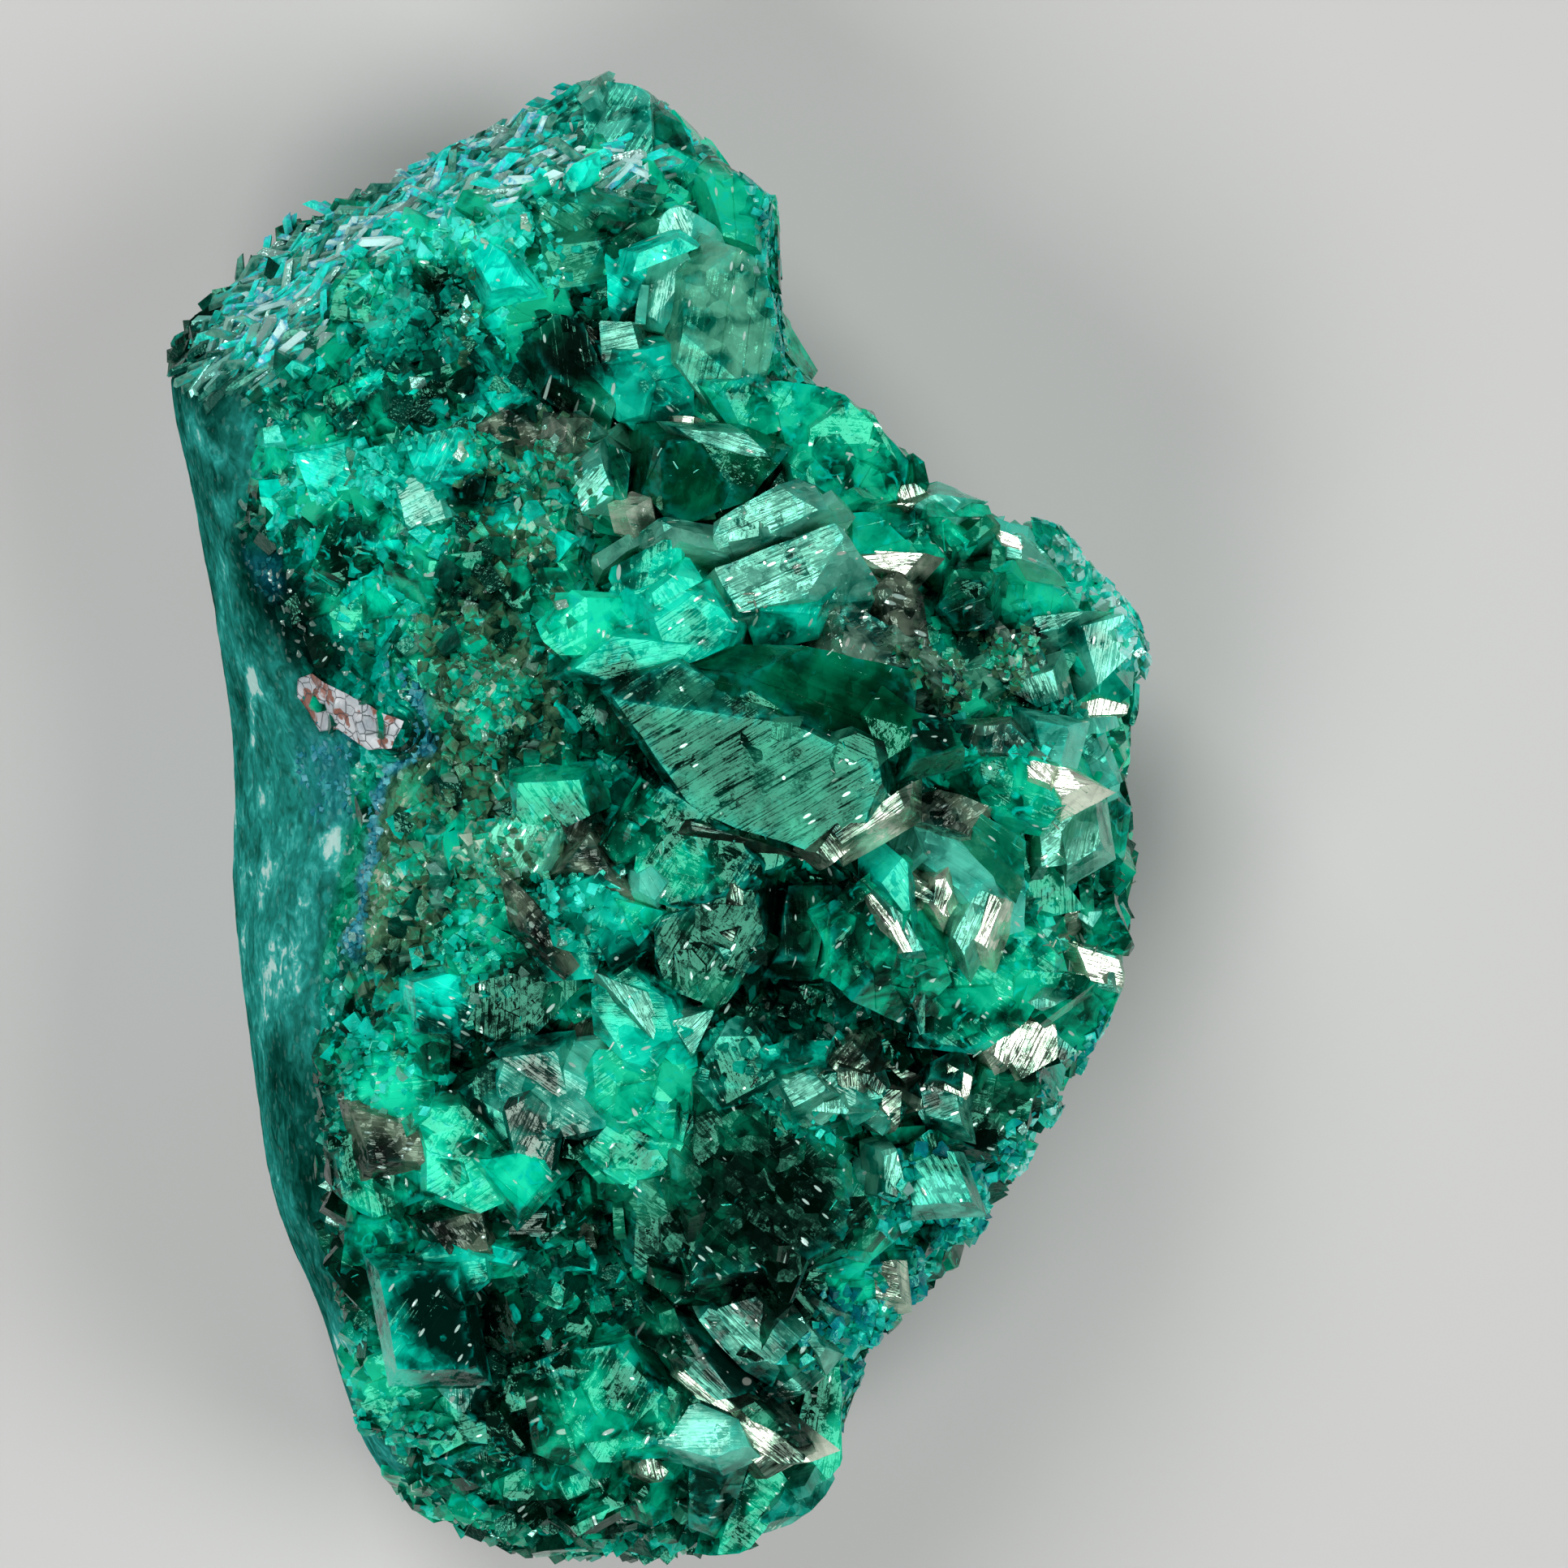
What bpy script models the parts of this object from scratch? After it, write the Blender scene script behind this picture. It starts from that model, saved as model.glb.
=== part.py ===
"""Rough dioptase cluster, lying on its broken back with the crystals up.

Units are metres and +Z is up. The stone rests on the flat break at z = 0 and
the middle of its footprint is the origin. Its long axis runs along Y.

The outlines are drawn on a square sheet that is seen from straight above. The
sheet is 1932 units on a side, x to the right and y down, and one unit is
SHEET_UNIT metres at the height DATUM_Z. The sheet is seen from EYE_HEIGHT
above that datum, so what stands nearer the eye is drawn larger.
"""

import math
import random

import bmesh
import bpy
from mathutils import Vector

# Driving dimensions
STONE_LENGTH = 0.050
SHEET_LENGTH = 1931
SHEET_UNIT = STONE_LENGTH / SHEET_LENGTH
SHEET_CENTRE = (966, 966)
EYE_HEIGHT = 0.160
EYE_X = 0.0043
EYE_Y = 0.0015
DATUM_Z = 0.016

# Body of the stone
FOOT_SCALE = 0.72
HEEL_SCALE = 0.90
HEEL_Z = 0.0016
FOOT_CENTRE = (830, 1030)
WAIST_SHARE = 0.45
WAIST_BULGE = 0.0006
SHOULDER_SHARE = 0.42
CROWN_SHARE = 0.82
CROWN_ENDS = (330, 1740)
BODY_DROP = 0.0005
BODY_RINGS = 7
ROUGHNESS = 0.00022
SEED = 27

# Crystals
STOCK_SIZE = 0.060
BLOCK_DEPTH = 0.0050
SIDE_FLARE = 12
FLARE_SPREAD = 8
OUTLINE_GROWTH = 1.12
STEEPEST_LEAN = 38
STEEP_DEPTH = 0.0034
NICK_TILT = (32, 48)
NICK_SHARE = (0.62, 0.80)
RHOMB_TILT = 51.0
PRISM_SIDES = 6

# Crystals on the broken flank, in rows from the apex clockwise to the foot
FLANK_STATIONS = range(19, 44)
FLANK_ROWS = (-0.62, -0.05, 0.42, 0.80)
FLANK_LEAN = (62, 88)
FLANK_TURN = 26
FLANK_RADIUS = (1.0, 1.75)
FLANK_LENGTH = 5.0
FLANK_PROUD = 0.0001
FLANK_SHARE = 0.62
FLANK_LEVEL_SPREAD = 0.10
FLANK_PROUD_SPREAD = 0.0004
FLANK_LOW_LEAN = 12
FLANK_HIGH_LEAN = 8

CLEAN_DISTANCE = 0.000002

STONE_COLOUR = (0.0, 0.17, 0.10, 1.0)
STONE_ROUGHNESS = 0.18
STONE_IOR = 1.66

# Height of the crest line of the crystal side: sheet y, sheet x and height in mm
CREST = (
    (90, 745, 11.6),
    (300, 730, 16.0),
    (600, 850, 18.4),
    (900, 930, 20.0),
    (1250, 890, 19.0),
    (1600, 810, 17.0),
    (1940, 790, 12.5),
)
CREST_REACH = 450
CREST_DROP_RIGHT = 0.0050
CREST_DROP_LEFT = 0.0026

# Stations round the stone, clockwise from its lower left corner: the widest
# point (sheet x, y, height in mm) and the rim of the crystal side above it
STATIONS = (
    ((462, 1830, 6.0), (520, 1800, 13.0)),
    ((432, 1745, 6.0), (462, 1730, 14.0)),
    ((410, 1630, 5.0), (428, 1640, 15.0)),
    ((352, 1535, 4.0), (412, 1530, 15.5)),
    ((313, 1430, 4.0), (398, 1430, 16.0)),
    ((303, 1310, 3.5), (388, 1310, 16.0)),
    ((276, 1180, 3.5), (398, 1180, 16.4)),
    ((268, 1050, 3.5), (434, 1050, 16.5)),
    ((275, 930, 3.5), (434, 945, 16.5)),
    ((262, 810, 4.0), (368, 830, 16.5)),
    ((243, 680, 4.5), (312, 700, 16.0)),
    ((222, 570, 5.0), (294, 600, 15.5)),
    ((190, 475, 5.5), (262, 475, 15.0)),
    ((214, 403, 5.8), (300, 440, 15.4)),
    ((300, 316, 6.0), (352, 432, 15.6)),
    ((372, 253, 6.5), (404, 378, 16.0)),
    ((508, 202, 7.5), (470, 322, 16.4)),
    ((600, 160, 8.2), (562, 268, 16.4)),
    ((690, 103, 9.0), (652, 222, 16.0)),
    ((760, 91, 9.4), (722, 210, 15.6)),
    ((832, 138, 9.4), (790, 228, 15.2)),
    ((888, 203, 9.4), (842, 290, 15.6)),
    ((948, 243, 9.4), (882, 330, 15.8)),
    ((942, 330, 9.4), (886, 400, 16.2)),
    ((968, 450, 9.5), (900, 480, 16.5)),
    ((1040, 488, 9.4), (980, 550, 16.5)),
    ((1108, 552, 9.2), (1050, 620, 16.5)),
    ((1190, 614, 9.0), (1130, 690, 16.0)),
    ((1300, 651, 9.0), (1230, 720, 15.6)),
    ((1380, 735, 8.8), (1300, 780, 15.0)),
    ((1418, 815, 8.6), (1330, 840, 15.0)),
    ((1390, 920, 8.6), (1310, 920, 15.4)),
    ((1406, 1050, 8.6), (1320, 1040, 15.4)),
    ((1393, 1190, 8.6), (1300, 1160, 15.5)),
    ((1335, 1320, 8.5), (1250, 1270, 15.5)),
    ((1270, 1430, 8.4), (1180, 1390, 15.4)),
    ((1183, 1558, 8.2), (1100, 1500, 15.0)),
    ((1082, 1655, 8.0), (1020, 1600, 15.0)),
    ((1035, 1730, 8.0), (970, 1700, 14.6)),
    ((1036, 1830, 8.0), (960, 1790, 14.0)),
    ((940, 1905, 7.6), (880, 1840, 13.4)),
    ((820, 1928, 7.0), (780, 1860, 13.0)),
    ((690, 1932, 6.6), (680, 1870, 13.0)),
    ((570, 1898, 6.2), (590, 1850, 13.0)),
)

# Crystals with one broad face up: name, how far and which way the face leans
# (degrees from level, compass degrees from +X), how far its middle stands above
# the crest surface in mm, and the outline of the face on the sheet
BROAD_CRYSTALS = (
    ("apex_left", 25, 110, 0.5, ((642, 152), (716, 100), (740, 102), (726, 165), (662, 214))),
    ("apex_face", 14, 80, 0.9, ((722, 102), (795, 110), (800, 200), (728, 206))),
    ("apex_right", 35, 20, 0.2, ((800, 121), (835, 143), (860, 196), (818, 184))),
    ("grey_shelf", 17, 115, 0.8, ((612, 226), (700, 200), (734, 222), (730, 246), (622, 246))),
    ("pale_face", 17, 115, 0.8, ((797, 281), (833, 254), (872, 274), (855, 303), (803, 303))),
    ("pale_column", 15, 150, 0.8, ((799, 305), (838, 306), (855, 338), (815, 398), (786, 392))),
    ("olive_plate", 15, 20, 1.5,
     ((853, 337), (880, 300), (936, 330), (951, 396), (938, 459), (880, 479), (846, 440))),
    ("north_bump", 20, 45, 0.7,
     ((872, 215), (905, 200), (938, 218), (952, 246), (938, 295), (895, 285))),
    ("turquoise_prism", 15, 200, 0.5, ((748, 315), (797, 305), (790, 360), (754, 394))),
    ("dark_recess", 20, 250, 0.2, ((671, 305), (757, 300), (745, 345), (680, 352))),
    ("dark_band", 18, 265, 0.5, ((651, 250), (735, 245), (796, 258), (770, 295), (660, 298))),
    ("west_prism", 15, 180, 0.7, ((465, 345), (492, 333), (512, 416), (488, 432), (463, 396))),
    ("teal_slope", 15, 300, 0.1, ((752, 442), (829, 434), (857, 479), (800, 540), (765, 505))),
    ("green_step", 20, 330, 0.6, ((876, 479), (944, 467), (967, 495), (955, 531), (904, 522))),
    ("dark_smooth", 14, 290, 1.2,
     ((817, 552), (888, 548), (951, 570), (916, 612), (837, 643), (808, 610))),
    ("fan_crystal", 22, 40, 0.8,
     ((967, 478), (1046, 491), (1090, 530), (1128, 566), (1129, 596), (1050, 622), (990, 580))),
    ("ribbon_upper", 18, 115, 1.8,
     ((888, 640), (975, 590), (995, 600), (1011, 625), (944, 657), (888, 672))),
    ("ribbon_left", 17, 115, 1.4, ((783, 655), (820, 637), (884, 641), (884, 675), (813, 677))),
    ("ribbon_lower", 17, 115, 1.9,
     ((852, 715), (886, 702), (1008, 643), (1030, 657), (1060, 704), (1000, 730), (902, 750))),
    ("side_plate", 20, 60, 0.9, ((1016, 637), (1080, 633), (1127, 681), (1048, 679))),
    ("brown_face", 30, 20, 1.2, ((1064, 704), (1098, 714), (1140, 775), (1165, 808), (1120, 792))),
    ("speckled_ramp", 24, 80, 1.4,
     ((900, 796), (957, 774), (1050, 738), (1099, 780), (1165, 822), (1048, 815))),
    ("mint_lobe", 15, 220, 1.4,
     ((800, 740), (866, 728), (898, 772), (890, 795), (840, 815), (795, 800))),
    ("mint_wing", 18, 200, 1.0,
     ((747, 740), (775, 697), (830, 705), (850, 745), (790, 790), (750, 780))),
    ("deep_lens", 12, 50, 2.1,
     ((850, 827), (921, 799), (993, 803), (1115, 831), (1111, 886), (1095, 926), (1016, 914), (921, 871))),
    ("great_face", 18, 232, 1.8,
     ((762, 866), (850, 841), (945, 886), (1060, 934), (1070, 985), (1020, 1045), (910, 1010), (842, 985))),
    ("lens_foot", 20, 220, 0.8, ((845, 1000), (940, 1002), (968, 1054), (936, 1086), (900, 1045))),
    ("crystal_a_left", 24, 190, 1.6,
     ((1018, 1124), (1084, 1085), (1107, 1171), (1090, 1262), (1010, 1189))),
    ("crystal_a_right", 28, 350, 1.4,
     ((1086, 1092), (1114, 1131), (1137, 1171), (1137, 1264), (1095, 1262), (1107, 1171))),
    ("crystal_b", 13, 320, 1.2,
     ((1137, 1150), (1200, 1145), (1271, 1153), (1300, 1189), (1250, 1262), (1207, 1289), (1143, 1281))),
    ("ridge_face", 20, 45, 1.3,
     ((1118, 1010), (1186, 1024), (1257, 1078), (1261, 1139), (1200, 1105), (1121, 1046))),
    ("brown_silver", 19, 115, 1.1, ((1118, 989), (1143, 971), (1204, 989), (1186, 1021), (1121, 1008))),
    ("east_silver", 22, 350, 0.9,
     ((1286, 1021), (1346, 992), (1357, 1031), (1346, 1056), (1289, 1064))),
    ("east_green", 38, 0, -0.4, ((1350, 985), (1385, 975), (1400, 1014), (1398, 1060), (1352, 1035))),
    ("round_green", 12, 250, 1.6,
     ((1186, 939), (1214, 924), (1290, 930), (1312, 981), (1279, 1020), (1243, 1018), (1204, 985))),
    ("east_grey", 25, 10, 0.9, ((1314, 899), (1361, 889), (1386, 958), (1361, 968), (1311, 940))),
    ("lobe_dark", 15, 100, 0.7, ((1132, 632), (1186, 631), (1207, 664), (1160, 685), (1134, 660))),
    ("lobe_back", 35, 70, 0.3, ((1190, 630), (1272, 652), (1298, 686), (1221, 664))),
    ("lobe_pale", 19, 115, 1.1, ((1218, 655), (1257, 657), (1286, 682), (1270, 694), (1240, 676))),
    ("lobe_rim_north", 35, 45, 0.3, ((1293, 655), (1333, 670), (1368, 720), (1325, 700))),
    ("lobe_rim_east", 40, 10, 0.0, ((1372, 720), (1408, 774), (1414, 810), (1382, 790), (1350, 742))),
    ("dark_square", 20, 250, 0.9, ((1157, 753), (1182, 714), (1223, 719), (1218, 774), (1179, 774))),
    ("lobe_green", 18, 60, 0.9, ((1223, 703), (1293, 710), (1325, 753), (1257, 764), (1221, 765))),
    ("sparkle_face", 12, 30, 0.7, ((1225, 789), (1271, 781), (1289, 817), (1243, 839))),
    ("striped_lobe", 25, 10, 1.0,
     ((1323, 803), (1350, 774), (1379, 771), (1390, 806), (1361, 835), (1339, 835))),
    ("east_edge", 38, 0, -0.2, ((1325, 1131), (1392, 1116), (1388, 1174), (1350, 1171))),
    ("silver_band", 22, 350, 0.7,
     ((1296, 1171), (1346, 1171), (1388, 1183), (1386, 1222), (1357, 1214), (1304, 1185))),
    ("south_east_green", 34, 335, 0.3,
     ((1300, 1205), (1385, 1226), (1352, 1282), (1318, 1302), (1289, 1260))),
    ("white_cracked", 19, 350, 1.1, ((1211, 1285), (1261, 1255), (1275, 1296), (1236, 1321))),
    ("dark_wedge", 26, 320, 0.7,
     ((1214, 1324), (1282, 1328), (1276, 1381), (1229, 1432), (1171, 1437), (1175, 1371))),
    ("textured_silver", 19, 235, 0.9,
     ((1121, 1349), (1135, 1331), (1182, 1339), (1182, 1374), (1143, 1385))),
    ("crusted_crystal", 14, 250, 1.1,
     ((794, 1010), (821, 979), (893, 1026), (930, 1068), (928, 1092), (861, 1117),
      (814, 1109), (790, 1070))),
    ("teal_crystal", 15, 200, 1.0,
     ((675, 1101), (727, 1082), (766, 1117), (786, 1165), (727, 1181), (675, 1149))),
    ("dark_slab", 15, 250, 0.7, ((814, 1137), (925, 1103), (938, 1180), (885, 1236), (814, 1208))),
    ("mint_crystal", 15, 230, 1.1,
     ((734, 1224), (766, 1204), (821, 1236), (837, 1290), (766, 1299), (736, 1275))),
    ("green_cube", 12, 120, 1.2, ((738, 1299), (833, 1299), (837, 1354), (758, 1386), (719, 1339))),
    ("lower_cube", 18, 250, 1.3,
     ((719, 1426), (758, 1386), (825, 1354), (841, 1394), (814, 1457), (746, 1461))),
    ("grey_topped", 15, 200, 1.0,
     ((616, 1315), (683, 1297), (740, 1300), (746, 1382), (679, 1396), (620, 1351))),
    ("west_round", 16, 210, 0.8,
     ((541, 1367), (596, 1331), (631, 1363), (631, 1410), (572, 1418), (537, 1394))),
    ("bright_wing", 15, 240, 1.1,
     ((529, 1400), (608, 1410), (667, 1426), (671, 1454), (584, 1493), (525, 1480))),
    ("bright_west", 18, 190, 1.1,
     ((426, 1323), (485, 1264), (525, 1276), (533, 1374), (493, 1394), (434, 1355))),
    ("west_corner", 22, 215, 0.9,
     ((398, 1406), (438, 1402), (513, 1430), (517, 1473), (454, 1497), (406, 1465))),
    ("stony_face", 17, 235, 0.8,
     ((833, 1343), (877, 1307), (908, 1311), (928, 1331), (901, 1354), (853, 1362))),
    ("teal_ramp", 18, 30, 0.6, ((869, 1275), (936, 1267), (975, 1330), (990, 1385), (900, 1330))),
    ("dark_twin_left", 18, 240, 1.2, ((750, 1466), (821, 1458), (853, 1521), (829, 1577), (774, 1553))),
    ("dark_twin_right", 12, 40, 1.7,
     ((835, 1400), (916, 1345), (980, 1391), (1037, 1438), (1037, 1514), (980, 1545),
      (870, 1560), (850, 1500))),
    ("bright_plate", 25, 340, 0.8,
     ((1039, 1442), (1090, 1458), (1114, 1521), (1074, 1553), (1023, 1537))),
    ("south_plate", 28, 325, 0.6,
     ((1012, 1561), (1067, 1553), (1100, 1601), (1104, 1624), (1074, 1652), (1028, 1640))),
    ("metal_face", 19, 235, 1.5, ((861, 1624), (885, 1612), (956, 1684), (940, 1711), (916, 1691))),
    ("metal_dark", 16, 300, 1.1,
     ((821, 1636), (845, 1644), (956, 1747), (948, 1755), (885, 1715), (833, 1672))),
    ("striated_dark", 20, 20, 1.3,
     ((893, 1601), (1007, 1565), (1021, 1624), (1011, 1664), (980, 1688), (928, 1644))),
    ("south_bright", 19, 350, 1.5, ((901, 1731), (936, 1747), (993, 1792), (948, 1818), (916, 1782))),
    ("south_tip", 30, 300, 1.0,
     ((972, 1842), (1018, 1818), (1028, 1843), (980, 1883), (922, 1905), (905, 1898))),
    ("olive_tip", 22, 265, 1.4, ((853, 1806), (920, 1800), (905, 1850), (880, 1896), (853, 1885))),
    ("south_green", 15, 200, 0.9,
     ((695, 1676), (766, 1664), (821, 1735), (808, 1790), (738, 1794), (691, 1735))),
    ("smooth_west", 20, 190, 0.7,
     ((430, 1506), (497, 1506), (503, 1553), (473, 1577), (440, 1620), (422, 1595))),
    ("small_block", 18, 250, 0.9,
     ((517, 1553), (548, 1537), (592, 1553), (596, 1581), (564, 1604), (525, 1577))),
    ("south_west", 20, 225, 0.8,
     ((440, 1711), (548, 1719), (620, 1735), (620, 1770), (548, 1782), (497, 1784), (452, 1757))),
    ("south_ridge", 20, 200, 0.8, ((635, 1695), (695, 1676), (734, 1755), (714, 1814), (675, 1794))),
    ("south_foot", 25, 250, 0.8, ((532, 1806), (604, 1782), (659, 1806), (675, 1850), (596, 1836))),
    ("striated_west", 12, 160, 0.6, ((572, 1098), (651, 1090), (659, 1121), (643, 1177), (580, 1177))),
    ("dark_slope", 15, 260, 0.3, ((576, 1177), (695, 1137), (707, 1216), (635, 1290), (580, 1256))),
    ("green_ledge", 14, 120, 0.7,
     ((588, 1058), (620, 1015), (687, 1015), (727, 1038), (687, 1070), (616, 1086))),
    ("green_tongue", 16, 200, 0.8, ((556, 832), (615, 848), (635, 891), (595, 919), (560, 875))),
    ("green_knob", 10, 60, 0.9, ((690, 733), (745, 733), (745, 788), (714, 792), (686, 761))),
    ("turquoise_knob", 15, 150, 0.7, ((433, 554), (488, 554), (508, 586), (480, 614), (441, 586))),
    ("turquoise_ledge", 15, 60, 0.7, ((504, 542), (575, 527), (595, 566), (548, 598), (520, 582))),
    ("vertical_grey", 19, 235, 0.7, ((706, 578), (734, 560), (754, 606), (746, 633), (718, 629))),
)

# Pointed crystals: name, sheet x and y of the tip, height of the tip above the
# crest surface in mm, lean and direction of the long axis in degrees, roll in
# degrees, radius and length in mm
POINTED_CRYSTALS = (
    ("point_apex", 700, 150, 1.2, 35, 100, 10, 1.5, 6.0),
    ("point_north_east", 955, 262, 0.2, 60, 25, 35, 1.3, 5.5),
    ("point_east_strip", 962, 415, -0.2, 62, 5, 20, 1.5, 6.0),
    ("point_fan_a", 1082, 545, 1.0, 45, 45, 5, 1.8, 6.0),
    ("point_fan_b", 1128, 604, 0.6, 55, 40, 30, 1.0, 4.5),
    ("point_lobe_top", 1160, 622, 1.0, 40, 80, 15, 1.1, 5.0),
    ("point_lobe_a", 1345, 690, 0.2, 55, 50, 0, 1.4, 6.0),
    ("point_lobe_b", 1408, 790, -0.4, 62, 10, 25, 1.4, 6.0),
    ("point_lobe_c", 1395, 855, -0.2, 60, 335, 40, 1.1, 5.0),
    ("point_east_a", 1380, 950, -0.6, 58, 5, 10, 1.3, 6.0),
    ("point_east_b", 1400, 1075, -0.8, 60, 355, 35, 1.5, 6.0),
    ("point_east_c", 1392, 1150, -0.8, 62, 350, 5, 1.3, 6.0),
    ("point_east_d", 1362, 1265, -0.8, 60, 335, 20, 1.5, 6.0),
    ("point_east_e", 1300, 1360, -0.6, 58, 325, 45, 1.5, 6.0),
    ("point_east_f", 1262, 1440, -0.8, 60, 325, 15, 1.2, 5.5),
    ("point_east_g", 1205, 1515, -0.6, 58, 320, 30, 1.2, 5.5),
    ("point_south_a", 1130, 1600, -0.8, 58, 318, 5, 1.2, 5.5),
    ("point_south_b", 1050, 1665, -0.4, 55, 325, 25, 1.2, 5.0),
    ("point_cluster_a", 1040, 1330, 1.3, 25, 240, 12, 0.75, 4.5),
    ("point_cluster_b", 1078, 1322, 1.4, 28, 60, 40, 0.65, 4.5),
    ("point_cluster_c", 1100, 1375, 1.5, 20, 350, 5, 0.60, 4.5),
    ("point_cluster_d", 1165, 1312, 1.0, 22, 120, 30, 0.70, 4.5),
    ("point_cluster_e", 1100, 1445, 1.1, 30, 200, 20, 0.80, 4.5),
    ("point_cluster_f", 1150, 1440, 0.9, 25, 20, 50, 0.85, 4.5),
    ("point_cluster_g", 985, 1340, 1.2, 25, 150, 15, 0.75, 4.5),
    ("point_centre", 1006, 1135, 0.8, 25, 180, 20, 1.0, 5.0),
    ("point_mirror_a", 1136, 1094, 1.5, 18, 20, 10, 0.60, 4.5),
    ("point_mirror_b", 1162, 1100, 1.6, 18, 60, 35, 0.60, 4.5),
    ("point_mirror_c", 1196, 1130, 1.6, 20, 350, 0, 0.75, 4.5),
    ("point_glint", 771, 629, 1.3, 15, 150, 22, 0.70, 3.5),
    ("point_lobe_glint", 1305, 868, 1.0, 20, 10, 12, 0.60, 3.5),
    ("point_west_a", 556, 1235, 0.9, 35, 200, 0, 0.90, 4.5),
    ("point_west_b", 628, 1478, 0.9, 30, 260, 25, 0.90, 4.5),
    ("point_west_c", 470, 1660, 0.7, 35, 180, 10, 1.0, 5.0),
    ("point_south_c", 860, 1762, 1.1, 25, 250, 30, 1.0, 5.0),
    ("point_south_d", 805, 1880, 0.8, 50, 270, 15, 1.2, 5.0),
    ("point_south_e", 715, 1880, 0.8, 50, 265, 40, 1.2, 5.0),
    ("point_north_a", 590, 320, 0.9, 25, 240, 15, 0.85, 4.5),
    ("point_north_b", 545, 290, 0.9, 35, 130, 35, 0.90, 4.5),
    ("point_pit_rim", 700, 515, 0.9, 28, 80, 5, 0.80, 4.5),
)


def clear_scene():
    """Remove every object that the file opened with."""
    for item in list(bpy.data.objects):
        bpy.data.objects.remove(item, do_unlink=True)


def place(sheet_x, sheet_y, height):
    """Return the point at a height that is drawn at this place on the sheet."""
    unit = SHEET_UNIT * (EYE_HEIGHT + DATUM_Z - height) / EYE_HEIGHT
    x = EYE_X + (sheet_x - SHEET_CENTRE[0]) * unit
    y = EYE_Y + (SHEET_CENTRE[1] - sheet_y) * unit
    return Vector((x, y, height))


def crest(sheet_y):
    """Return the sheet x and the height of the crest line at this sheet y."""
    rows = CREST
    if sheet_y <= rows[0][0]:
        return rows[0][1], rows[0][2] / 1000
    for low, high in zip(rows, rows[1:]):
        if sheet_y <= high[0]:
            share = (sheet_y - low[0]) / (high[0] - low[0])
            across = low[1] + share * (high[1] - low[1])
            return across, (low[2] + share * (high[2] - low[2])) / 1000
    return rows[-1][1], rows[-1][2] / 1000


def crest_surface(sheet_x, sheet_y):
    """Return the height of the smooth surface that the crystals stand on."""
    middle, height = crest(sheet_y)
    reach = (sheet_x - middle) / CREST_REACH
    drop = CREST_DROP_RIGHT if reach > 0 else CREST_DROP_LEFT
    return height - drop * reach * reach


def under_crest(sheet_x, sheet_y):
    """Return the point of the body below the crest surface at this place."""
    return place(sheet_x, sheet_y, crest_surface(sheet_x, sheet_y) - BODY_DROP)


def body_mesh():
    """Loft the body through its foot, its widest section, its rim and its crown."""
    rng = random.Random(SEED)
    rings = [[] for _ in range(BODY_RINGS)]
    for (wide_x, wide_y, wide_z), (rim_x, rim_y, rim_z) in STATIONS:
        widest = place(wide_x, wide_y, wide_z / 1000)
        rim = place(rim_x, rim_y, rim_z / 1000)
        centre = place(FOOT_CENTRE[0], FOOT_CENTRE[1], 0.0)
        foot = centre.lerp(Vector((widest.x, widest.y, 0.0)), FOOT_SCALE)
        heel = centre.lerp(Vector((widest.x, widest.y, 0.0)), HEEL_SCALE)
        heel.z = HEEL_Z
        waist = widest.lerp(rim, WAIST_SHARE)
        outward = Vector((widest.x - centre.x, widest.y - centre.y, 0.0)).normalized()
        waist += outward * WAIST_BULGE
        middle, _ = crest(rim_y)
        shoulder_x = rim_x + (middle - rim_x) * SHOULDER_SHARE
        crown_x = rim_x + (middle - rim_x) * CROWN_SHARE
        inner_y = min(max(rim_y, CROWN_ENDS[0]), CROWN_ENDS[1])
        shoulder_y = rim_y + (inner_y - rim_y) * SHOULDER_SHARE
        crown_y = rim_y + (inner_y - rim_y) * CROWN_SHARE
        shoulder = under_crest(shoulder_x, shoulder_y)
        crown = under_crest(crown_x, crown_y)
        for ring, point in zip(rings, (foot, heel, widest, waist, rim, shoulder, crown)):
            ring.append(point)
    for ring in rings[1:]:
        for point in ring:
            for axis in range(3):
                point[axis] += rng.uniform(-ROUGHNESS, ROUGHNESS)
    body = bmesh.new()
    loops = [[body.verts.new(point) for point in ring] for ring in rings]
    count = len(STATIONS)
    for lower, upper in zip(loops, loops[1:]):
        for index in range(count):
            following = (index + 1) % count
            body.faces.new((lower[index], upper[index], upper[following], lower[following]))
    body.faces.new(loops[0])
    body.faces.new(loops[-1])
    bmesh.ops.triangulate(body, faces=body.faces[:])
    bmesh.ops.recalc_face_normals(body, faces=body.faces[:])
    return body


def cut_stock(centre, planes):
    """Cut a block of stock by planes, each a point on it and its outward normal."""
    stock = bmesh.new()
    bmesh.ops.create_cube(stock, size=STOCK_SIZE)
    bmesh.ops.translate(stock, verts=stock.verts[:], vec=centre)
    for point, normal in planes:
        geometry = stock.verts[:] + stock.edges[:] + stock.faces[:]
        bmesh.ops.bisect_plane(
            stock, geom=geometry, plane_co=point, plane_no=normal, clear_outer=True
        )
        bmesh.ops.holes_fill(stock, edges=stock.edges[:])
    bmesh.ops.recalc_face_normals(stock, faces=stock.faces[:])
    return stock


def leaning(lean, direction):
    """Return the unit vector that leans this far from +Z towards a compass angle."""
    tilt = math.radians(lean)
    turn = math.radians(direction)
    level = math.sin(tilt)
    return Vector((level * math.cos(turn), level * math.sin(turn), math.cos(tilt)))


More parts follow.
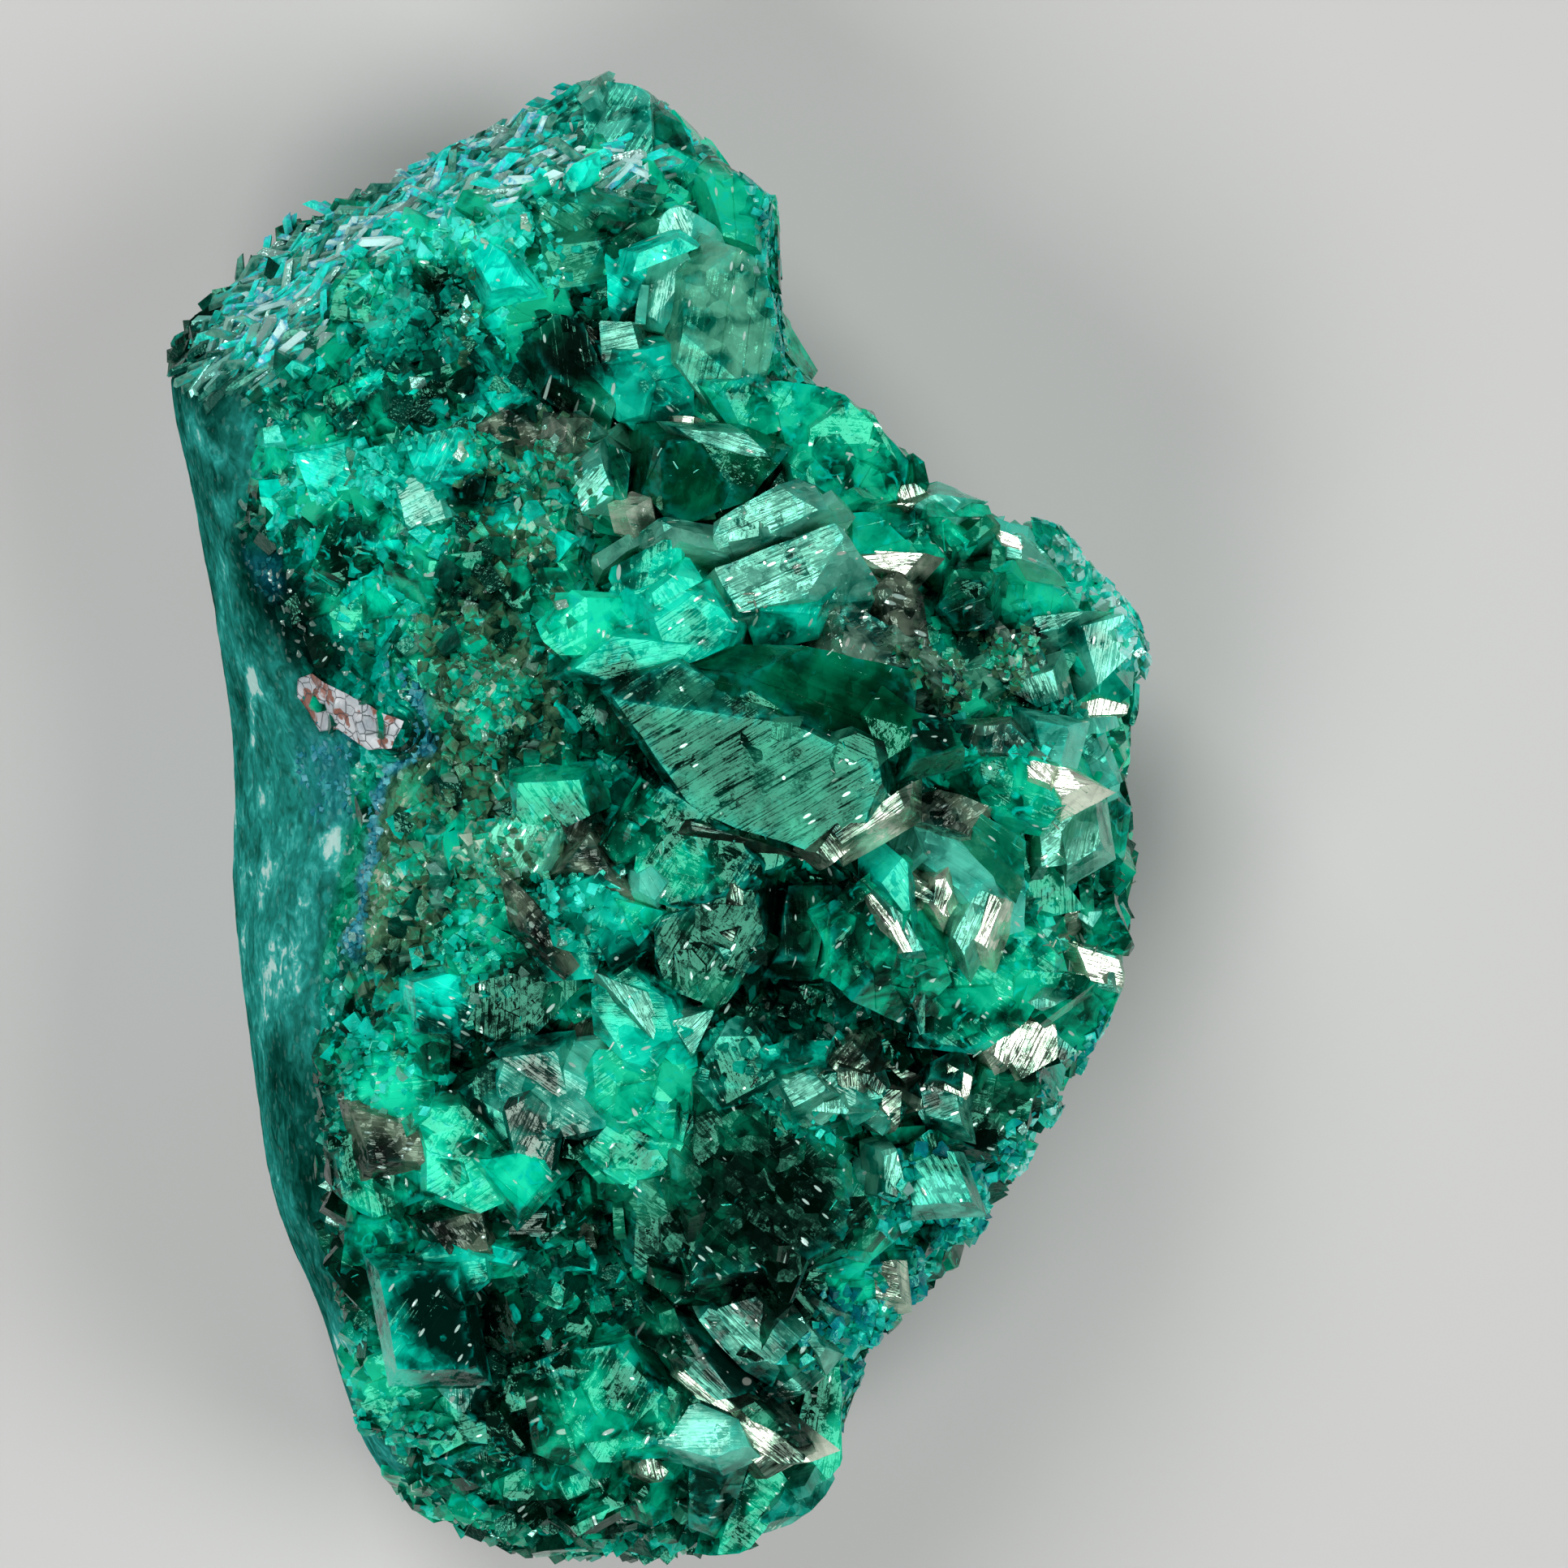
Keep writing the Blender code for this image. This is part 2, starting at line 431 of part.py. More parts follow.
def broad_crystal(name, lean, direction, rise, outline):
    """Return a crystal whose broad upper face has this outline on the sheet."""
    rng = random.Random(name)
    mid_x = sum(point[0] for point in outline) / len(outline)
    mid_y = sum(point[1] for point in outline) / len(outline)
    height = crest_surface(mid_x, mid_y) + rise / 1000
    centre = place(mid_x, mid_y, height)
    up = leaning(lean, direction)
    corners = []
    for sheet_x, sheet_y in outline:
        grown_x = mid_x + (sheet_x - mid_x) * OUTLINE_GROWTH
        grown_y = mid_y + (sheet_y - mid_y) * OUTLINE_GROWTH
        flat = place(grown_x, grown_y, height)
        flat.z -= ((flat.x - centre.x) * up.x + (flat.y - centre.y) * up.y) / up.z
        corners.append(flat)
    steepness = min(lean / STEEPEST_LEAN, 1.0)
    depth = BLOCK_DEPTH + (STEEP_DEPTH - BLOCK_DEPTH) * steepness
    planes = [(centre, up), (centre - up * depth, -up)]
    for start, end in zip(corners, corners[1:] + corners[:1]):
        outward = (end - start).cross(up).normalized()
        if outward.dot(start - centre) < 0:
            outward = -outward
        flare = math.radians(SIDE_FLARE + rng.uniform(-FLARE_SPREAD, FLARE_SPREAD))
        flare *= 1.0 - steepness
        planes.append((start, outward * math.cos(flare) + up * math.sin(flare)))
    nick_at = corners[rng.randrange(len(corners))]
    away = (nick_at - centre).normalized()
    tilt = math.radians(rng.uniform(*NICK_TILT))
    nick = centre.lerp(nick_at, rng.uniform(*NICK_SHARE))
    planes.append((nick, up * math.cos(tilt) + away * math.sin(tilt)))
    return cut_stock(centre, planes)


def pointed_crystal(tip, lean, direction, roll, radius, length):
    """Return a hexagonal prism closed by three rhombohedral faces."""
    axis = leaning(lean, direction)
    side = axis.orthogonal().normalized()
    front = axis.cross(side)
    planes = [(tip - axis * length / 1000, -axis)]
    step = 360 / PRISM_SIDES
    for index in range(PRISM_SIDES):
        turn = math.radians(roll + step * index)
        outward = side * math.cos(turn) + front * math.sin(turn)
        planes.append((tip + outward * radius / 1000, outward))
        if index % 2 == 0:
            turn += math.radians(step / 2)
            outward = side * math.cos(turn) + front * math.sin(turn)
            tilt = math.radians(RHOMB_TILT)
            planes.append((tip, outward * math.sin(tilt) + axis * math.cos(tilt)))
    return cut_stock(tip, planes)


def crown_crystal(sheet_x, sheet_y, rise, lean, direction, roll, radius, length):
    """Return a pointed crystal whose tip stands this far above the crest surface."""
    tip = place(sheet_x, sheet_y, crest_surface(sheet_x, sheet_y) + rise / 1000)
    return pointed_crystal(tip, lean, direction, roll, radius, length)


def flank_crystals():
    """Return the crystals that stand out of the broken flank, row by row."""
    rng = random.Random(SEED)
    centre = place(FOOT_CENTRE[0], FOOT_CENTRE[1], 0.0)
    found = []
    for station in FLANK_STATIONS:
        (wide_x, wide_y, wide_z), (rim_x, rim_y, rim_z) = STATIONS[station]
        widest = place(wide_x, wide_y, wide_z / 1000)
        rim = place(rim_x, rim_y, rim_z / 1000)
        heel = centre.lerp(Vector((widest.x, widest.y, 0.0)), HEEL_SCALE)
        heel.z = HEEL_Z
        outward = Vector((widest.x - centre.x, widest.y - centre.y, 0.0)).normalized()
        for row in FLANK_ROWS:
            level = row + rng.uniform(-FLANK_LEVEL_SPREAD, FLANK_LEVEL_SPREAD)
            spot = widest.lerp(rim, level) if level > 0 else widest.lerp(heel, -level)
            turn = math.degrees(math.atan2(outward.y, outward.x))
            turn += rng.uniform(-FLANK_TURN, FLANK_TURN)
            lean = rng.uniform(*FLANK_LEAN)
            lean += FLANK_LOW_LEAN if level < 0 else -FLANK_HIGH_LEAN * level
            radius = rng.uniform(*FLANK_RADIUS)
            roll = rng.uniform(0, 60)
            proud = FLANK_PROUD + rng.uniform(-FLANK_PROUD_SPREAD, FLANK_PROUD_SPREAD)
            tip = spot + outward * proud
            if rng.random() < FLANK_SHARE:
                name = "flank_%02d_%d" % (station, FLANK_ROWS.index(row))
                shape = pointed_crystal(tip, lean, turn, roll, radius, FLANK_LENGTH)
                found.append((name, shape))
    return found


def add_object(name, shape, collection):
    """Turn a bmesh into an object in a collection."""
    mesh = bpy.data.meshes.new(name)
    shape.to_mesh(mesh)
    shape.free()
    item = bpy.data.objects.new(name, mesh)
    collection.objects.link(item)
    return item


def stone_material():
    """Return the green, glassy surface of the stone."""
    material = bpy.data.materials.new("dioptase_green")
    material.use_nodes = True
    surface = material.node_tree.nodes["Principled BSDF"]
    surface.inputs["Base Color"].default_value = STONE_COLOUR
    surface.inputs["Roughness"].default_value = STONE_ROUGHNESS
    surface.inputs["Metallic"].default_value = 0.0
    surface.inputs["IOR"].default_value = STONE_IOR
    return material


def add_crystals(collection):
    """Make every crystal as a solid of its own, to be joined to the body."""
    shapes = [(row[0], broad_crystal(*row)) for row in BROAD_CRYSTALS]
    shapes += [(row[0], crown_crystal(*row[1:])) for row in POINTED_CRYSTALS]
    shapes += flank_crystals()
    for name, shape in shapes:
        item = add_object(name, shape, collection)
        item.hide_render = True
        item.display_type = "WIRE"


def shell_of(face):
    """Return every face that is joined to this one through shared edges."""
    found = {face}
    waiting = [face]
    while waiting:
        for edge in waiting.pop().edges:
            fresh = [near for near in edge.link_faces if near not in found]
            found.update(fresh)
            waiting.extend(fresh)
    return found


def fill_voids(shape):
    """Fill the small gaps that crystals close in between them: keep the outer skin."""
    left = set(shape.faces)
    shells = []
    while left:
        shell = shell_of(next(iter(left)))
        shells.append(shell)
        left -= shell
    outer = max(shells, key=len)
    inner = [face for face in shape.faces if face not in outer]
    bmesh.ops.delete(shape, geom=inner, context="FACES")


def grown_together(body, crystals):
    """Join the body and its crystals, which grew together, in one closed mesh."""
    for crystal in crystals.objects:
        join = body.modifiers.new("grown_together", "BOOLEAN")
        join.operation = "UNION"
        join.object = crystal
        join.solver = "MANIFOLD"
        bpy.context.view_layer.update()
        evaluated = body.evaluated_get(bpy.context.evaluated_depsgraph_get())
        joined = bpy.data.meshes.new_from_object(evaluated)
        body.modifiers.remove(join)
        body.data = joined
    shape = bmesh.new()
    shape.from_mesh(body.data)
    bmesh.ops.dissolve_degenerate(shape, dist=CLEAN_DISTANCE, edges=shape.edges[:])
    bmesh.ops.triangulate(shape, faces=shape.faces[:])
    fill_voids(shape)
    return shape


def main():
    """Build the stone."""
    clear_scene()
    parts = bpy.data.collections.new("dioptase_specimen")
    crystals = bpy.data.collections.new("crystals")
    bpy.context.scene.collection.children.link(parts)
    bpy.context.scene.collection.children.link(crystals)
    body = add_object("dioptase", body_mesh(), parts)
    add_crystals(crystals)
    shape = grown_together(body, crystals)
    shape.to_mesh(body.data)
    shape.free()
    body.data.materials.append(stone_material())


main()
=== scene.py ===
"""Looks of a rough dioptase cluster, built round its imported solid.

Units are metres and +Z is up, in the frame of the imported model. The stone lies
on its broken back with the crystals up. Outlines are drawn on a square sheet
seen from straight above, 1932 units on a side, x to the right and y down.
Lengths named in millimetres end in _mm. Pattern sizes in the finishes are per
millimetre of the stone.
"""

import logging
import math
import random
from dataclasses import dataclass, field
from enum import Enum
from typing import Any, Callable, Iterable, Optional, Sequence, Union

import bmesh
import bpy
import numpy as np
from mathutils import Matrix, Vector, noise
from mathutils.bvhtree import BVHTree


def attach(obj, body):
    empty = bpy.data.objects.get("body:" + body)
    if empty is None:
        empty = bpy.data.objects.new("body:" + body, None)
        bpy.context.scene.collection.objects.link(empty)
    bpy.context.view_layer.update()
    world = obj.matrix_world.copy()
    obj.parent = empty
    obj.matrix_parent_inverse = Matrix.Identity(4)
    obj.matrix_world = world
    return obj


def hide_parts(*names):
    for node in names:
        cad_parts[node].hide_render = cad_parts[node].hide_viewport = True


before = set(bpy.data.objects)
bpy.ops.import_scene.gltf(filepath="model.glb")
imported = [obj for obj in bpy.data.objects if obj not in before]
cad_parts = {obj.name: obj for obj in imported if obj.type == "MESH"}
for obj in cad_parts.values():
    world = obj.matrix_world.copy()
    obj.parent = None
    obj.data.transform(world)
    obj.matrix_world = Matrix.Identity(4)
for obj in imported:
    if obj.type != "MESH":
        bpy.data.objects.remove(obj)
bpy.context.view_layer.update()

LOG = logging.getLogger("dioptase")
BODY = "root"
NODE = "dioptase"
MM = 0.001
NOISE_SEED = 12

Colour = tuple[float, float, float]
Point2 = tuple[float, float]
Outline = tuple[Point2, ...]
Plane = tuple[Vector, Vector]


class Look(Enum):
    """The finishes that a crystal can have."""

    SILVER = "silver"
    MIRROR = "mirror"
    BROWN = "brown"
    PALE = "pale"
    OLIVE = "olive"
    TURQUOISE = "turquoise"
    MINT = "mint"
    BRIGHT = "bright"
    GREEN = "green"
    TEAL = "teal"
    DEEP = "deep"
    DARK = "dark"
    GREY_GREEN = "grey_green"
    STRIATED = "striated"
    SPECKLED = "speckled"


@dataclass(frozen=True)
class BroadRow:
    """One crystal with a broad face: how it leans and stands, and its outline."""

    name: str
    look: Look
    lean: float
    direction: float
    rise_mm: float
    outline: Outline
    striae: Optional[float] = None


@dataclass(frozen=True)
class PointRow:
    """One pointed crystal: where its tip is, how it leans, and its size."""

    name: str
    look: Look
    x: float
    y: float
    rise_mm: float
    lean: float
    direction: float
    roll: float
    radius_mm: float
    length_mm: float


# Height of the crest line of the crystal side: sheet y, sheet x and height in mm
CREST = (
    (90, 745, 11.6),
    (300, 730, 16.0),
    (600, 850, 18.4),
    (900, 930, 20.0),
    (1250, 890, 19.0),
    (1600, 810, 17.0),
    (1940, 790, 12.5),
)

# Stations round the stone: its widest point and the rim above it, heights in mm
STATIONS = (
    ((462, 1830, 6.0), (520, 1800, 13.0)),
    ((432, 1745, 6.0), (462, 1730, 14.0)),
    ((410, 1630, 5.0), (428, 1640, 15.0)),
    ((352, 1535, 4.0), (412, 1530, 15.5)),
    ((313, 1430, 4.0), (398, 1430, 16.0)),
    ((303, 1310, 3.5), (388, 1310, 16.0)),
    ((276, 1180, 3.5), (398, 1180, 16.4)),
    ((268, 1050, 3.5), (434, 1050, 16.5)),
    ((275, 930, 3.5), (434, 945, 16.5)),
    ((262, 810, 4.0), (368, 830, 16.5)),
    ((243, 680, 4.5), (312, 700, 16.0)),
    ((222, 570, 5.0), (294, 600, 15.5)),
    ((190, 475, 5.5), (262, 475, 15.0)),
    ((214, 403, 5.8), (300, 440, 15.4)),
    ((300, 316, 6.0), (352, 432, 15.6)),
    ((372, 253, 6.5), (404, 378, 16.0)),
    ((508, 202, 7.5), (470, 322, 16.4)),
    ((600, 160, 8.2), (562, 268, 16.4)),
    ((690, 103, 9.0), (652, 222, 16.0)),
    ((760, 91, 9.4), (722, 210, 15.6)),
    ((832, 138, 9.4), (790, 228, 15.2)),
    ((888, 203, 9.4), (842, 290, 15.6)),
    ((948, 243, 9.4), (882, 330, 15.8)),
    ((942, 330, 9.4), (886, 400, 16.2)),
    ((968, 450, 9.5), (900, 480, 16.5)),
    ((1040, 488, 9.4), (980, 550, 16.5)),
    ((1108, 552, 9.2), (1050, 620, 16.5)),
    ((1190, 614, 9.0), (1130, 690, 16.0)),
    ((1300, 651, 9.0), (1230, 720, 15.6)),
    ((1380, 735, 8.8), (1300, 780, 15.0)),
    ((1418, 815, 8.6), (1330, 840, 15.0)),
    ((1390, 920, 8.6), (1310, 920, 15.4)),
    ((1406, 1050, 8.6), (1320, 1040, 15.4)),
    ((1393, 1190, 8.6), (1300, 1160, 15.5)),
    ((1335, 1320, 8.5), (1250, 1270, 15.5)),
    ((1270, 1430, 8.4), (1180, 1390, 15.4)),
    ((1183, 1558, 8.2), (1100, 1500, 15.0)),
    ((1082, 1655, 8.0), (1020, 1600, 15.0)),
    ((1035, 1730, 8.0), (970, 1700, 14.6)),
    ((1036, 1830, 8.0), (960, 1790, 14.0)),
    ((940, 1905, 7.6), (880, 1840, 13.4)),
    ((820, 1928, 7.0), (780, 1860, 13.0)),
    ((690, 1932, 6.6), (680, 1870, 13.0)),
    ((570, 1898, 6.2), (590, 1850, 13.0)),
)

BROAD_CRYSTALS = (
    BroadRow("apex_left", Look.TURQUOISE, 25, 110, 0.5,
             ((642, 152), (716, 100), (740, 102), (726, 165), (662, 214)), 35),
    BroadRow("apex_face", Look.GREY_GREEN, 14, 80, 0.9,
             ((722, 102), (795, 110), (800, 200), (728, 206)), 60),
    BroadRow("apex_right", Look.DARK, 35, 20, 0.2,
             ((800, 121), (835, 143), (860, 196), (818, 184))),
    BroadRow("grey_shelf", Look.SILVER, 17, 115, 0.8,
             ((612, 226), (700, 200), (734, 222), (730, 246), (622, 246)), 85),
    BroadRow("pale_face", Look.PALE, 17, 115, 0.8,
             ((797, 281), (833, 254), (872, 274), (855, 303), (803, 303))),
    BroadRow("pale_column", Look.PALE, 15, 150, 0.8,
             ((799, 305), (838, 306), (855, 338), (815, 398), (786, 392)), 80),
    BroadRow("olive_plate", Look.OLIVE, 15, 20, 1.5,
             ((853, 337), (880, 300), (936, 330), (951, 396), (938, 459), (880, 479), (846, 440)), 80),
    BroadRow("north_bump", Look.GREEN, 20, 45, 0.7,
             ((872, 215), (905, 200), (938, 218), (952, 246), (938, 295), (895, 285))),
    BroadRow("turquoise_prism", Look.TURQUOISE, 15, 200, 0.5,
             ((748, 315), (797, 305), (790, 360), (754, 394))),
    BroadRow("dark_recess", Look.DARK, 20, 250, 0.2,
             ((671, 305), (757, 300), (745, 345), (680, 352))),
    BroadRow("dark_band", Look.DARK, 18, 265, 0.5,
             ((651, 250), (735, 245), (796, 258), (770, 295), (660, 298))),
    BroadRow("west_prism", Look.TURQUOISE, 15, 180, 0.7,
             ((465, 345), (492, 333), (512, 416), (488, 432), (463, 396))),
    BroadRow("teal_slope", Look.TEAL, 15, 300, 0.1,
             ((752, 442), (829, 434), (857, 479), (800, 540), (765, 505))),
    BroadRow("green_step", Look.GREEN, 20, 330, 0.6,
             ((876, 479), (944, 467), (967, 495), (955, 531), (904, 522))),
    BroadRow("dark_smooth", Look.DEEP, 14, 290, 1.2,
             ((817, 552), (888, 548), (951, 570), (916, 612), (837, 643), (808, 610))),
    BroadRow("fan_crystal", Look.GREEN, 22, 40, 0.8,
             ((967, 478), (1046, 491), (1090, 530), (1128, 566),
              (1129, 596), (1050, 622), (990, 580)), 60),
    BroadRow("ribbon_upper", Look.SILVER, 18, 115, 1.8,
             ((888, 640), (975, 590), (995, 600), (1011, 625), (944, 657), (888, 672)), 22),
    BroadRow("ribbon_left", Look.SILVER, 17, 115, 1.4,
             ((783, 655), (820, 637), (884, 641), (884, 675), (813, 677)), 12),
    BroadRow("ribbon_lower", Look.SILVER, 17, 115, 1.9,
             ((852, 715), (886, 702), (1008, 643), (1030, 657),
              (1060, 704), (1000, 730), (902, 750)), 24),
    BroadRow("side_plate", Look.GREEN, 20, 60, 0.9,
             ((1016, 637), (1080, 633), (1127, 681), (1048, 679)), 20),
    BroadRow("brown_face", Look.BROWN, 30, 20, 1.2,
             ((1064, 704), (1098, 714), (1140, 775), (1165, 808), (1120, 792))),
    BroadRow("speckled_ramp", Look.SPECKLED, 24, 80, 1.4,
             ((900, 796), (957, 774), (1050, 738), (1099, 780), (1165, 822), (1048, 815)), 15),
    BroadRow("mint_lobe", Look.MINT, 15, 220, 1.4,
             ((800, 740), (866, 728), (898, 772), (890, 795), (840, 815), (795, 800)), 35),
    BroadRow("mint_wing", Look.MINT, 18, 200, 1.0,
             ((747, 740), (775, 697), (830, 705), (850, 745), (790, 790), (750, 780)), 20),
    BroadRow("deep_lens", Look.DEEP, 12, 50, 2.1,
             ((850, 827), (921, 799), (993, 803), (1115, 831),
              (1111, 886), (1095, 926), (1016, 914), (921, 871)), -20),
    BroadRow("great_face", Look.STRIATED, 18, 232, 1.8,
             ((762, 866), (850, 841), (945, 886), (1060, 934),
              (1070, 985), (1020, 1045), (910, 1010), (842, 985)), 32),
    BroadRow("lens_foot", Look.DEEP, 20, 220, 0.8,
             ((845, 1000), (940, 1002), (968, 1054), (936, 1086), (900, 1045))),
    BroadRow("crystal_a_left", Look.GREEN, 24, 190, 1.6,
             ((1018, 1124), (1084, 1085), (1107, 1171), (1090, 1262), (1010, 1189)), 40),
    BroadRow("crystal_a_right", Look.DARK, 28, 350, 1.4,
             ((1086, 1092), (1114, 1131), (1137, 1171), (1137, 1264), (1095, 1262), (1107, 1171)), 70),
    BroadRow("crystal_b", Look.GREEN, 13, 320, 1.2,
             ((1137, 1150), (1200, 1145), (1271, 1153), (1300, 1189),
              (1250, 1262), (1207, 1289), (1143, 1281)), -35),
    BroadRow("ridge_face", Look.GREY_GREEN, 20, 45, 1.3,
             ((1118, 1010), (1186, 1024), (1257, 1078), (1261, 1139), (1200, 1105), (1121, 1046)), -30),
    BroadRow("brown_silver", Look.BROWN, 19, 115, 1.1,
             ((1118, 989), (1143, 971), (1204, 989), (1186, 1021), (1121, 1008))),
    BroadRow("east_silver", Look.SILVER, 22, 350, 0.9,
             ((1286, 1021), (1346, 992), (1357, 1031), (1346, 1056), (1289, 1064)), 30),
    BroadRow("east_green", Look.GREEN, 38, 0, -0.4,
             ((1350, 985), (1385, 975), (1400, 1014), (1398, 1060), (1352, 1035))),
    BroadRow("round_green", Look.GREEN, 12, 250, 1.6,
             ((1186, 939), (1214, 924), (1290, 930), (1312, 981),
              (1279, 1020), (1243, 1018), (1204, 985)), -20),
    BroadRow("east_grey", Look.GREY_GREEN, 25, 10, 0.9,
             ((1314, 899), (1361, 889), (1386, 958), (1361, 968), (1311, 940))),
    BroadRow("lobe_dark", Look.DARK, 15, 100, 0.7,
             ((1132, 632), (1186, 631), (1207, 664), (1160, 685), (1134, 660))),
    BroadRow("lobe_back", Look.GREY_GREEN, 35, 70, 0.3,
             ((1190, 630), (1272, 652), (1298, 686), (1221, 664))),
    BroadRow("lobe_pale", Look.SILVER, 19, 115, 1.1,
             ((1218, 655), (1257, 657), (1286, 682), (1270, 694), (1240, 676))),
    BroadRow("lobe_rim_north", Look.TURQUOISE, 35, 45, 0.3,
             ((1293, 655), (1333, 670), (1368, 720), (1325, 700))),
    BroadRow("lobe_rim_east", Look.TURQUOISE, 40, 10, 0.0,
             ((1372, 720), (1408, 774), (1414, 810), (1382, 790), (1350, 742))),
    BroadRow("dark_square", Look.DARK, 20, 250, 0.9,
             ((1157, 753), (1182, 714), (1223, 719), (1218, 774), (1179, 774))),
    BroadRow("lobe_green", Look.GREEN, 18, 60, 0.9,
             ((1223, 703), (1293, 710), (1325, 753), (1257, 764), (1221, 765))),
    BroadRow("sparkle_face", Look.SPECKLED, 12, 30, 0.7,
             ((1225, 789), (1271, 781), (1289, 817), (1243, 839))),
    BroadRow("striped_lobe", Look.MINT, 25, 10, 1.0,
             ((1323, 803), (1350, 774), (1379, 771), (1390, 806), (1361, 835), (1339, 835))),
    BroadRow("east_edge", Look.GREEN, 38, 0, -0.2,
             ((1325, 1131), (1392, 1116), (1388, 1174), (1350, 1171))),
    BroadRow("silver_band", Look.SILVER, 22, 350, 0.7,
             ((1296, 1171), (1346, 1171), (1388, 1183), (1386, 1222), (1357, 1214), (1304, 1185)), -10),
    BroadRow("south_east_green", Look.GREEN, 34, 335, 0.3,
             ((1300, 1205), (1385, 1226), (1352, 1282), (1318, 1302), (1289, 1260))),
    BroadRow("white_cracked", Look.MIRROR, 19, 350, 1.1,
             ((1211, 1285), (1261, 1255), (1275, 1296), (1236, 1321))),
    BroadRow("dark_wedge", Look.DARK, 26, 320, 0.7,
             ((1214, 1324), (1282, 1328), (1276, 1381), (1229, 1432), (1171, 1437), (1175, 1371))),
    BroadRow("textured_silver", Look.SILVER, 19, 235, 0.9,
             ((1121, 1349), (1135, 1331), (1182, 1339), (1182, 1374), (1143, 1385))),
    BroadRow("crusted_crystal", Look.GREEN, 14, 250, 1.1,
             ((794, 1010), (821, 979), (893, 1026), (930, 1068),
              (928, 1092), (861, 1117), (814, 1109), (790, 1070))),
    BroadRow("teal_crystal", Look.TEAL, 15, 200, 1.0,
             ((675, 1101), (727, 1082), (766, 1117), (786, 1165), (727, 1181), (675, 1149))),
    BroadRow("dark_slab", Look.DARK, 15, 250, 0.7,
             ((814, 1137), (925, 1103), (938, 1180), (885, 1236), (814, 1208))),
    BroadRow("mint_crystal", Look.MINT, 15, 230, 1.1,
             ((734, 1224), (766, 1204), (821, 1236), (837, 1290), (766, 1299), (736, 1275))),
    BroadRow("green_cube", Look.GREEN, 12, 120, 1.2,
             ((738, 1299), (833, 1299), (837, 1354), (758, 1386), (719, 1339))),
    BroadRow("lower_cube", Look.GREEN, 18, 250, 1.3,
             ((719, 1426), (758, 1386), (825, 1354), (841, 1394), (814, 1457), (746, 1461))),
    BroadRow("grey_topped", Look.PALE, 15, 200, 1.0,
             ((616, 1315), (683, 1297), (740, 1300), (746, 1382), (679, 1396), (620, 1351)), -30),
    BroadRow("west_round", Look.GREY_GREEN, 16, 210, 0.8,
             ((541, 1367), (596, 1331), (631, 1363), (631, 1410), (572, 1418), (537, 1394))),
    BroadRow("bright_wing", Look.BRIGHT, 15, 240, 1.1,
             ((529, 1400), (608, 1410), (667, 1426), (671, 1454), (584, 1493), (525, 1480))),
    BroadRow("bright_west", Look.BRIGHT, 18, 190, 1.1,
             ((426, 1323), (485, 1264), (525, 1276), (533, 1374), (493, 1394), (434, 1355))),
    BroadRow("west_corner", Look.GREEN, 22, 215, 0.9,
             ((398, 1406), (438, 1402), (513, 1430), (517, 1473), (454, 1497), (406, 1465))),
    BroadRow("stony_face", Look.GREY_GREEN, 17, 235, 0.8,
             ((833, 1343), (877, 1307), (908, 1311), (928, 1331), (901, 1354), (853, 1362))),
    BroadRow("teal_ramp", Look.TEAL, 18, 30, 0.6,
             ((869, 1275), (936, 1267), (975, 1330), (990, 1385), (900, 1330))),
    BroadRow("dark_twin_left", Look.DARK, 18, 240, 1.2,
             ((750, 1466), (821, 1458), (853, 1521), (829, 1577), (774, 1553)), -35),
    BroadRow("dark_twin_right", Look.DARK, 12, 40, 1.7,
             ((835, 1400), (916, 1345), (980, 1391), (1037, 1438),
              (1037, 1514), (980, 1545), (870, 1560), (850, 1500)), -40),
    BroadRow("bright_plate", Look.BRIGHT, 25, 340, 0.8,
             ((1039, 1442), (1090, 1458), (1114, 1521), (1074, 1553), (1023, 1537)), 60),
    BroadRow("south_plate", Look.BRIGHT, 28, 325, 0.6,
             ((1012, 1561), (1067, 1553), (1100, 1601), (1104, 1624), (1074, 1652), (1028, 1640))),
    BroadRow("metal_face", Look.SILVER, 19, 235, 1.5,
             ((861, 1624), (885, 1612), (956, 1684), (940, 1711), (916, 1691)), -48),
    BroadRow("metal_dark", Look.DARK, 16, 300, 1.1,
             ((821, 1636), (845, 1644), (956, 1747), (948, 1755), (885, 1715), (833, 1672)), -45),
    BroadRow("striated_dark", Look.DARK, 20, 20, 1.3,
             ((893, 1601), (1007, 1565), (1021, 1624), (1011, 1664), (980, 1688), (928, 1644)), -42),
    BroadRow("south_bright", Look.MIRROR, 19, 350, 1.5,
             ((901, 1731), (936, 1747), (993, 1792), (948, 1818), (916, 1782)), 35),
    BroadRow("south_tip", Look.GREY_GREEN, 30, 300, 1.0,
             ((972, 1842), (1018, 1818), (1028, 1843), (980, 1883), (922, 1905), (905, 1898))),
    BroadRow("olive_tip", Look.OLIVE, 22, 265, 1.4,
             ((853, 1806), (920, 1800), (905, 1850), (880, 1896), (853, 1885))),
    BroadRow("south_green", Look.GREEN, 15, 200, 0.9,
             ((695, 1676), (766, 1664), (821, 1735), (808, 1790), (738, 1794), (691, 1735)), 60),
    BroadRow("smooth_west", Look.GREEN, 20, 190, 0.7,
             ((430, 1506), (497, 1506), (503, 1553), (473, 1577), (440, 1620), (422, 1595))),
    BroadRow("small_block", Look.TEAL, 18, 250, 0.9,
             ((517, 1553), (548, 1537), (592, 1553), (596, 1581), (564, 1604), (525, 1577))),
    BroadRow("south_west", Look.GREEN, 20, 225, 0.8,
             ((440, 1711), (548, 1719), (620, 1735), (620, 1770),
              (548, 1782), (497, 1784), (452, 1757))),
    BroadRow("south_ridge", Look.GREEN, 20, 200, 0.8,
             ((635, 1695), (695, 1676), (734, 1755), (714, 1814), (675, 1794))),
    BroadRow("south_foot", Look.GREEN, 25, 250, 0.8,
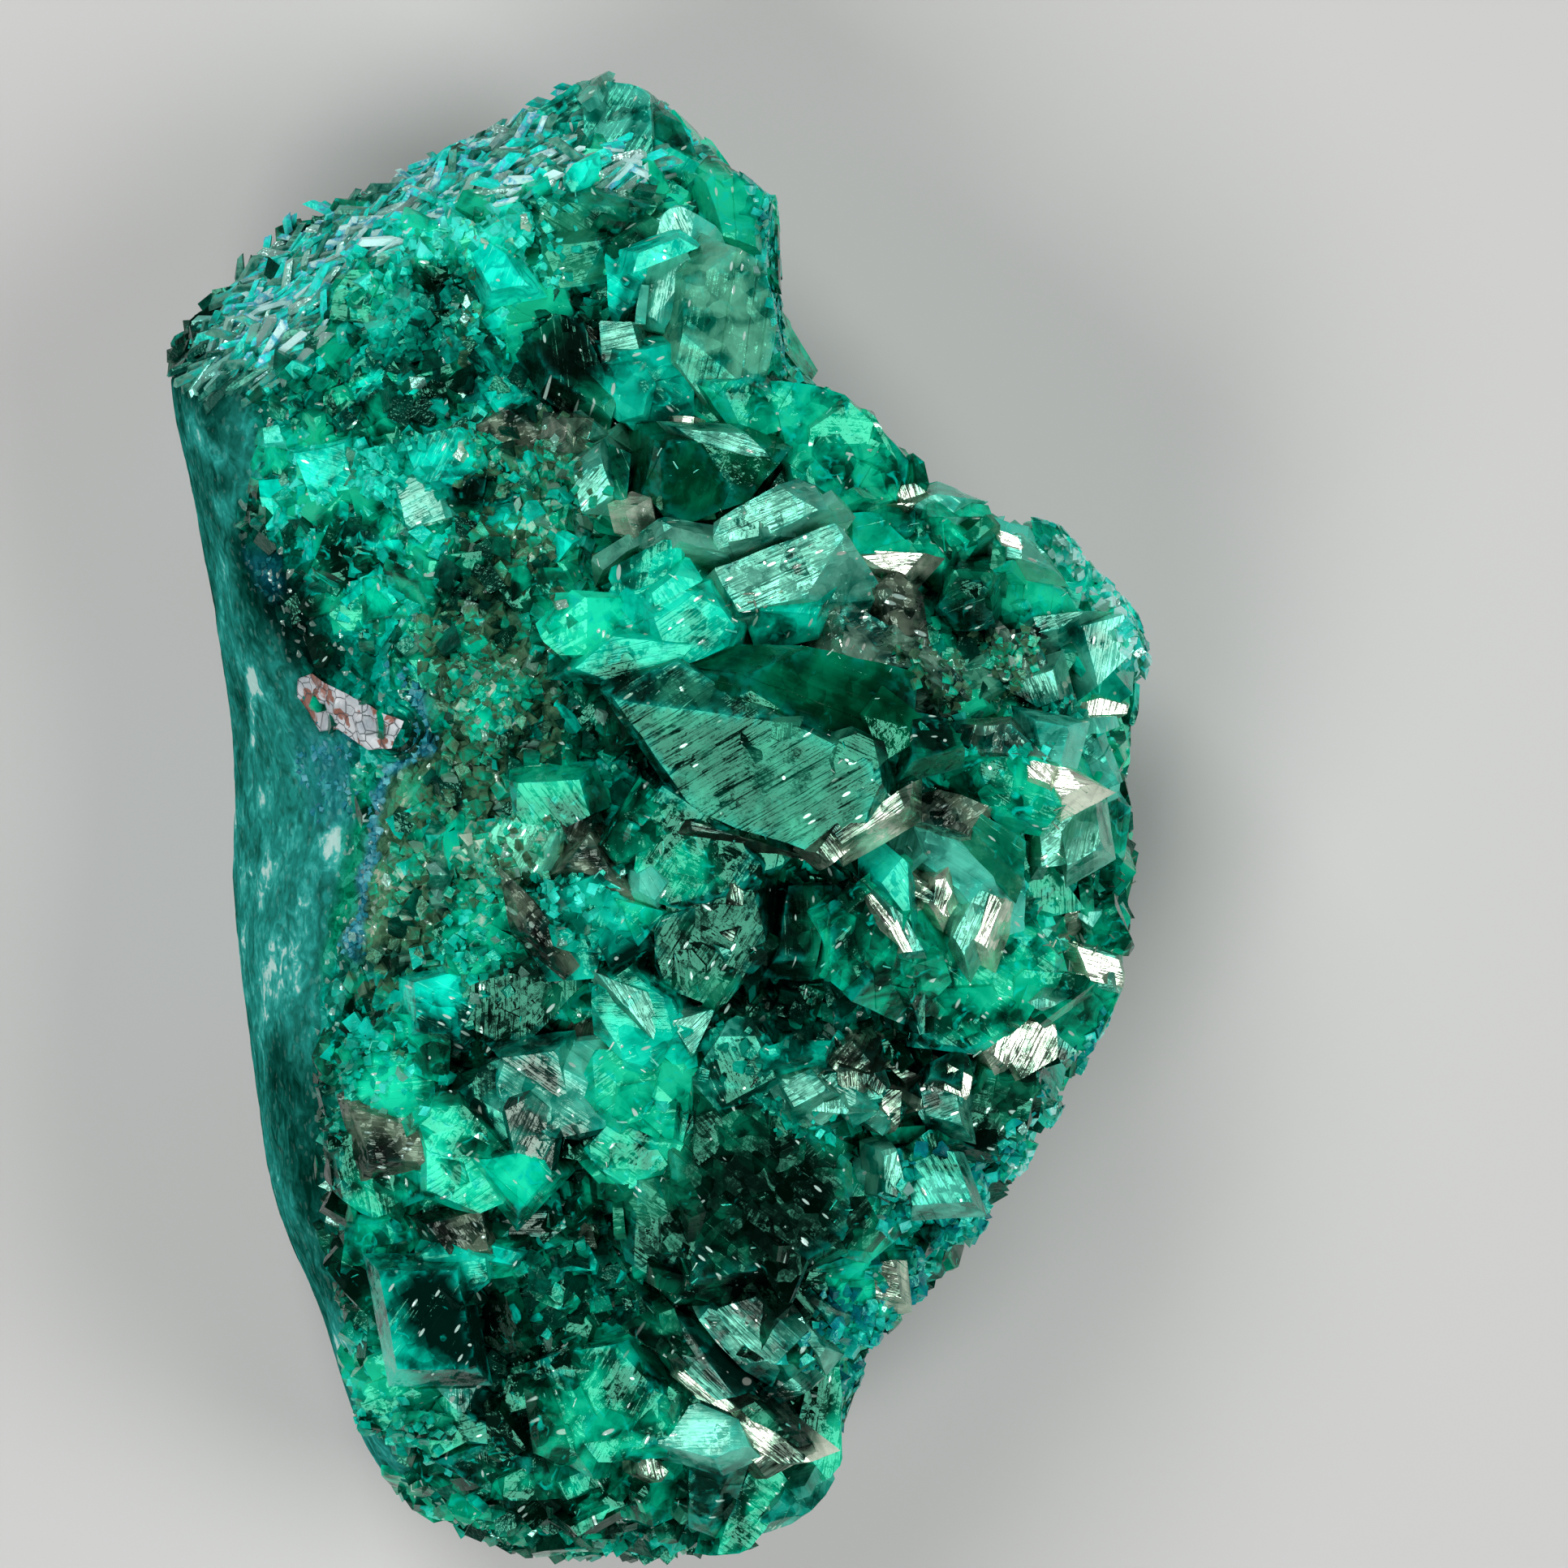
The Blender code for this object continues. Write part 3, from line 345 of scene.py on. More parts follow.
             ((532, 1806), (604, 1782), (659, 1806), (675, 1850), (596, 1836))),
    BroadRow("striated_west", Look.GREEN, 12, 160, 0.6,
             ((572, 1098), (651, 1090), (659, 1121), (643, 1177), (580, 1177)), 80),
    BroadRow("dark_slope", Look.DARK, 15, 260, 0.3,
             ((576, 1177), (695, 1137), (707, 1216), (635, 1290), (580, 1256))),
    BroadRow("green_ledge", Look.OLIVE, 14, 120, 0.7,
             ((588, 1058), (620, 1015), (687, 1015), (727, 1038), (687, 1070), (616, 1086))),
    BroadRow("green_tongue", Look.BRIGHT, 16, 200, 0.8,
             ((556, 832), (615, 848), (635, 891), (595, 919), (560, 875))),
    BroadRow("green_knob", Look.BRIGHT, 10, 60, 0.9,
             ((690, 733), (745, 733), (745, 788), (714, 792), (686, 761))),
    BroadRow("turquoise_knob", Look.TURQUOISE, 15, 150, 0.7,
             ((433, 554), (488, 554), (508, 586), (480, 614), (441, 586))),
    BroadRow("turquoise_ledge", Look.TURQUOISE, 15, 60, 0.7,
             ((504, 542), (575, 527), (595, 566), (548, 598), (520, 582))),
    BroadRow("vertical_grey", Look.SILVER, 19, 235, 0.7,
             ((706, 578), (734, 560), (754, 606), (746, 633), (718, 629))),
)

POINTED_CRYSTALS = (
    PointRow("point_apex", Look.TURQUOISE, 700, 150, 1.2, 35, 100, 10, 1.5, 6.0),
    PointRow("point_north_east", Look.GREEN, 955, 262, 0.2, 60, 25, 35, 1.3, 5.5),
    PointRow("point_east_strip", Look.GREEN, 962, 415, -0.2, 62, 5, 20, 1.5, 6.0),
    PointRow("point_fan_a", Look.GREEN, 1082, 545, 1.0, 45, 45, 5, 1.8, 6.0),
    PointRow("point_fan_b", Look.GREEN, 1128, 604, 0.6, 55, 40, 30, 1.0, 4.5),
    PointRow("point_lobe_top", Look.BRIGHT, 1160, 622, 1.0, 40, 80, 15, 1.1, 5.0),
    PointRow("point_lobe_a", Look.TURQUOISE, 1345, 690, 0.2, 55, 50, 0, 1.4, 6.0),
    PointRow("point_lobe_b", Look.TURQUOISE, 1408, 790, -0.4, 62, 10, 25, 1.4, 6.0),
    PointRow("point_lobe_c", Look.TEAL, 1395, 855, -0.2, 60, 335, 40, 1.1, 5.0),
    PointRow("point_east_a", Look.GREEN, 1380, 950, -0.6, 58, 5, 10, 1.3, 6.0),
    PointRow("point_east_b", Look.GREEN, 1400, 1075, -0.8, 60, 355, 35, 1.5, 6.0),
    PointRow("point_east_c", Look.BRIGHT, 1392, 1150, -0.8, 62, 350, 5, 1.3, 6.0),
    PointRow("point_east_d", Look.GREEN, 1362, 1265, -0.8, 60, 335, 20, 1.5, 6.0),
    PointRow("point_east_e", Look.TEAL, 1300, 1360, -0.6, 58, 325, 45, 1.5, 6.0),
    PointRow("point_east_f", Look.GREEN, 1262, 1440, -0.8, 60, 325, 15, 1.2, 5.5),
    PointRow("point_east_g", Look.TEAL, 1205, 1515, -0.6, 58, 320, 30, 1.2, 5.5),
    PointRow("point_south_a", Look.GREEN, 1130, 1600, -0.8, 58, 318, 5, 1.2, 5.5),
    PointRow("point_south_b", Look.BRIGHT, 1050, 1665, -0.4, 55, 325, 25, 1.2, 5.0),
    PointRow("point_cluster_a", Look.MIRROR, 1040, 1330, 1.3, 25, 240, 12, 0.75, 4.5),
    PointRow("point_cluster_b", Look.SILVER, 1078, 1322, 1.4, 28, 60, 40, 0.65, 4.5),
    PointRow("point_cluster_c", Look.SILVER, 1100, 1375, 1.5, 20, 350, 5, 0.6, 4.5),
    PointRow("point_cluster_d", Look.DARK, 1165, 1312, 1.0, 22, 120, 30, 0.7, 4.5),
    PointRow("point_cluster_e", Look.GREEN, 1100, 1445, 1.1, 30, 200, 20, 0.8, 4.5),
    PointRow("point_cluster_f", Look.BRIGHT, 1150, 1440, 0.9, 25, 20, 50, 0.85, 4.5),
    PointRow("point_cluster_g", Look.SILVER, 985, 1340, 1.2, 25, 150, 15, 0.75, 4.5),
    PointRow("point_centre", Look.GREEN, 1006, 1135, 0.8, 25, 180, 20, 1.0, 5.0),
    PointRow("point_mirror_a", Look.MIRROR, 1136, 1094, 1.5, 18, 20, 10, 0.6, 4.5),
    PointRow("point_mirror_b", Look.MIRROR, 1162, 1100, 1.6, 18, 60, 35, 0.6, 4.5),
    PointRow("point_mirror_c", Look.SILVER, 1196, 1130, 1.6, 20, 350, 0, 0.75, 4.5),
    PointRow("point_glint", Look.MIRROR, 771, 629, 1.3, 15, 150, 22, 0.7, 3.5),
    PointRow("point_lobe_glint", Look.SILVER, 1305, 868, 1.0, 20, 10, 12, 0.6, 3.5),
    PointRow("point_west_a", Look.TURQUOISE, 556, 1235, 0.9, 35, 200, 0, 0.9, 4.5),
    PointRow("point_west_b", Look.GREEN, 628, 1478, 0.9, 30, 260, 25, 0.9, 4.5),
    PointRow("point_west_c", Look.GREEN, 470, 1660, 0.7, 35, 180, 10, 1.0, 5.0),
    PointRow("point_south_c", Look.TEAL, 860, 1762, 1.1, 25, 250, 30, 1.0, 5.0),
    PointRow("point_south_d", Look.GREEN, 805, 1880, 0.8, 50, 270, 15, 1.2, 5.0),
    PointRow("point_south_e", Look.BRIGHT, 715, 1880, 0.8, 50, 265, 40, 1.2, 5.0),
    PointRow("point_north_a", Look.TURQUOISE, 590, 320, 0.9, 25, 240, 15, 0.85, 4.5),
    PointRow("point_north_b", Look.GREEN, 545, 290, 0.9, 35, 130, 35, 0.9, 4.5),
    PointRow("point_pit_rim", Look.MIRROR, 700, 515, 0.9, 28, 80, 5, 0.8, 4.5),
)

class Facing(Enum):
    """Which way a small facet leans: degrees from level and compass degrees."""

    NORTH_WEST = (19.0, 115.0)
    SOUTH_WEST = (19.0, 235.0)
    EAST = (22.0, 350.0)
    UP = (5.0, 60.0)
    AWAY = (26.0, 60.0)


@dataclass(frozen=True)
class FacetRow:
    """A small crystal face that catches the light among the larger crystals."""

    look: Look
    facing: Facing
    outline: Outline
    striae: Optional[float] = None


SMALL_FACETS = (
    FacetRow(Look.SILVER, Facing.NORTH_WEST, ((742, 398), (776, 400), (783, 430), (746, 442)), 10),
    FacetRow(Look.MIRROR, Facing.NORTH_WEST, ((714, 396), (734, 408), (734, 424), (722, 416))),
    FacetRow(Look.SILVER, Facing.SOUTH_WEST,
             ((655, 444), (679, 451), (710, 499), (694, 503), (659, 475)), -45),
    FacetRow(Look.SILVER, Facing.NORTH_WEST,
             ((698, 499), (734, 503), (774, 542), (774, 558), (742, 531), (698, 527)), -35),
    FacetRow(Look.MIRROR, Facing.NORTH_WEST, ((833, 513), (853, 515), (853, 535), (837, 531))),
    FacetRow(Look.SILVER, Facing.EAST,
             ((857, 535), (916, 535), (940, 558), (916, 558), (868, 546)), -15),
    FacetRow(Look.BROWN, Facing.SOUTH_WEST,
             ((592, 527), (627, 511), (671, 538), (659, 558), (607, 550)), 20),
    FacetRow(Look.MIRROR, Facing.NORTH_WEST, ((1102, 602), (1125, 596), (1137, 606), (1114, 614))),
    FacetRow(Look.MIRROR, Facing.EAST, ((1110, 621), (1129, 614), (1125, 625))),
    FacetRow(Look.MIRROR, Facing.NORTH_WEST,
             ((1044, 680), (1127, 683), (1110, 703), (1080, 698)), 5),
    FacetRow(Look.MIRROR, Facing.NORTH_WEST,
             ((1037, 1024), (1111, 974), (1111, 996), (1043, 1035)), 35),
    FacetRow(Look.MIRROR, Facing.SOUTH_WEST, ((982, 1053), (1007, 1048), (1012, 1058), (989, 1060))),
    FacetRow(Look.MIRROR, Facing.EAST, ((1011, 1049), (1032, 1019), (1050, 1039), (1025, 1062))),
    FacetRow(Look.SILVER, Facing.EAST,
             ((1084, 1089), (1096, 1117), (1114, 1131), (1137, 1172), (1107, 1171), (1093, 1139)), -65),
    FacetRow(Look.MIRROR, Facing.NORTH_WEST,
             ((1123, 1078), (1150, 1103), (1146, 1114), (1129, 1103))),
    FacetRow(Look.MIRROR, Facing.EAST,
             ((1155, 1085), (1173, 1076), (1173, 1096), (1162, 1124), (1152, 1114))),
    FacetRow(Look.SILVER, Facing.NORTH_WEST,
             ((1186, 1096), (1214, 1106), (1204, 1139), (1189, 1167), (1175, 1146)), 70),
    FacetRow(Look.MIRROR, Facing.NORTH_WEST,
             ((1296, 945), (1316, 949), (1338, 962), (1308, 978), (1294, 958)), -10),
    FacetRow(Look.SILVER, Facing.NORTH_WEST,
             ((1257, 764), (1329, 755), (1304, 773), (1279, 778)), 20),
    FacetRow(Look.MIRROR, Facing.EAST,
             ((1325, 872), (1357, 862), (1389, 871), (1386, 878), (1343, 880))),
    FacetRow(Look.MIRROR, Facing.SOUTH_WEST,
             ((1300, 1149), (1318, 1123), (1325, 1128), (1325, 1146), (1311, 1160))),
    FacetRow(Look.PALE, Facing.EAST, ((1325, 1126), (1357, 1124), (1346, 1142))),
    FacetRow(Look.SILVER, Facing.SOUTH_WEST,
             ((1265, 1237), (1283, 1230), (1301, 1236), (1285, 1245))),
    FacetRow(Look.SILVER, Facing.EAST, ((1288, 1264), (1325, 1296), (1307, 1306))),
    FacetRow(Look.MIRROR, Facing.EAST, ((1121, 1349), (1146, 1360), (1132, 1367))),
    FacetRow(Look.MIRROR, Facing.EAST,
             ((1089, 1346), (1109, 1349), (1107, 1389), (1104, 1385), (1089, 1374))),
    FacetRow(Look.MIRROR, Facing.SOUTH_WEST, ((1107, 1385), (1114, 1399), (1093, 1412), (1087, 1399))),
    FacetRow(Look.PALE, Facing.NORTH_WEST,
             ((1021, 1314), (1054, 1331), (1061, 1349), (1043, 1360), (1018, 1335)), -30),
    FacetRow(Look.MIRROR, Facing.EAST, ((1061, 1310), (1089, 1339), (1082, 1346), (1061, 1324))),
    FacetRow(Look.MIRROR, Facing.NORTH_WEST, ((1082, 1303), (1129, 1324), (1114, 1330))),
    FacetRow(Look.SILVER, Facing.NORTH_WEST,
             ((964, 1335), (996, 1321), (1014, 1342), (979, 1360)), 30),
    FacetRow(Look.SILVER, Facing.SOUTH_WEST, ((982, 1367), (1032, 1356), (1043, 1371))),
    FacetRow(Look.SILVER, Facing.EAST, ((1091, 1424), (1104, 1421), (1116, 1474), (1093, 1467)), 80),
    FacetRow(Look.PALE, Facing.SOUTH_WEST, ((1057, 1449), (1082, 1442), (1082, 1467), (1064, 1474))),
    FacetRow(Look.GREY_GREEN, Facing.NORTH_WEST,
             ((1118, 1421), (1171, 1424), (1189, 1474), (1129, 1478)), -60),
    FacetRow(Look.MIRROR, Facing.NORTH_WEST,
             ((790, 1014), (806, 1000), (893, 1026), (845, 1022)), -15),
    FacetRow(Look.PALE, Facing.UP, ((790, 1078), (806, 1068), (822, 1082), (806, 1104), (790, 1096))),
    FacetRow(Look.MIRROR, Facing.EAST, ((903, 1090), (915, 1096), (914, 1114), (902, 1112))),
    FacetRow(Look.MIRROR, Facing.SOUTH_WEST, ((888, 1150), (906, 1146), (902, 1160))),
    FacetRow(Look.SILVER, Facing.EAST, ((886, 1168), (904, 1172), (896, 1184))),
    FacetRow(Look.SILVER, Facing.EAST, ((833, 1260), (877, 1248), (853, 1295)), 40),
    FacetRow(Look.SILVER, Facing.EAST,
             ((762, 1216), (798, 1228), (814, 1279), (802, 1275), (774, 1240)), -60),
    FacetRow(Look.BROWN, Facing.EAST, ((707, 1279), (719, 1240), (734, 1252), (727, 1283)), 70),
    FacetRow(Look.PALE, Facing.SOUTH_WEST, ((624, 1307), (683, 1299), (695, 1354)), -35),
    FacetRow(Look.SILVER, Facing.SOUTH_WEST,
             ((596, 1498), (651, 1490), (695, 1506), (675, 1521), (620, 1521)), 5),
    FacetRow(Look.MIRROR, Facing.EAST, ((706, 1502), (726, 1510), (734, 1537), (711, 1525))),
    FacetRow(Look.PALE, Facing.SOUTH_WEST, ((544, 1715), (584, 1711), (568, 1743))),
    FacetRow(Look.MIRROR, Facing.NORTH_WEST, ((1078, 1561), (1102, 1557), (1106, 1593), (1082, 1593))),
    FacetRow(Look.MIRROR, Facing.SOUTH_WEST,
             ((833, 1676), (853, 1688), (901, 1731), (893, 1735), (857, 1719), (833, 1699)), -40),
    FacetRow(Look.SILVER, Facing.NORTH_WEST, ((980, 1632), (990, 1628), (1013, 1656), (1006, 1664))),
    FacetRow(Look.SILVER, Facing.NORTH_WEST, ((988, 1593), (996, 1588), (1025, 1612), (1018, 1620))),
    FacetRow(Look.SILVER, Facing.SOUTH_WEST, ((944, 1711), (972, 1699), (988, 1715), (956, 1731))),
    FacetRow(Look.PALE, Facing.NORTH_WEST,
             ((821, 1751), (861, 1735), (901, 1751), (910, 1774), (877, 1790), (821, 1776)), 0),
    FacetRow(Look.MIRROR, Facing.EAST, ((792, 1786), (821, 1814), (814, 1824), (794, 1814))),
    FacetRow(Look.SILVER, Facing.SOUTH_WEST,
             ((1243, 846), (1293, 831), (1300, 860), (1279, 867)), -70),
    FacetRow(Look.PALE, Facing.UP, ((1136, 619), (1157, 610), (1182, 615), (1171, 631))),
    FacetRow(Look.MINT, Facing.UP, ((801, 170), (868, 208), (848, 222), (806, 200))),
    FacetRow(Look.TURQUOISE, Facing.UP,
             ((583, 289), (620, 315), (640, 345), (607, 352), (590, 320)), 70),
    FacetRow(Look.GREEN, Facing.UP,
             ((640, 350), (690, 360), (700, 390), (660, 420), (630, 400))),
    FacetRow(Look.MINT, Facing.UP, ((945, 748), (1016, 732), (1000, 760), (953, 772))),
    FacetRow(Look.MINT, Facing.SOUTH_WEST,
             ((704, 835), (760, 790), (840, 800), (819, 823), (759, 839)), 15),
    FacetRow(Look.GREEN, Facing.UP, ((965, 1078), (1007, 1058), (1038, 1081), (1000, 1098))),
    FacetRow(Look.TEAL, Facing.EAST,
             ((1089, 1042), (1121, 1070), (1146, 1114), (1129, 1139), (1090, 1085)), -55),
    FacetRow(Look.GREY_GREEN, Facing.UP, ((1279, 892), (1314, 899), (1304, 935), (1286, 931))),
    FacetRow(Look.GREEN, Facing.EAST,
             ((1257, 1078), (1289, 1064), (1329, 1117), (1293, 1124), (1264, 1117))),
    FacetRow(Look.SPECKLED, Facing.UP, ((1193, 899), (1243, 896), (1279, 928), (1214, 924))),
    FacetRow(Look.OLIVE, Facing.UP,
             ((1175, 824), (1214, 810), (1229, 846), (1196, 864), (1182, 849))),
    FacetRow(Look.GREEN, Facing.UP, ((766, 1113), (814, 1125), (786, 1161))),
    FacetRow(Look.BRIGHT, Facing.UP, ((600, 1434), (659, 1422), (675, 1449), (640, 1485))),
    FacetRow(Look.TURQUOISE, Facing.UP,
             ((517, 1216), (564, 1204), (580, 1236), (560, 1268), (521, 1264))),
    FacetRow(Look.GREEN, Facing.SOUTH_WEST,
             ((635, 971), (707, 967), (718, 1003), (667, 1027), (639, 1003))),
    FacetRow(Look.BRIGHT, Facing.UP, ((548, 1030), (568, 1007), (588, 1030), (556, 1062))),
    FacetRow(Look.TURQUOISE, Facing.UP, ((592, 1533), (639, 1545), (631, 1557), (608, 1553))),
    FacetRow(Look.GREEN, Facing.EAST,
             ((924, 1798), (956, 1822), (970, 1842), (915, 1910), (880, 1903), (908, 1850))),
    FacetRow(Look.GREEN, Facing.EAST,
             ((1002, 1695), (1031, 1690), (1038, 1790), (1019, 1812), (985, 1768)), 80),
    FacetRow(Look.TURQUOISE, Facing.SOUTH_WEST, ((370, 566), (421, 558), (433, 614), (401, 653))),
    FacetRow(Look.PALE, Facing.SOUTH_WEST, ((492, 594), (536, 594), (548, 633), (504, 645))),
    FacetRow(Look.BRIGHT, Facing.UP, ((453, 717), (492, 712), (494, 752), (458, 757))),
    FacetRow(Look.DARK, Facing.AWAY,
             ((661, 420), (690, 396), (714, 400), (750, 487), (746, 499), (683, 459))),
    FacetRow(Look.DARK, Facing.AWAY, ((746, 550), (774, 562), (770, 614), (754, 602))),
    FacetRow(Look.DARK, Facing.AWAY, ((1193, 996), (1257, 1035), (1254, 1074), (1193, 1014)), -40),
    FacetRow(Look.DARK, Facing.AWAY, ((975, 1099), (1021, 1092), (1004, 1174), (964, 1171))),
    FacetRow(Look.DARK, Facing.AWAY, ((1129, 881), (1164, 889), (1182, 917), (1129, 931))),
    FacetRow(Look.DARK, Facing.AWAY, ((1307, 764), (1336, 767), (1329, 803), (1311, 824))),
    FacetRow(Look.DARK, Facing.AWAY, ((1150, 1310), (1186, 1292), (1182, 1335), (1150, 1324))),
    FacetRow(Look.DARK, Facing.AWAY, ((1130, 1514), (1173, 1506), (1146, 1529))),
    FacetRow(Look.DARK, Facing.AWAY, ((552, 598), (595, 586), (591, 614), (560, 610))),
    FacetRow(Look.BROWN, Facing.UP, ((703, 1070), (727, 1034), (758, 1086), (734, 1078))),
    FacetRow(Look.BROWN, Facing.UP, ((691, 1010), (719, 1007), (727, 1030), (703, 1034))),
    FacetRow(Look.BROWN, Facing.EAST,
             ((651, 1105), (663, 1117), (707, 1184), (695, 1196), (659, 1153)), -55),
    FacetRow(Look.BROWN, Facing.UP, ((533, 1510), (588, 1498), (596, 1537), (556, 1541))),
    FacetRow(Look.BROWN, Facing.UP, ((446, 1374), (509, 1394), (517, 1426), (461, 1426))),
    FacetRow(Look.TEAL, Facing.UP, ((477, 1577), (556, 1577), (576, 1676), (497, 1676))),
    FacetRow(Look.MIRROR, Facing.EAST, ((1240, 1290), (1262, 1262), (1296, 1268), (1300, 1300),
                                        (1262, 1322)), 60),
    FacetRow(Look.SILVER, Facing.NORTH_WEST, ((1310, 1010), (1346, 990), (1352, 1040),
                                              (1318, 1060)), 80),
    FacetRow(Look.MIRROR, Facing.EAST, ((1330, 1170), (1380, 1186), (1390, 1214), (1346, 1206))),
    FacetRow(Look.SILVER, Facing.EAST, ((1292, 1086), (1316, 1078), (1322, 1118), (1300, 1126)), 70),
    FacetRow(Look.MIRROR, Facing.NORTH_WEST, ((1204, 1100), (1232, 1112), (1214, 1160),
                                              (1190, 1146)), 70),
    FacetRow(Look.SILVER, Facing.NORTH_WEST, ((1216, 652), (1262, 664), (1282, 690),
                                              (1240, 684)), -20),
    FacetRow(Look.MIRROR, Facing.NORTH_WEST, ((1228, 654), (1252, 662), (1258, 676),
                                              (1234, 670)), -20),
    FacetRow(Look.PALE, Facing.EAST, ((1340, 776), (1382, 764), (1392, 800), (1356, 836)), 80),
    FacetRow(Look.MIRROR, Facing.EAST, ((1352, 800), (1374, 792), (1378, 816), (1358, 822)), 80),
    FacetRow(Look.MIRROR, Facing.EAST, ((1172, 1316), (1198, 1330), (1190, 1352), (1166, 1340))),
    FacetRow(Look.SILVER, Facing.NORTH_WEST, ((1138, 1340), (1176, 1352), (1180, 1380),
                                              (1144, 1372)), 20),
    FacetRow(Look.MIRROR, Facing.SOUTH_WEST, ((1036, 1318), (1068, 1326), (1060, 1344),
                                              (1034, 1336))),
    FacetRow(Look.SILVER, Facing.EAST, ((1010, 1330), (1040, 1322), (1052, 1352), (1018, 1360)), 40),
    FacetRow(Look.MIRROR, Facing.SOUTH_WEST, ((905, 1740), (950, 1764), (990, 1796), (962, 1802),
                                              (920, 1776)), -40),
    FacetRow(Look.SILVER, Facing.SOUTH_WEST, ((890, 1618), (930, 1606), (972, 1650), (950, 1676),
                                              (912, 1650)), -45),
    FacetRow(Look.SILVER, Facing.SOUTH_WEST, ((842, 1660), (868, 1676), (900, 1716), (880, 1720),
                                              (850, 1692)), -45),
    FacetRow(Look.MIRROR, Facing.NORTH_WEST, ((1268, 938), (1296, 944), (1290, 962),
                                              (1270, 956))),
    FacetRow(Look.MIRROR, Facing.EAST, ((1088, 1112), (1104, 1128), (1128, 1166), (1112, 1168),
                                        (1096, 1142)), -60),
    FacetRow(Look.SILVER, Facing.EAST, ((1092, 1312), (1118, 1318), (1112, 1342), (1094, 1336))),
)


class Zone(Enum):
    """What a patch of the matrix between the crystals is made of; a DEEP patch is painted shade in a recess or
    shadowed place.
    """

    OLIVE = "olive"
    TURQUOISE = "turquoise"
    # Painted shade: near-black patches in recesses and in the shadow of overhangs.
    DEEP = "deep"
    BLUE = "blue"
    RIND = "rind"
    FOLIATED = "foliated"
    PALE = "pale"
    BRIGHT = "bright"
    SMOOTH = "smooth"


@dataclass(frozen=True)
class ZoneRow:
    """A patch of one zone: its outline, how soft its edge is, and its strength."""

    zone: Zone
    outline: Outline
    feather: float = 14.0
    strength: float = 1.0


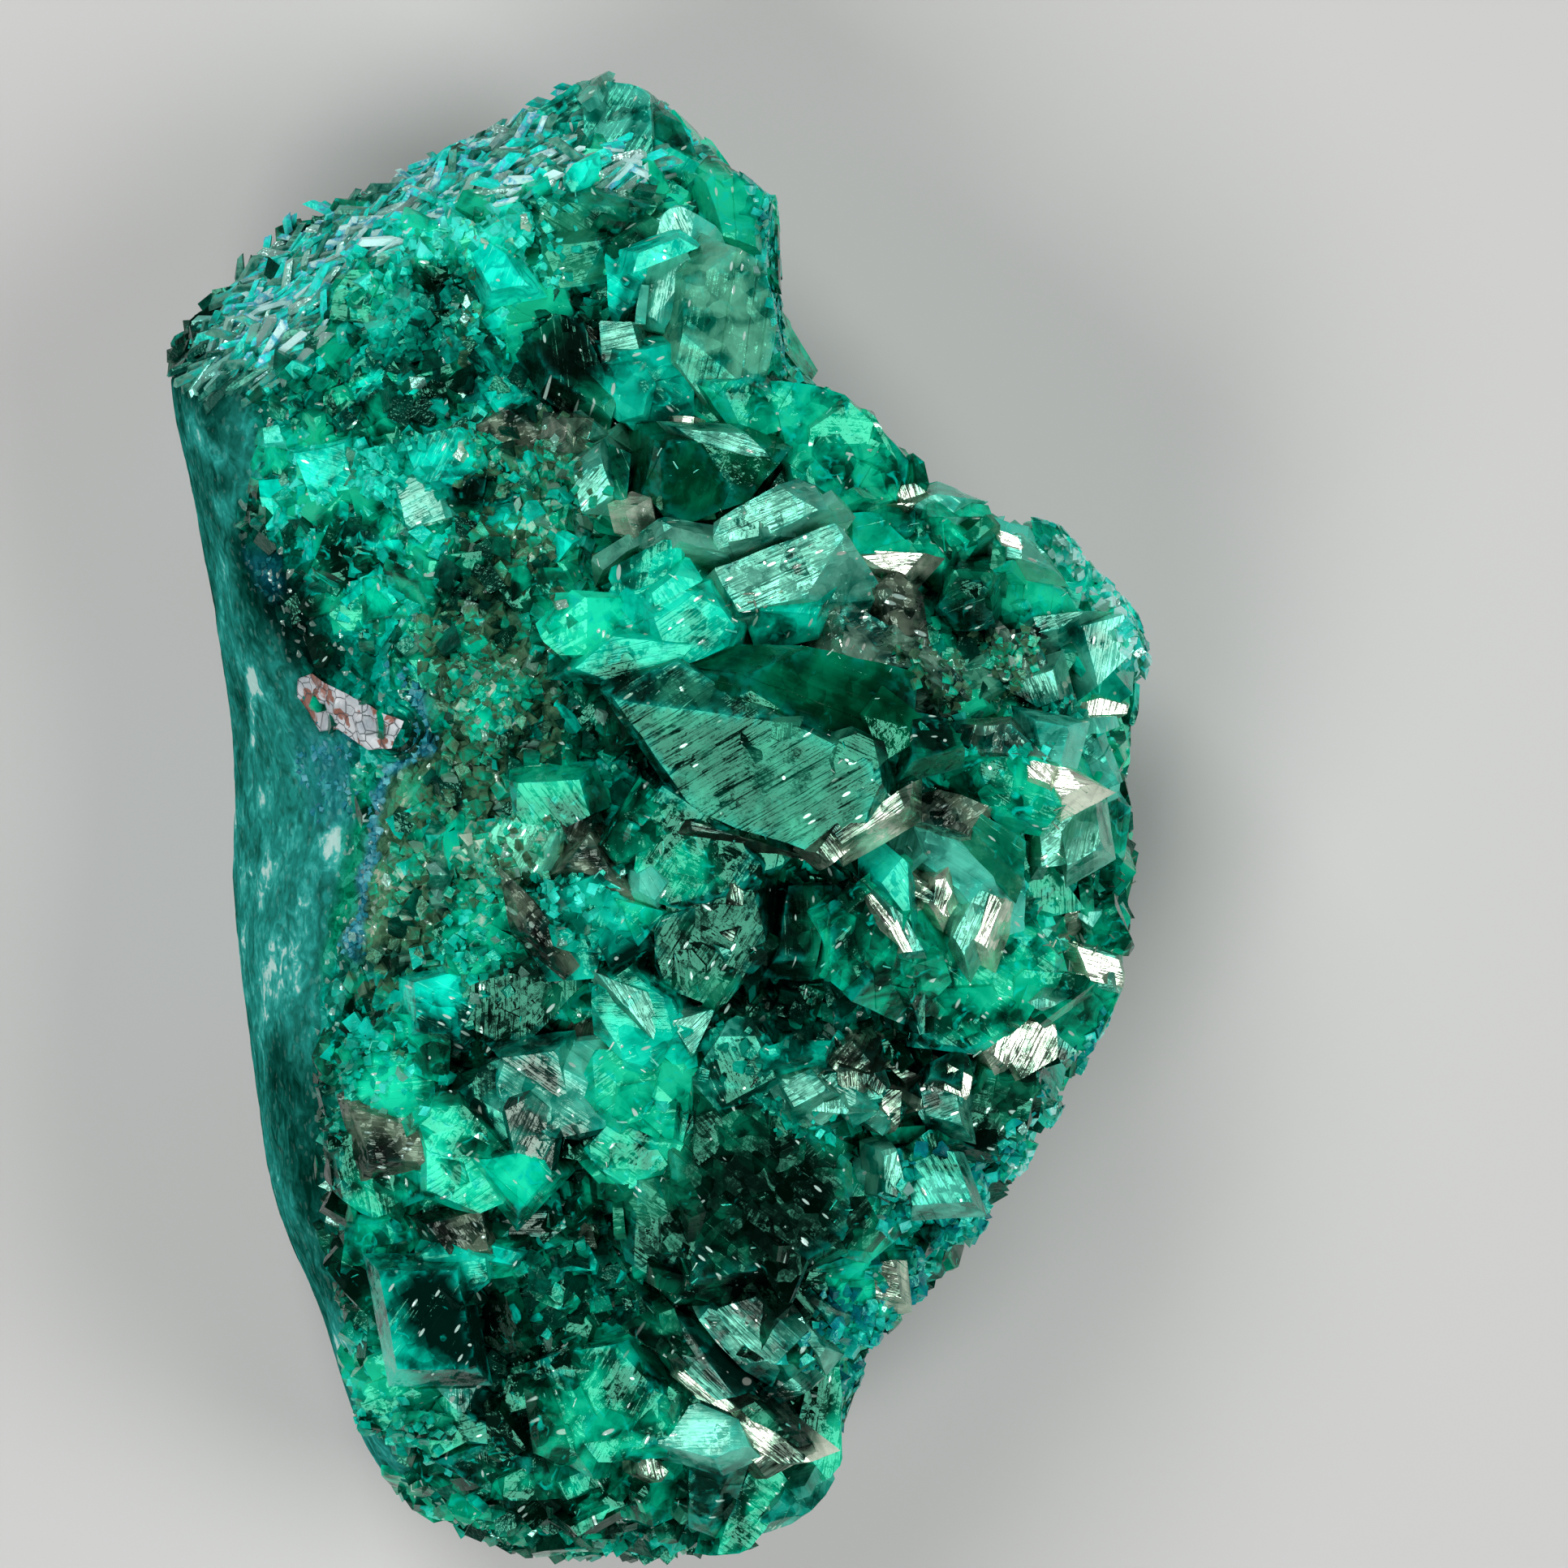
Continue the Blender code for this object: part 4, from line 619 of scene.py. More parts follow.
ZONES = (
    ZoneRow(Zone.RIND, ((170, 460), (300, 440), (320, 560), (300, 640), (330, 730), (370, 830),
                        (420, 905), (430, 960), (425, 1060), (400, 1190), (388, 1310), (398, 1430),
                        (412, 1530), (428, 1640), (462, 1730), (520, 1800), (480, 1860),
                        (380, 1860), (200, 1300), (200, 700)), 10.0),
    ZoneRow(Zone.FOLIATED, ((240, 445), (270, 330), (362, 245), (575, 165), (740, 80), (760, 120),
                            (700, 190), (615, 238), (536, 281), (457, 317), (401, 376), (378, 436),
                            (326, 480), (268, 470)), 10.0),
    ZoneRow(Zone.FOLIATED, ((615, 238), (700, 180), (745, 84), (810, 100), (850, 160), (876, 205),
                            (800, 225), (742, 250), (640, 262)), 14.0, 0.8),
    ZoneRow(Zone.OLIVE, ((564, 305), (611, 337), (603, 487), (560, 479)), 20.0, 0.8),
    ZoneRow(Zone.OLIVE, ((560, 560), (700, 550), (710, 680), (640, 730), (560, 690)), 18.0),
    ZoneRow(Zone.OLIVE, ((500, 740), (620, 730), (690, 840), (700, 960), (620, 1090), (560, 1180),
                         (500, 1256), (426, 1240), (440, 1100), (480, 960), (540, 900)), 18.0),
    ZoneRow(Zone.OLIVE, ((1160, 790), (1240, 780), (1280, 850), (1200, 880)), 14.0, 0.8),
    ZoneRow(Zone.TURQUOISE, ((520, 250), (700, 200), (760, 240), (680, 320), (620, 420),
                             (560, 460), (500, 520), (430, 500), (430, 400), (470, 310)), 22.0, 0.7),
    ZoneRow(Zone.TURQUOISE, ((350, 540), (500, 540), (560, 620), (540, 760), (470, 800),
                             (400, 740), (360, 640)), 20.0, 0.9),
    ZoneRow(Zone.TURQUOISE, ((640, 424), (685, 430), (600, 540), (520, 560), (500, 520)), 12.0),
    ZoneRow(Zone.TURQUOISE, ((1280, 650), (1380, 700), (1430, 820), (1390, 900), (1330, 860),
                             (1360, 770)), 20.0, 0.9),
    ZoneRow(Zone.TURQUOISE, ((430, 1190), (590, 1180), (640, 1290), (540, 1400), (420, 1400)),
            20.0, 0.8),
    ZoneRow(Zone.TURQUOISE, ((880, 1270), (970, 1330), (1040, 1450), (1010, 1450), (930, 1340)),
            8.0),
    ZoneRow(Zone.TURQUOISE, ((630, 1180), (700, 1190), (900, 1250), (880, 1290), (690, 1230)),
            14.0, 0.8),
    ZoneRow(Zone.TURQUOISE, ((430, 1640), (560, 1690), (600, 1800), (500, 1800), (440, 1740)),
            20.0, 0.6),
    ZoneRow(Zone.TURQUOISE, ((1090, 1440), (1230, 1400), (1290, 1380), (1240, 1500), (1120, 1620),
                             (1040, 1690), (1060, 1560)), 16.0, 0.7),
    ZoneRow(Zone.TURQUOISE, ((880, 180), (960, 240), (980, 460), (950, 470), (940, 300)), 12.0, 0.7),
    ZoneRow(Zone.TURQUOISE, ((1180, 880), (1260, 900), (1290, 1010), (1210, 1010)), 20.0, 0.6),
    ZoneRow(Zone.BRIGHT, ((500, 960), (550, 960), (545, 1035), (505, 1030)), 8.0),
    ZoneRow(Zone.BRIGHT, ((560, 590), (690, 560), (700, 650), (610, 640)), 20.0, 0.6),
    ZoneRow(Zone.BRIGHT, ((670, 720), (760, 720), (760, 800), (690, 800)), 16.0, 0.8),
    # DEEP patches: painted shade in recesses and in the shadow of overhangs.
    ZoneRow(Zone.DEEP, ((650, 400), (760, 390), (770, 520), (690, 500)), 10.0),
    ZoneRow(Zone.DEEP, ((490, 430), (600, 430), (620, 520), (540, 560), (480, 520)), 20.0, 0.7),
    ZoneRow(Zone.DEEP, ((755, 875), (800, 870), (880, 920), (975, 1054), (936, 1090), (870, 1000),
                        (790, 940)), 8.0),
    ZoneRow(Zone.DEEP, ((529, 1268), (620, 1244), (635, 1280), (556, 1339)), 8.0),
    ZoneRow(Zone.DEEP, ((588, 1676), (635, 1695), (655, 1774), (627, 1774)), 8.0),
    ZoneRow(Zone.DEEP, ((438, 1490), (517, 1478), (535, 1560), (501, 1570)), 8.0),
    ZoneRow(Zone.DEEP, ((560, 697), (631, 697), (627, 729), (595, 753), (555, 753)), 10.0),
    ZoneRow(Zone.DEEP, ((540, 980), (568, 985), (560, 1177), (538, 1177)), 7.0),
    ZoneRow(Zone.DEEP, ((940, 1060), (1020, 1090), (1010, 1250), (1100, 1300), (1200, 1290),
                        (1180, 1340), (980, 1290), (920, 1180)), 12.0, 0.9),
    ZoneRow(Zone.DEEP, ((640, 1400), (760, 1440), (860, 1560), (900, 1640), (760, 1680),
                        (600, 1600), (590, 1500)), 20.0, 0.6),
    ZoneRow(Zone.DEEP, ((180, 479), (259, 350), (280, 353), (262, 475)), 8.0, 0.8),
    ZoneRow(Zone.DEEP, ((310, 690), (378, 713), (417, 836), (362, 830), (320, 753)), 8.0, 0.8),
    ZoneRow(Zone.DEEP, ((670, 250), (800, 250), (790, 300), (680, 360)), 14.0, 0.6),
    ZoneRow(Zone.BLUE, ((476, 820), (514, 815), (524, 871), (532, 925), (478, 960), (470, 1013),
                        (458, 1077), (452, 1137), (438, 1180), (428, 1173), (440, 1135), (446, 1070),
                        (458, 1010), (466, 950), (516, 915), (508, 871)), 3.0),
    ZoneRow(Zone.BLUE, ((246, 425), (262, 405), (280, 450), (262, 470)), 8.0, 0.9),
    ZoneRow(Zone.BLUE, ((370, 905), (437, 903), (430, 1010), (390, 1013)), 18.0, 0.45),
    ZoneRow(Zone.BLUE, ((1010, 1620), (1060, 1640), (1180, 1560), (1190, 1600), (1050, 1690)),
            10.0, 0.6),
    ZoneRow(Zone.BLUE, ((300, 680), (345, 690), (350, 730), (318, 720)), 8.0, 0.6),
    ZoneRow(Zone.BRIGHT, ((434, 943), (457, 943), (453, 999), (438, 1098), (410, 1185), (382, 1244),
                          (372, 1240), (400, 1150), (424, 1050)), 5.0, 0.8),
    ZoneRow(Zone.SMOOTH, ((300, 650), (390, 700), (430, 800), (520, 800), (550, 870), (545, 940),
                          (500, 1010), (490, 1100), (470, 1190), (420, 1290), (360, 1290),
                          (330, 900)), 8.0),
    ZoneRow(Zone.PALE, ((470, 590), (545, 590), (555, 640), (490, 650)), 14.0, 0.8),
    ZoneRow(Zone.PALE, ((600, 210), (740, 200), (740, 245), (620, 250)), 14.0, 0.5),
    ZoneRow(Zone.PALE, ((480, 740), (560, 735), (560, 800), (500, 810)), 20.0, 0.5),
    ZoneRow(Zone.PALE, ((600, 1000), (700, 1000), (700, 1090), (590, 1080)), 20.0, 0.4),
)


# Light and dark parts of the stone on the sheet, partly its own tone and partly painted light:
# painted shade in hollows and shadowed places, and painted highlights such as the glossy blobs
# on the wall. Each is a middle, half width, half height, turn of the width in degrees, and how
# much lighter (above 0) or darker (below 0) the crystals are there.
PAINTED_LIGHT_AND_TONE: tuple[tuple[float, float, float, float, float, float], ...] = (
    (235, 440, 60, 70, 0, -1.0), (275, 600, 30, 130, -8, -0.5), (262, 560, 26, 14, 60, 1.0),
    (285, 640, 12, 26, 0, 1.2), (310, 872, 20, 24, 0, 1.0), (410, 1050, 12, 34, 10, 1.2),
    (322, 1232, 26, 62, 0, 0.6), (375, 1400, 60, 90, 0, -0.8), (395, 1530, 40, 80, 0, -0.6),
    (372, 1170, 14, 110, 8, 0.5), (330, 1000, 60, 40, 20, 0.25), (290, 1080, 12, 60, 0, 0.5),
    (615, 1420, 70, 70, 0, -0.45), (685, 1340, 40, 40, 0, -0.35), (645, 970, 50, 60, 0, -0.35),
    (560, 1660, 50, 50, 0, -0.3), (740, 1830, 70, 40, 0, -0.35), (925, 1605, 60, 30, 10, -0.35),
    (460, 610, 60, 50, 0, -0.2), (790, 1210, 40, 60, 0, -0.25), (1230, 680, 60, 34, 0, 0.7),
    (1080, 800, 90, 30, 0, 0.45), (1330, 915, 60, 40, 0, 0.4), (1225, 1045, 50, 34, 0, 0.5),
    (1340, 1140, 40, 40, 0, 0.5), (1225, 1290, 34, 34, 0, 0.4), (755, 505, 50, 40, 0, 0.4),
    (670, 640, 60, 80, 0, 0.3), (1040, 620, 70, 50, 20, 0.4), (490, 1090, 50, 60, 0, 0.4),
    (600, 1130, 60, 30, 0, 0.35), (1010, 1130, 80, 50, 0, 0.25), (1045, 1410, 50, 40, 0, 0.3),
    (350, 580, 34, 60, 0, 0.5), (540, 800, 40, 34, 0, 0.3), (1050, 1790, 50, 40, 0, 0.4),
    (930, 965, 130, 80, 30, -0.32), (560, 1400, 110, 60, 20, -0.25), (990, 840, 90, 34, 10, 0.2), (660, 1290, 60, 50, 0, -0.2), (560, 1500, 60, 60, 0, 0.2),
    (730, 330, 170, 120, 0, 0.14), (575, 970, 120, 230, 0, 0.14), (985, 860, 110, 40, 10, 0.16),
    (1290, 760, 120, 110, 0, 0.35), (1250, 1010, 110, 60, 0, 0.25), (1200, 1200, 80, 60, 0, 0.25),
    (1260, 690, 90, 50, 20, 0.35), (1385, 880, 36, 60, 0, 0.5), (1320, 1000, 60, 60, 0, 0.3),
    (870, 650, 110, 34, -15, 0.6), (1010, 690, 110, 50, -15, 0.35), (885, 340, 60, 120, 0, 0.45),
    (700, 250, 150, 60, 0, 0.35), (860, 260, 60, 40, 0, 0.3), (450, 330, 150, 40, -28, 0.35),
    (1230, 1120, 80, 70, 30, 0.35), (1330, 1180, 60, 50, 0, 0.3), (640, 620, 50, 50, 0, 0.2),
    (705, 440, 35, 60, 20, -1.1), (530, 365, 48, 36, 0, -0.8), (500, 440, 50, 34, 10, -0.7),
    (565, 452, 40, 36, 0, -0.7), (330, 720, 34, 62, -20, -0.9), (383, 790, 30, 66, -35, -0.9),
    (598, 602, 40, 26, 0, -0.8), (590, 662, 34, 30, 0, -0.6), (600, 722, 42, 30, 0, -0.6),
    (432, 684, 14, 34, 0, -0.7), (545, 740, 40, 20, 0, -0.5), (765, 856, 52, 20, 15, -1.0),
    (800, 925, 84, 17, 62, -1.1), (880, 1040, 66, 20, 35, -0.9), (942, 1130, 44, 54, 0, -0.9),
    (962, 1225, 46, 44, 0, -0.8), (1192, 742, 36, 40, 0, -0.8), (1302, 770, 22, 36, 0, -0.6),
    (1290, 850, 60, 18, 0, -0.5), (562, 1272, 50, 50, 0, -1.2), (650, 1228, 62, 46, 20, -0.8),
    (842, 1150, 62, 40, -30, -0.8), (482, 1182, 52, 22, 0, -0.7), (420, 1332, 24, 34, 0, -0.6),
    (535, 1545, 26, 66, 0, -0.9), (622, 1648, 66, 44, 20, -0.9), (560, 1625, 44, 30, 0, -0.6),
    (602, 1735, 56, 30, 60, -0.9), (690, 1875, 80, 24, 20, -0.9), (640, 1800, 40, 40, 0, -0.6),
    (692, 1422, 30, 40, 0, -0.7), (940, 1455, 92, 100, 0, -0.8), (1012, 1505, 40, 76, 0, -0.9),
    (960, 1590, 84, 28, 10, -1.0), (925, 1705, 20, 92, -48, -1.0), (1005, 1745, 26, 40, 0, -0.7),
    (1098, 1288, 74, 22, 5, -0.8), (1042, 1120, 26, 90, 0, -0.5), (880, 1850, 60, 50, 0, -0.6),
    (1152, 1330, 40, 24, 0, -0.6), (1150, 1420, 46, 20, 30, -0.5), (560, 820, 30, 50, 0, -0.5),
    (640, 900, 50, 24, 0, -0.6), (560, 960, 24, 50, 0, -0.6), (660, 1130, 40, 30, 0, -0.4),
    (1150, 790, 70, 14, 10, -0.5), (820, 640, 40, 20, 0, -0.4), (640, 480, 20, 40, 0, -0.5),
    (430, 500, 60, 22, 10, -0.5), (710, 1000, 30, 40, 0, -0.3), (1150, 1000, 30, 24, 0, -0.7),
    (900, 1320, 40, 40, 0, -0.6), (640, 1500, 60, 30, 20, -0.6), (1020, 860, 150, 50, 10, -0.3),
    (300, 395, 66, 34, -30, 0.5), (560, 288, 62, 36, 0, 0.7), (640, 340, 44, 60, 0, 0.8),
    (740, 188, 70, 26, 0, 0.5), (862, 204, 34, 12, 20, 0.9), (478, 398, 36, 50, 0, 0.5),
    (400, 560, 62, 36, 0, 0.6), (560, 560, 52, 24, 0, 0.8), (452, 602, 70, 30, 20, 0.6),
    (378, 645, 36, 44, 0, 0.4), (520, 652, 48, 38, 0, 0.5), (470, 730, 50, 44, 0, 0.6),
    (762, 622, 20, 18, 0, 1.1), (720, 772, 34, 40, 0, 0.8), (832, 762, 90, 56, -10, 0.6),
    (602, 858, 40, 48, 0, 0.6), (930, 518, 52, 40, 0, 0.4), (1040, 530, 76, 44, 40, 0.4),
    (1332, 690, 26, 52, -30, 0.9), (1385, 760, 24, 62, -20, 0.9), (1345, 835, 30, 30, 0, 0.6),
    (1205, 900, 44, 26, 0, 0.7), (1235, 962, 66, 26, 0, 0.5), (660, 962, 62, 28, 0, 0.7),
    (630, 1022, 52, 26, 0, 0.5), (560, 1032, 28, 34, 0, 0.6), (850, 1002, 52, 40, 30, 0.7),
    (832, 1082, 50, 40, 0, 0.4), (702, 1110, 62, 36, 0, 0.6), (790, 1132, 26, 30, 0, 0.9),
    (702, 1212, 22, 44, 0, 0.9), (800, 1250, 48, 60, 0, 0.6), (762, 1322, 62, 50, 0, 0.6),
    (832, 1342, 48, 40, 0, 0.4), (792, 1422, 60, 46, 0, 0.6), (542, 1222, 42, 36, 0, 0.9),
    (502, 1302, 36, 40, 0, 0.6), (480, 1345, 62, 28, 10, 0.9), (430, 1382, 30, 28, 0, 0.8),
    (522, 1402, 20, 34, 0, 0.9), (602, 1452, 84, 30, 10, 0.8), (652, 1432, 18, 20, 0, 1.0),
    (566, 1555, 52, 26, 0, 0.6), (462, 1682, 42, 32, 0, 0.9), (620, 1812, 90, 14, 15, 0.5),
    (1110, 1472, 60, 50, 0, 0.1), (1052, 1562, 44, 50, 0, 0.4), (1010, 1392, 30, 28, 0, 0.7),
    (1052, 1440, 18, 52, -30, 0.6), (1172, 1472, 62, 28, 0, 0.1), (1292, 1400, 66, 16, -50, 0.6),
    (1372, 1282, 60, 14, -55, 0.5), (1100, 1045, 26, 40, 0, 0.9), (1150, 1150, 50, 66, 0, 0.3),
    (1028, 1765, 18, 60, 0, 0.5), (880, 1775, 50, 30, 10, 0.8), (700, 1240, 20, 20, 0, 0.5),
    (470, 960, 30, 60, 0, 0.3), (820, 700, 40, 24, 0, 0.4), (980, 1020, 20, 14, 0, 0.5),
)


@dataclass(frozen=True)
class Sheet:
    """The drawing sheet, and how a place on it becomes a point of the stone."""

    unit: float = 0.050 / 1931
    side: float = 1932.0
    eye_height: float = 0.160
    datum: float = 0.016
    eye_x: float = 0.0043
    eye_y: float = 0.0015
    crest_reach: float = 450.0
    drop_right: float = 0.0050
    drop_left: float = 0.0026
    wave_from: float = 0.014
    wave_fade: float = 0.006
    wave_length: float = 0.0017
    wave_reach: float = 55.0
    outline_give: float = 0.3

    def place(self, x: float, y: float, height: float) -> Vector:
        """Return the point at a height that is drawn at this place.

        Args:
            x: sheet units to the right.
            y: sheet units down.
            height: metres above the foot.

        Returns:
            The point in the stone's frame.
        """
        unit = self.unit * (self.eye_height + self.datum - height) / self.eye_height
        middle = self.side / 2
        return Vector((self.eye_x + (x - middle) * unit, self.eye_y + (middle - y) * unit, height))

    def spots(self, points: np.ndarray) -> np.ndarray:
        """Return where points are drawn on the sheet.

        Args:
            points: an (n, 3) array of points of the stone.

        Returns:
            An (n, 2) array of sheet places.
        """
        unit = self.unit * (self.eye_height + self.datum - points[:, 2]) / self.eye_height
        middle = self.side / 2
        return np.stack(
            (middle + (points[:, 0] - self.eye_x) / unit, middle - (points[:, 1] - self.eye_y) / unit),
            axis=1,
        )

    def glow(self, points: np.ndarray) -> np.ndarray:
        """Return how light or dark the stone is at each point, from the list of light and dark parts,
        which is partly its own tone and partly painted shade and highlights.

        Low on the sides the parts are bent into waves, so they don't run down as stripes.
        """
        spots = self.spots(points)
        deep = np.clip((self.wave_from - points[:, 2]) / self.wave_fade, 0, 1)
        waves = self.wave_length
        spots[:, 0] += deep * self.wave_reach * np.sin(
            points[:, 2] / waves + np.sin(points[:, 1] / waves))
        spots[:, 1] += deep * self.wave_reach * np.sin(
            points[:, 2] / waves * 1.3 + np.sin(points[:, 0] / waves))
        total = np.zeros(len(points))
        for x, y, wide, high, turn, amount in PAINTED_LIGHT_AND_TONE:
            cos, sin = math.cos(math.radians(turn)), math.sin(math.radians(turn))
            right, down = spots[:, 0] - x, spots[:, 1] - y
            across = (right * cos + down * sin) / wide
            along = (down * cos - right * sin) / high
            total += amount * np.exp(-(across * across + along * along) ** 1.5 * 0.7)
        return np.clip(total, -1.3, 1.3)

    def drawn_in(self, points: np.ndarray) -> np.ndarray:
        """Return the points, with those drawn outside the stone's outline brought nearer to it.

        Args:
            points: an (n, 3) array of points of the stone.

        Returns:
            The new points, at the same heights.
        """
        outline = np.array([row[0][:2] for row in STATIONS])
        spots = self.spots(points)
        inside = np.zeros(len(spots), dtype=bool)
        nearest = np.full(len(spots), np.inf)
        foot = spots.copy()
        for start, end in zip(outline, np.roll(outline, -1, axis=0)):
            side = end - start
            crosses = (start[1] > spots[:, 1]) != (end[1] > spots[:, 1])
            with np.errstate(divide="ignore", invalid="ignore"):
                at = start[0] + side[0] * (spots[:, 1] - start[1]) / side[1]
            inside ^= crosses & (spots[:, 0] < at)
            share = np.clip(((spots - start) @ side) / (side @ side), 0, 1)
            near = start + share[:, None] * side
            gap = np.linalg.norm(spots - near, axis=1)
            closer = gap < nearest
            foot[closer] = near[closer]
            nearest[closer] = gap[closer]
        out = ~inside
        spots[out] = foot[out] + (spots[out] - foot[out]) * self.outline_give
        moved = points.copy()
        unit = self.unit * (self.eye_height + self.datum - points[out, 2]) / self.eye_height
        moved[out, 0] = self.eye_x + (spots[out, 0] - self.side / 2) * unit
        moved[out, 1] = self.eye_y + (self.side / 2 - spots[out, 1]) * unit
        return moved

    def crest(self, y: float) -> Point2:
        """Return the sheet x and the height of the crest line at this sheet y."""
        levels = [row[0] for row in CREST]
        across = float(np.interp(y, levels, [row[1] for row in CREST]))
        return across, float(np.interp(y, levels, [row[2] for row in CREST])) * MM

    def surface(self, x: float, y: float) -> float:
        """Return the height of the smooth surface that the crystals stand on."""
        middle, height = self.crest(y)
        reach = (x - middle) / self.crest_reach
        return height - (self.drop_right if reach > 0 else self.drop_left) * reach * reach


SHEET = Sheet()


class Wire:
    """A shader socket that can stand in a Python expression."""

    def __init__(self, shader: "Shader", socket: Any) -> None:
        """Keep the socket and the shader that it belongs to."""
        self.shader = shader
        self.socket = socket

    def _maths(self, operation: str, *values: Any) -> "Wire":
        """Return a Math node's output for this operation on the values."""
        node = self.shader.node(
            "ShaderNodeMath", {"operation": operation}, dict(enumerate(values))
        )
        return Wire(self.shader, node.outputs[0])

    def __add__(self, other: Any) -> "Wire":
        """Return the sum."""
        return self._maths("ADD", self, other)

    def __radd__(self, other: Any) -> "Wire":
        """Return the sum with the number first."""
        return self._maths("ADD", other, self)

    def __sub__(self, other: Any) -> "Wire":
        """Return the difference."""
        return self._maths("SUBTRACT", self, other)

    def __rsub__(self, other: Any) -> "Wire":
        """Return the difference with the number first."""
        return self._maths("SUBTRACT", other, self)

    def __mul__(self, other: Any) -> "Wire":
        """Return the product."""
        return self._maths("MULTIPLY", self, other)

    def __rmul__(self, other: Any) -> "Wire":
        """Return the product with the number first."""
        return self._maths("MULTIPLY", other, self)

    def __truediv__(self, other: Any) -> "Wire":
        """Return the quotient."""
        return self._maths("DIVIDE", self, other)

    def __rtruediv__(self, other: Any) -> "Wire":
        """Return the quotient with the number first."""
        return self._maths("DIVIDE", other, self)

    def __pow__(self, other: Any) -> "Wire":
        """Return the power."""
        return self._maths("POWER", self, other)

    def __rpow__(self, other: Any) -> "Wire":
        """Return the power with the number first."""
        return self._maths("POWER", other, self)

    def step(self, low: float, high: float) -> "Wire":
        """Return 0 below low, 1 above high and a smooth rise between them."""
        node = self.shader.node(
            "ShaderNodeMapRange",
            {"interpolation_type": "SMOOTHSTEP"},
            {"Value": self, "From Min": low, "From Max": high},
        )
        return Wire(self.shader, node.outputs["Result"])

    def clamped(self) -> "Wire":
        """Return the value held between 0 and 1."""
        node = self.shader.node(
            "ShaderNodeMath", {"operation": "ADD", "use_clamp": True}, {0: self, 1: 0.0}
        )
        return Wire(self.shader, node.outputs[0])


Value = Union[Wire, float, Colour, Vector]


class Shader:
    """One material and the nodes that make it."""

    def __init__(self, name: str) -> None:
        """Start an empty material with an output."""
        self.material = bpy.data.materials.new(name)
        self.material.use_nodes = True
        self.tree = self.material.node_tree
        self.tree.nodes.clear()
        self.output = self.tree.nodes.new("ShaderNodeOutputMaterial")
        where = self.node("ShaderNodeTexCoord").outputs["Object"]
        scaled = self.node(
            "ShaderNodeVectorMath", {"operation": "SCALE"},
            {"Vector": Wire(self, where), "Scale": 1 / MM},
        )
        self.place = Wire(self, scaled.outputs["Vector"])

    def node(
        self,
        kind: str,
        settings: Optional[dict[str, Any]] = None,
        inputs: Optional[dict[Union[str, int], Value]] = None,
    ) -> Any:
        """Add one node.

        Args:
            kind: the node's type name.
            settings: properties that are set first; "stops" fills a colour ramp.
            inputs: values or links by socket name or number.

        Returns:
            The node.
        """
        node = self.tree.nodes.new(kind)
        for key, value in (settings or {}).items():
            if key == "stops":
                while len(node.color_ramp.elements) < len(value):
                    node.color_ramp.elements.new(1.0)
                for element, (position, colour) in zip(node.color_ramp.elements, value):
                    element.position = position
                    element.color = (*colour, 1.0)
            else:
                setattr(node, key, value)
        for key, value in (inputs or {}).items():
            socket = node.inputs[key]
            if isinstance(value, Wire):
                self.tree.links.new(value.socket, socket)
            elif socket.type == "RGBA":
                socket.default_value = (*value, 1.0)
            else:
                socket.default_value = value
        return node

    def out(self, node: Any, socket: Union[str, int] = 0) -> Wire:
        """Return one output of a node as a wire."""
        return Wire(self, node.outputs[socket])

    def value(self, name: str) -> Wire:
        """Return the number that the mesh keeps under this name."""
        return self.out(self.node("ShaderNodeAttribute", {"attribute_name": name}), "Fac")

    def vector(self, x: Value, y: Value, z: Value) -> Wire:
        """Return a vector of three numbers."""
        return self.out(self.node("ShaderNodeCombineXYZ", None, {0: x, 1: y, 2: z}))

    def mix(self, share: Value, low: Value, high: Value) -> Wire:
        """Return a colour between two colours."""
        node = self.node(
            "ShaderNodeMix", {"data_type": "RGBA"}, {0: share, 6: low, 7: high}
        )
        return Wire(self, node.outputs[2])

    def tint(self, colour: Value, amount: Value) -> Wire:
        """Return a colour or a place times a number."""
        node = self.node(
            "ShaderNodeVectorMath", {"operation": "SCALE"}, {"Vector": colour, "Scale": amount}
        )
        return Wire(self, node.outputs["Vector"])

    def cloud(
        self, where: Wire, scale: float, detail: float = 3.0, distortion: float = 0.0
    ) -> Wire:
        """Return soft noise between 0 and 1."""
        node = self.node(
            "ShaderNodeTexNoise", None,
            {"Vector": where, "Scale": scale, "Detail": detail, "Distortion": distortion},
        )
        return self.out(node, "Fac")

    def cells(self, where: Wire, scale: float, feature: str = "F1") -> Any:
        """Return a node that fills space with cells."""
        return self.node(
            "ShaderNodeTexVoronoi", {"feature": feature}, {"Vector": where, "Scale": scale}
        )

    def ramp(self, value: Wire, stops: Sequence[tuple[float, Colour]]) -> Wire:
        """Return the colour that a ramp gives a number."""
        return self.out(self.node("ShaderNodeValToRGB", {"stops": stops}, {"Fac": value}), "Color")

    def facets(
        self, where: Wire, scale: float, tilt: float, normal: Optional[Wire] = None
    ) -> Wire:
        """Return a normal that is turned a little, by one amount in each cell.

        Args:
            where: place in millimetres.
            scale: cells per millimetre.
            tilt: how far the normal may turn, as a slope.
            normal: the normal to turn, or none for the surface's own.

        Returns:
            The turned normal.
        """
        turned = self.node(
            "ShaderNodeVectorMath", {"operation": "MULTIPLY_ADD"},
            {0: self.out(self.cells(where, scale), "Color"), 1: (tilt * 2,) * 3, 2: (-tilt,) * 3},
        )
        if normal is None:
            normal = self.out(self.node("ShaderNodeNewGeometry"), "Normal")
        added = self.node(
            "ShaderNodeVectorMath", {"operation": "ADD"}, {0: self.out(turned), 1: normal}
        )
        return self.out(self.node("ShaderNodeVectorMath", {"operation": "NORMALIZE"}, {0: self.out(added)}))

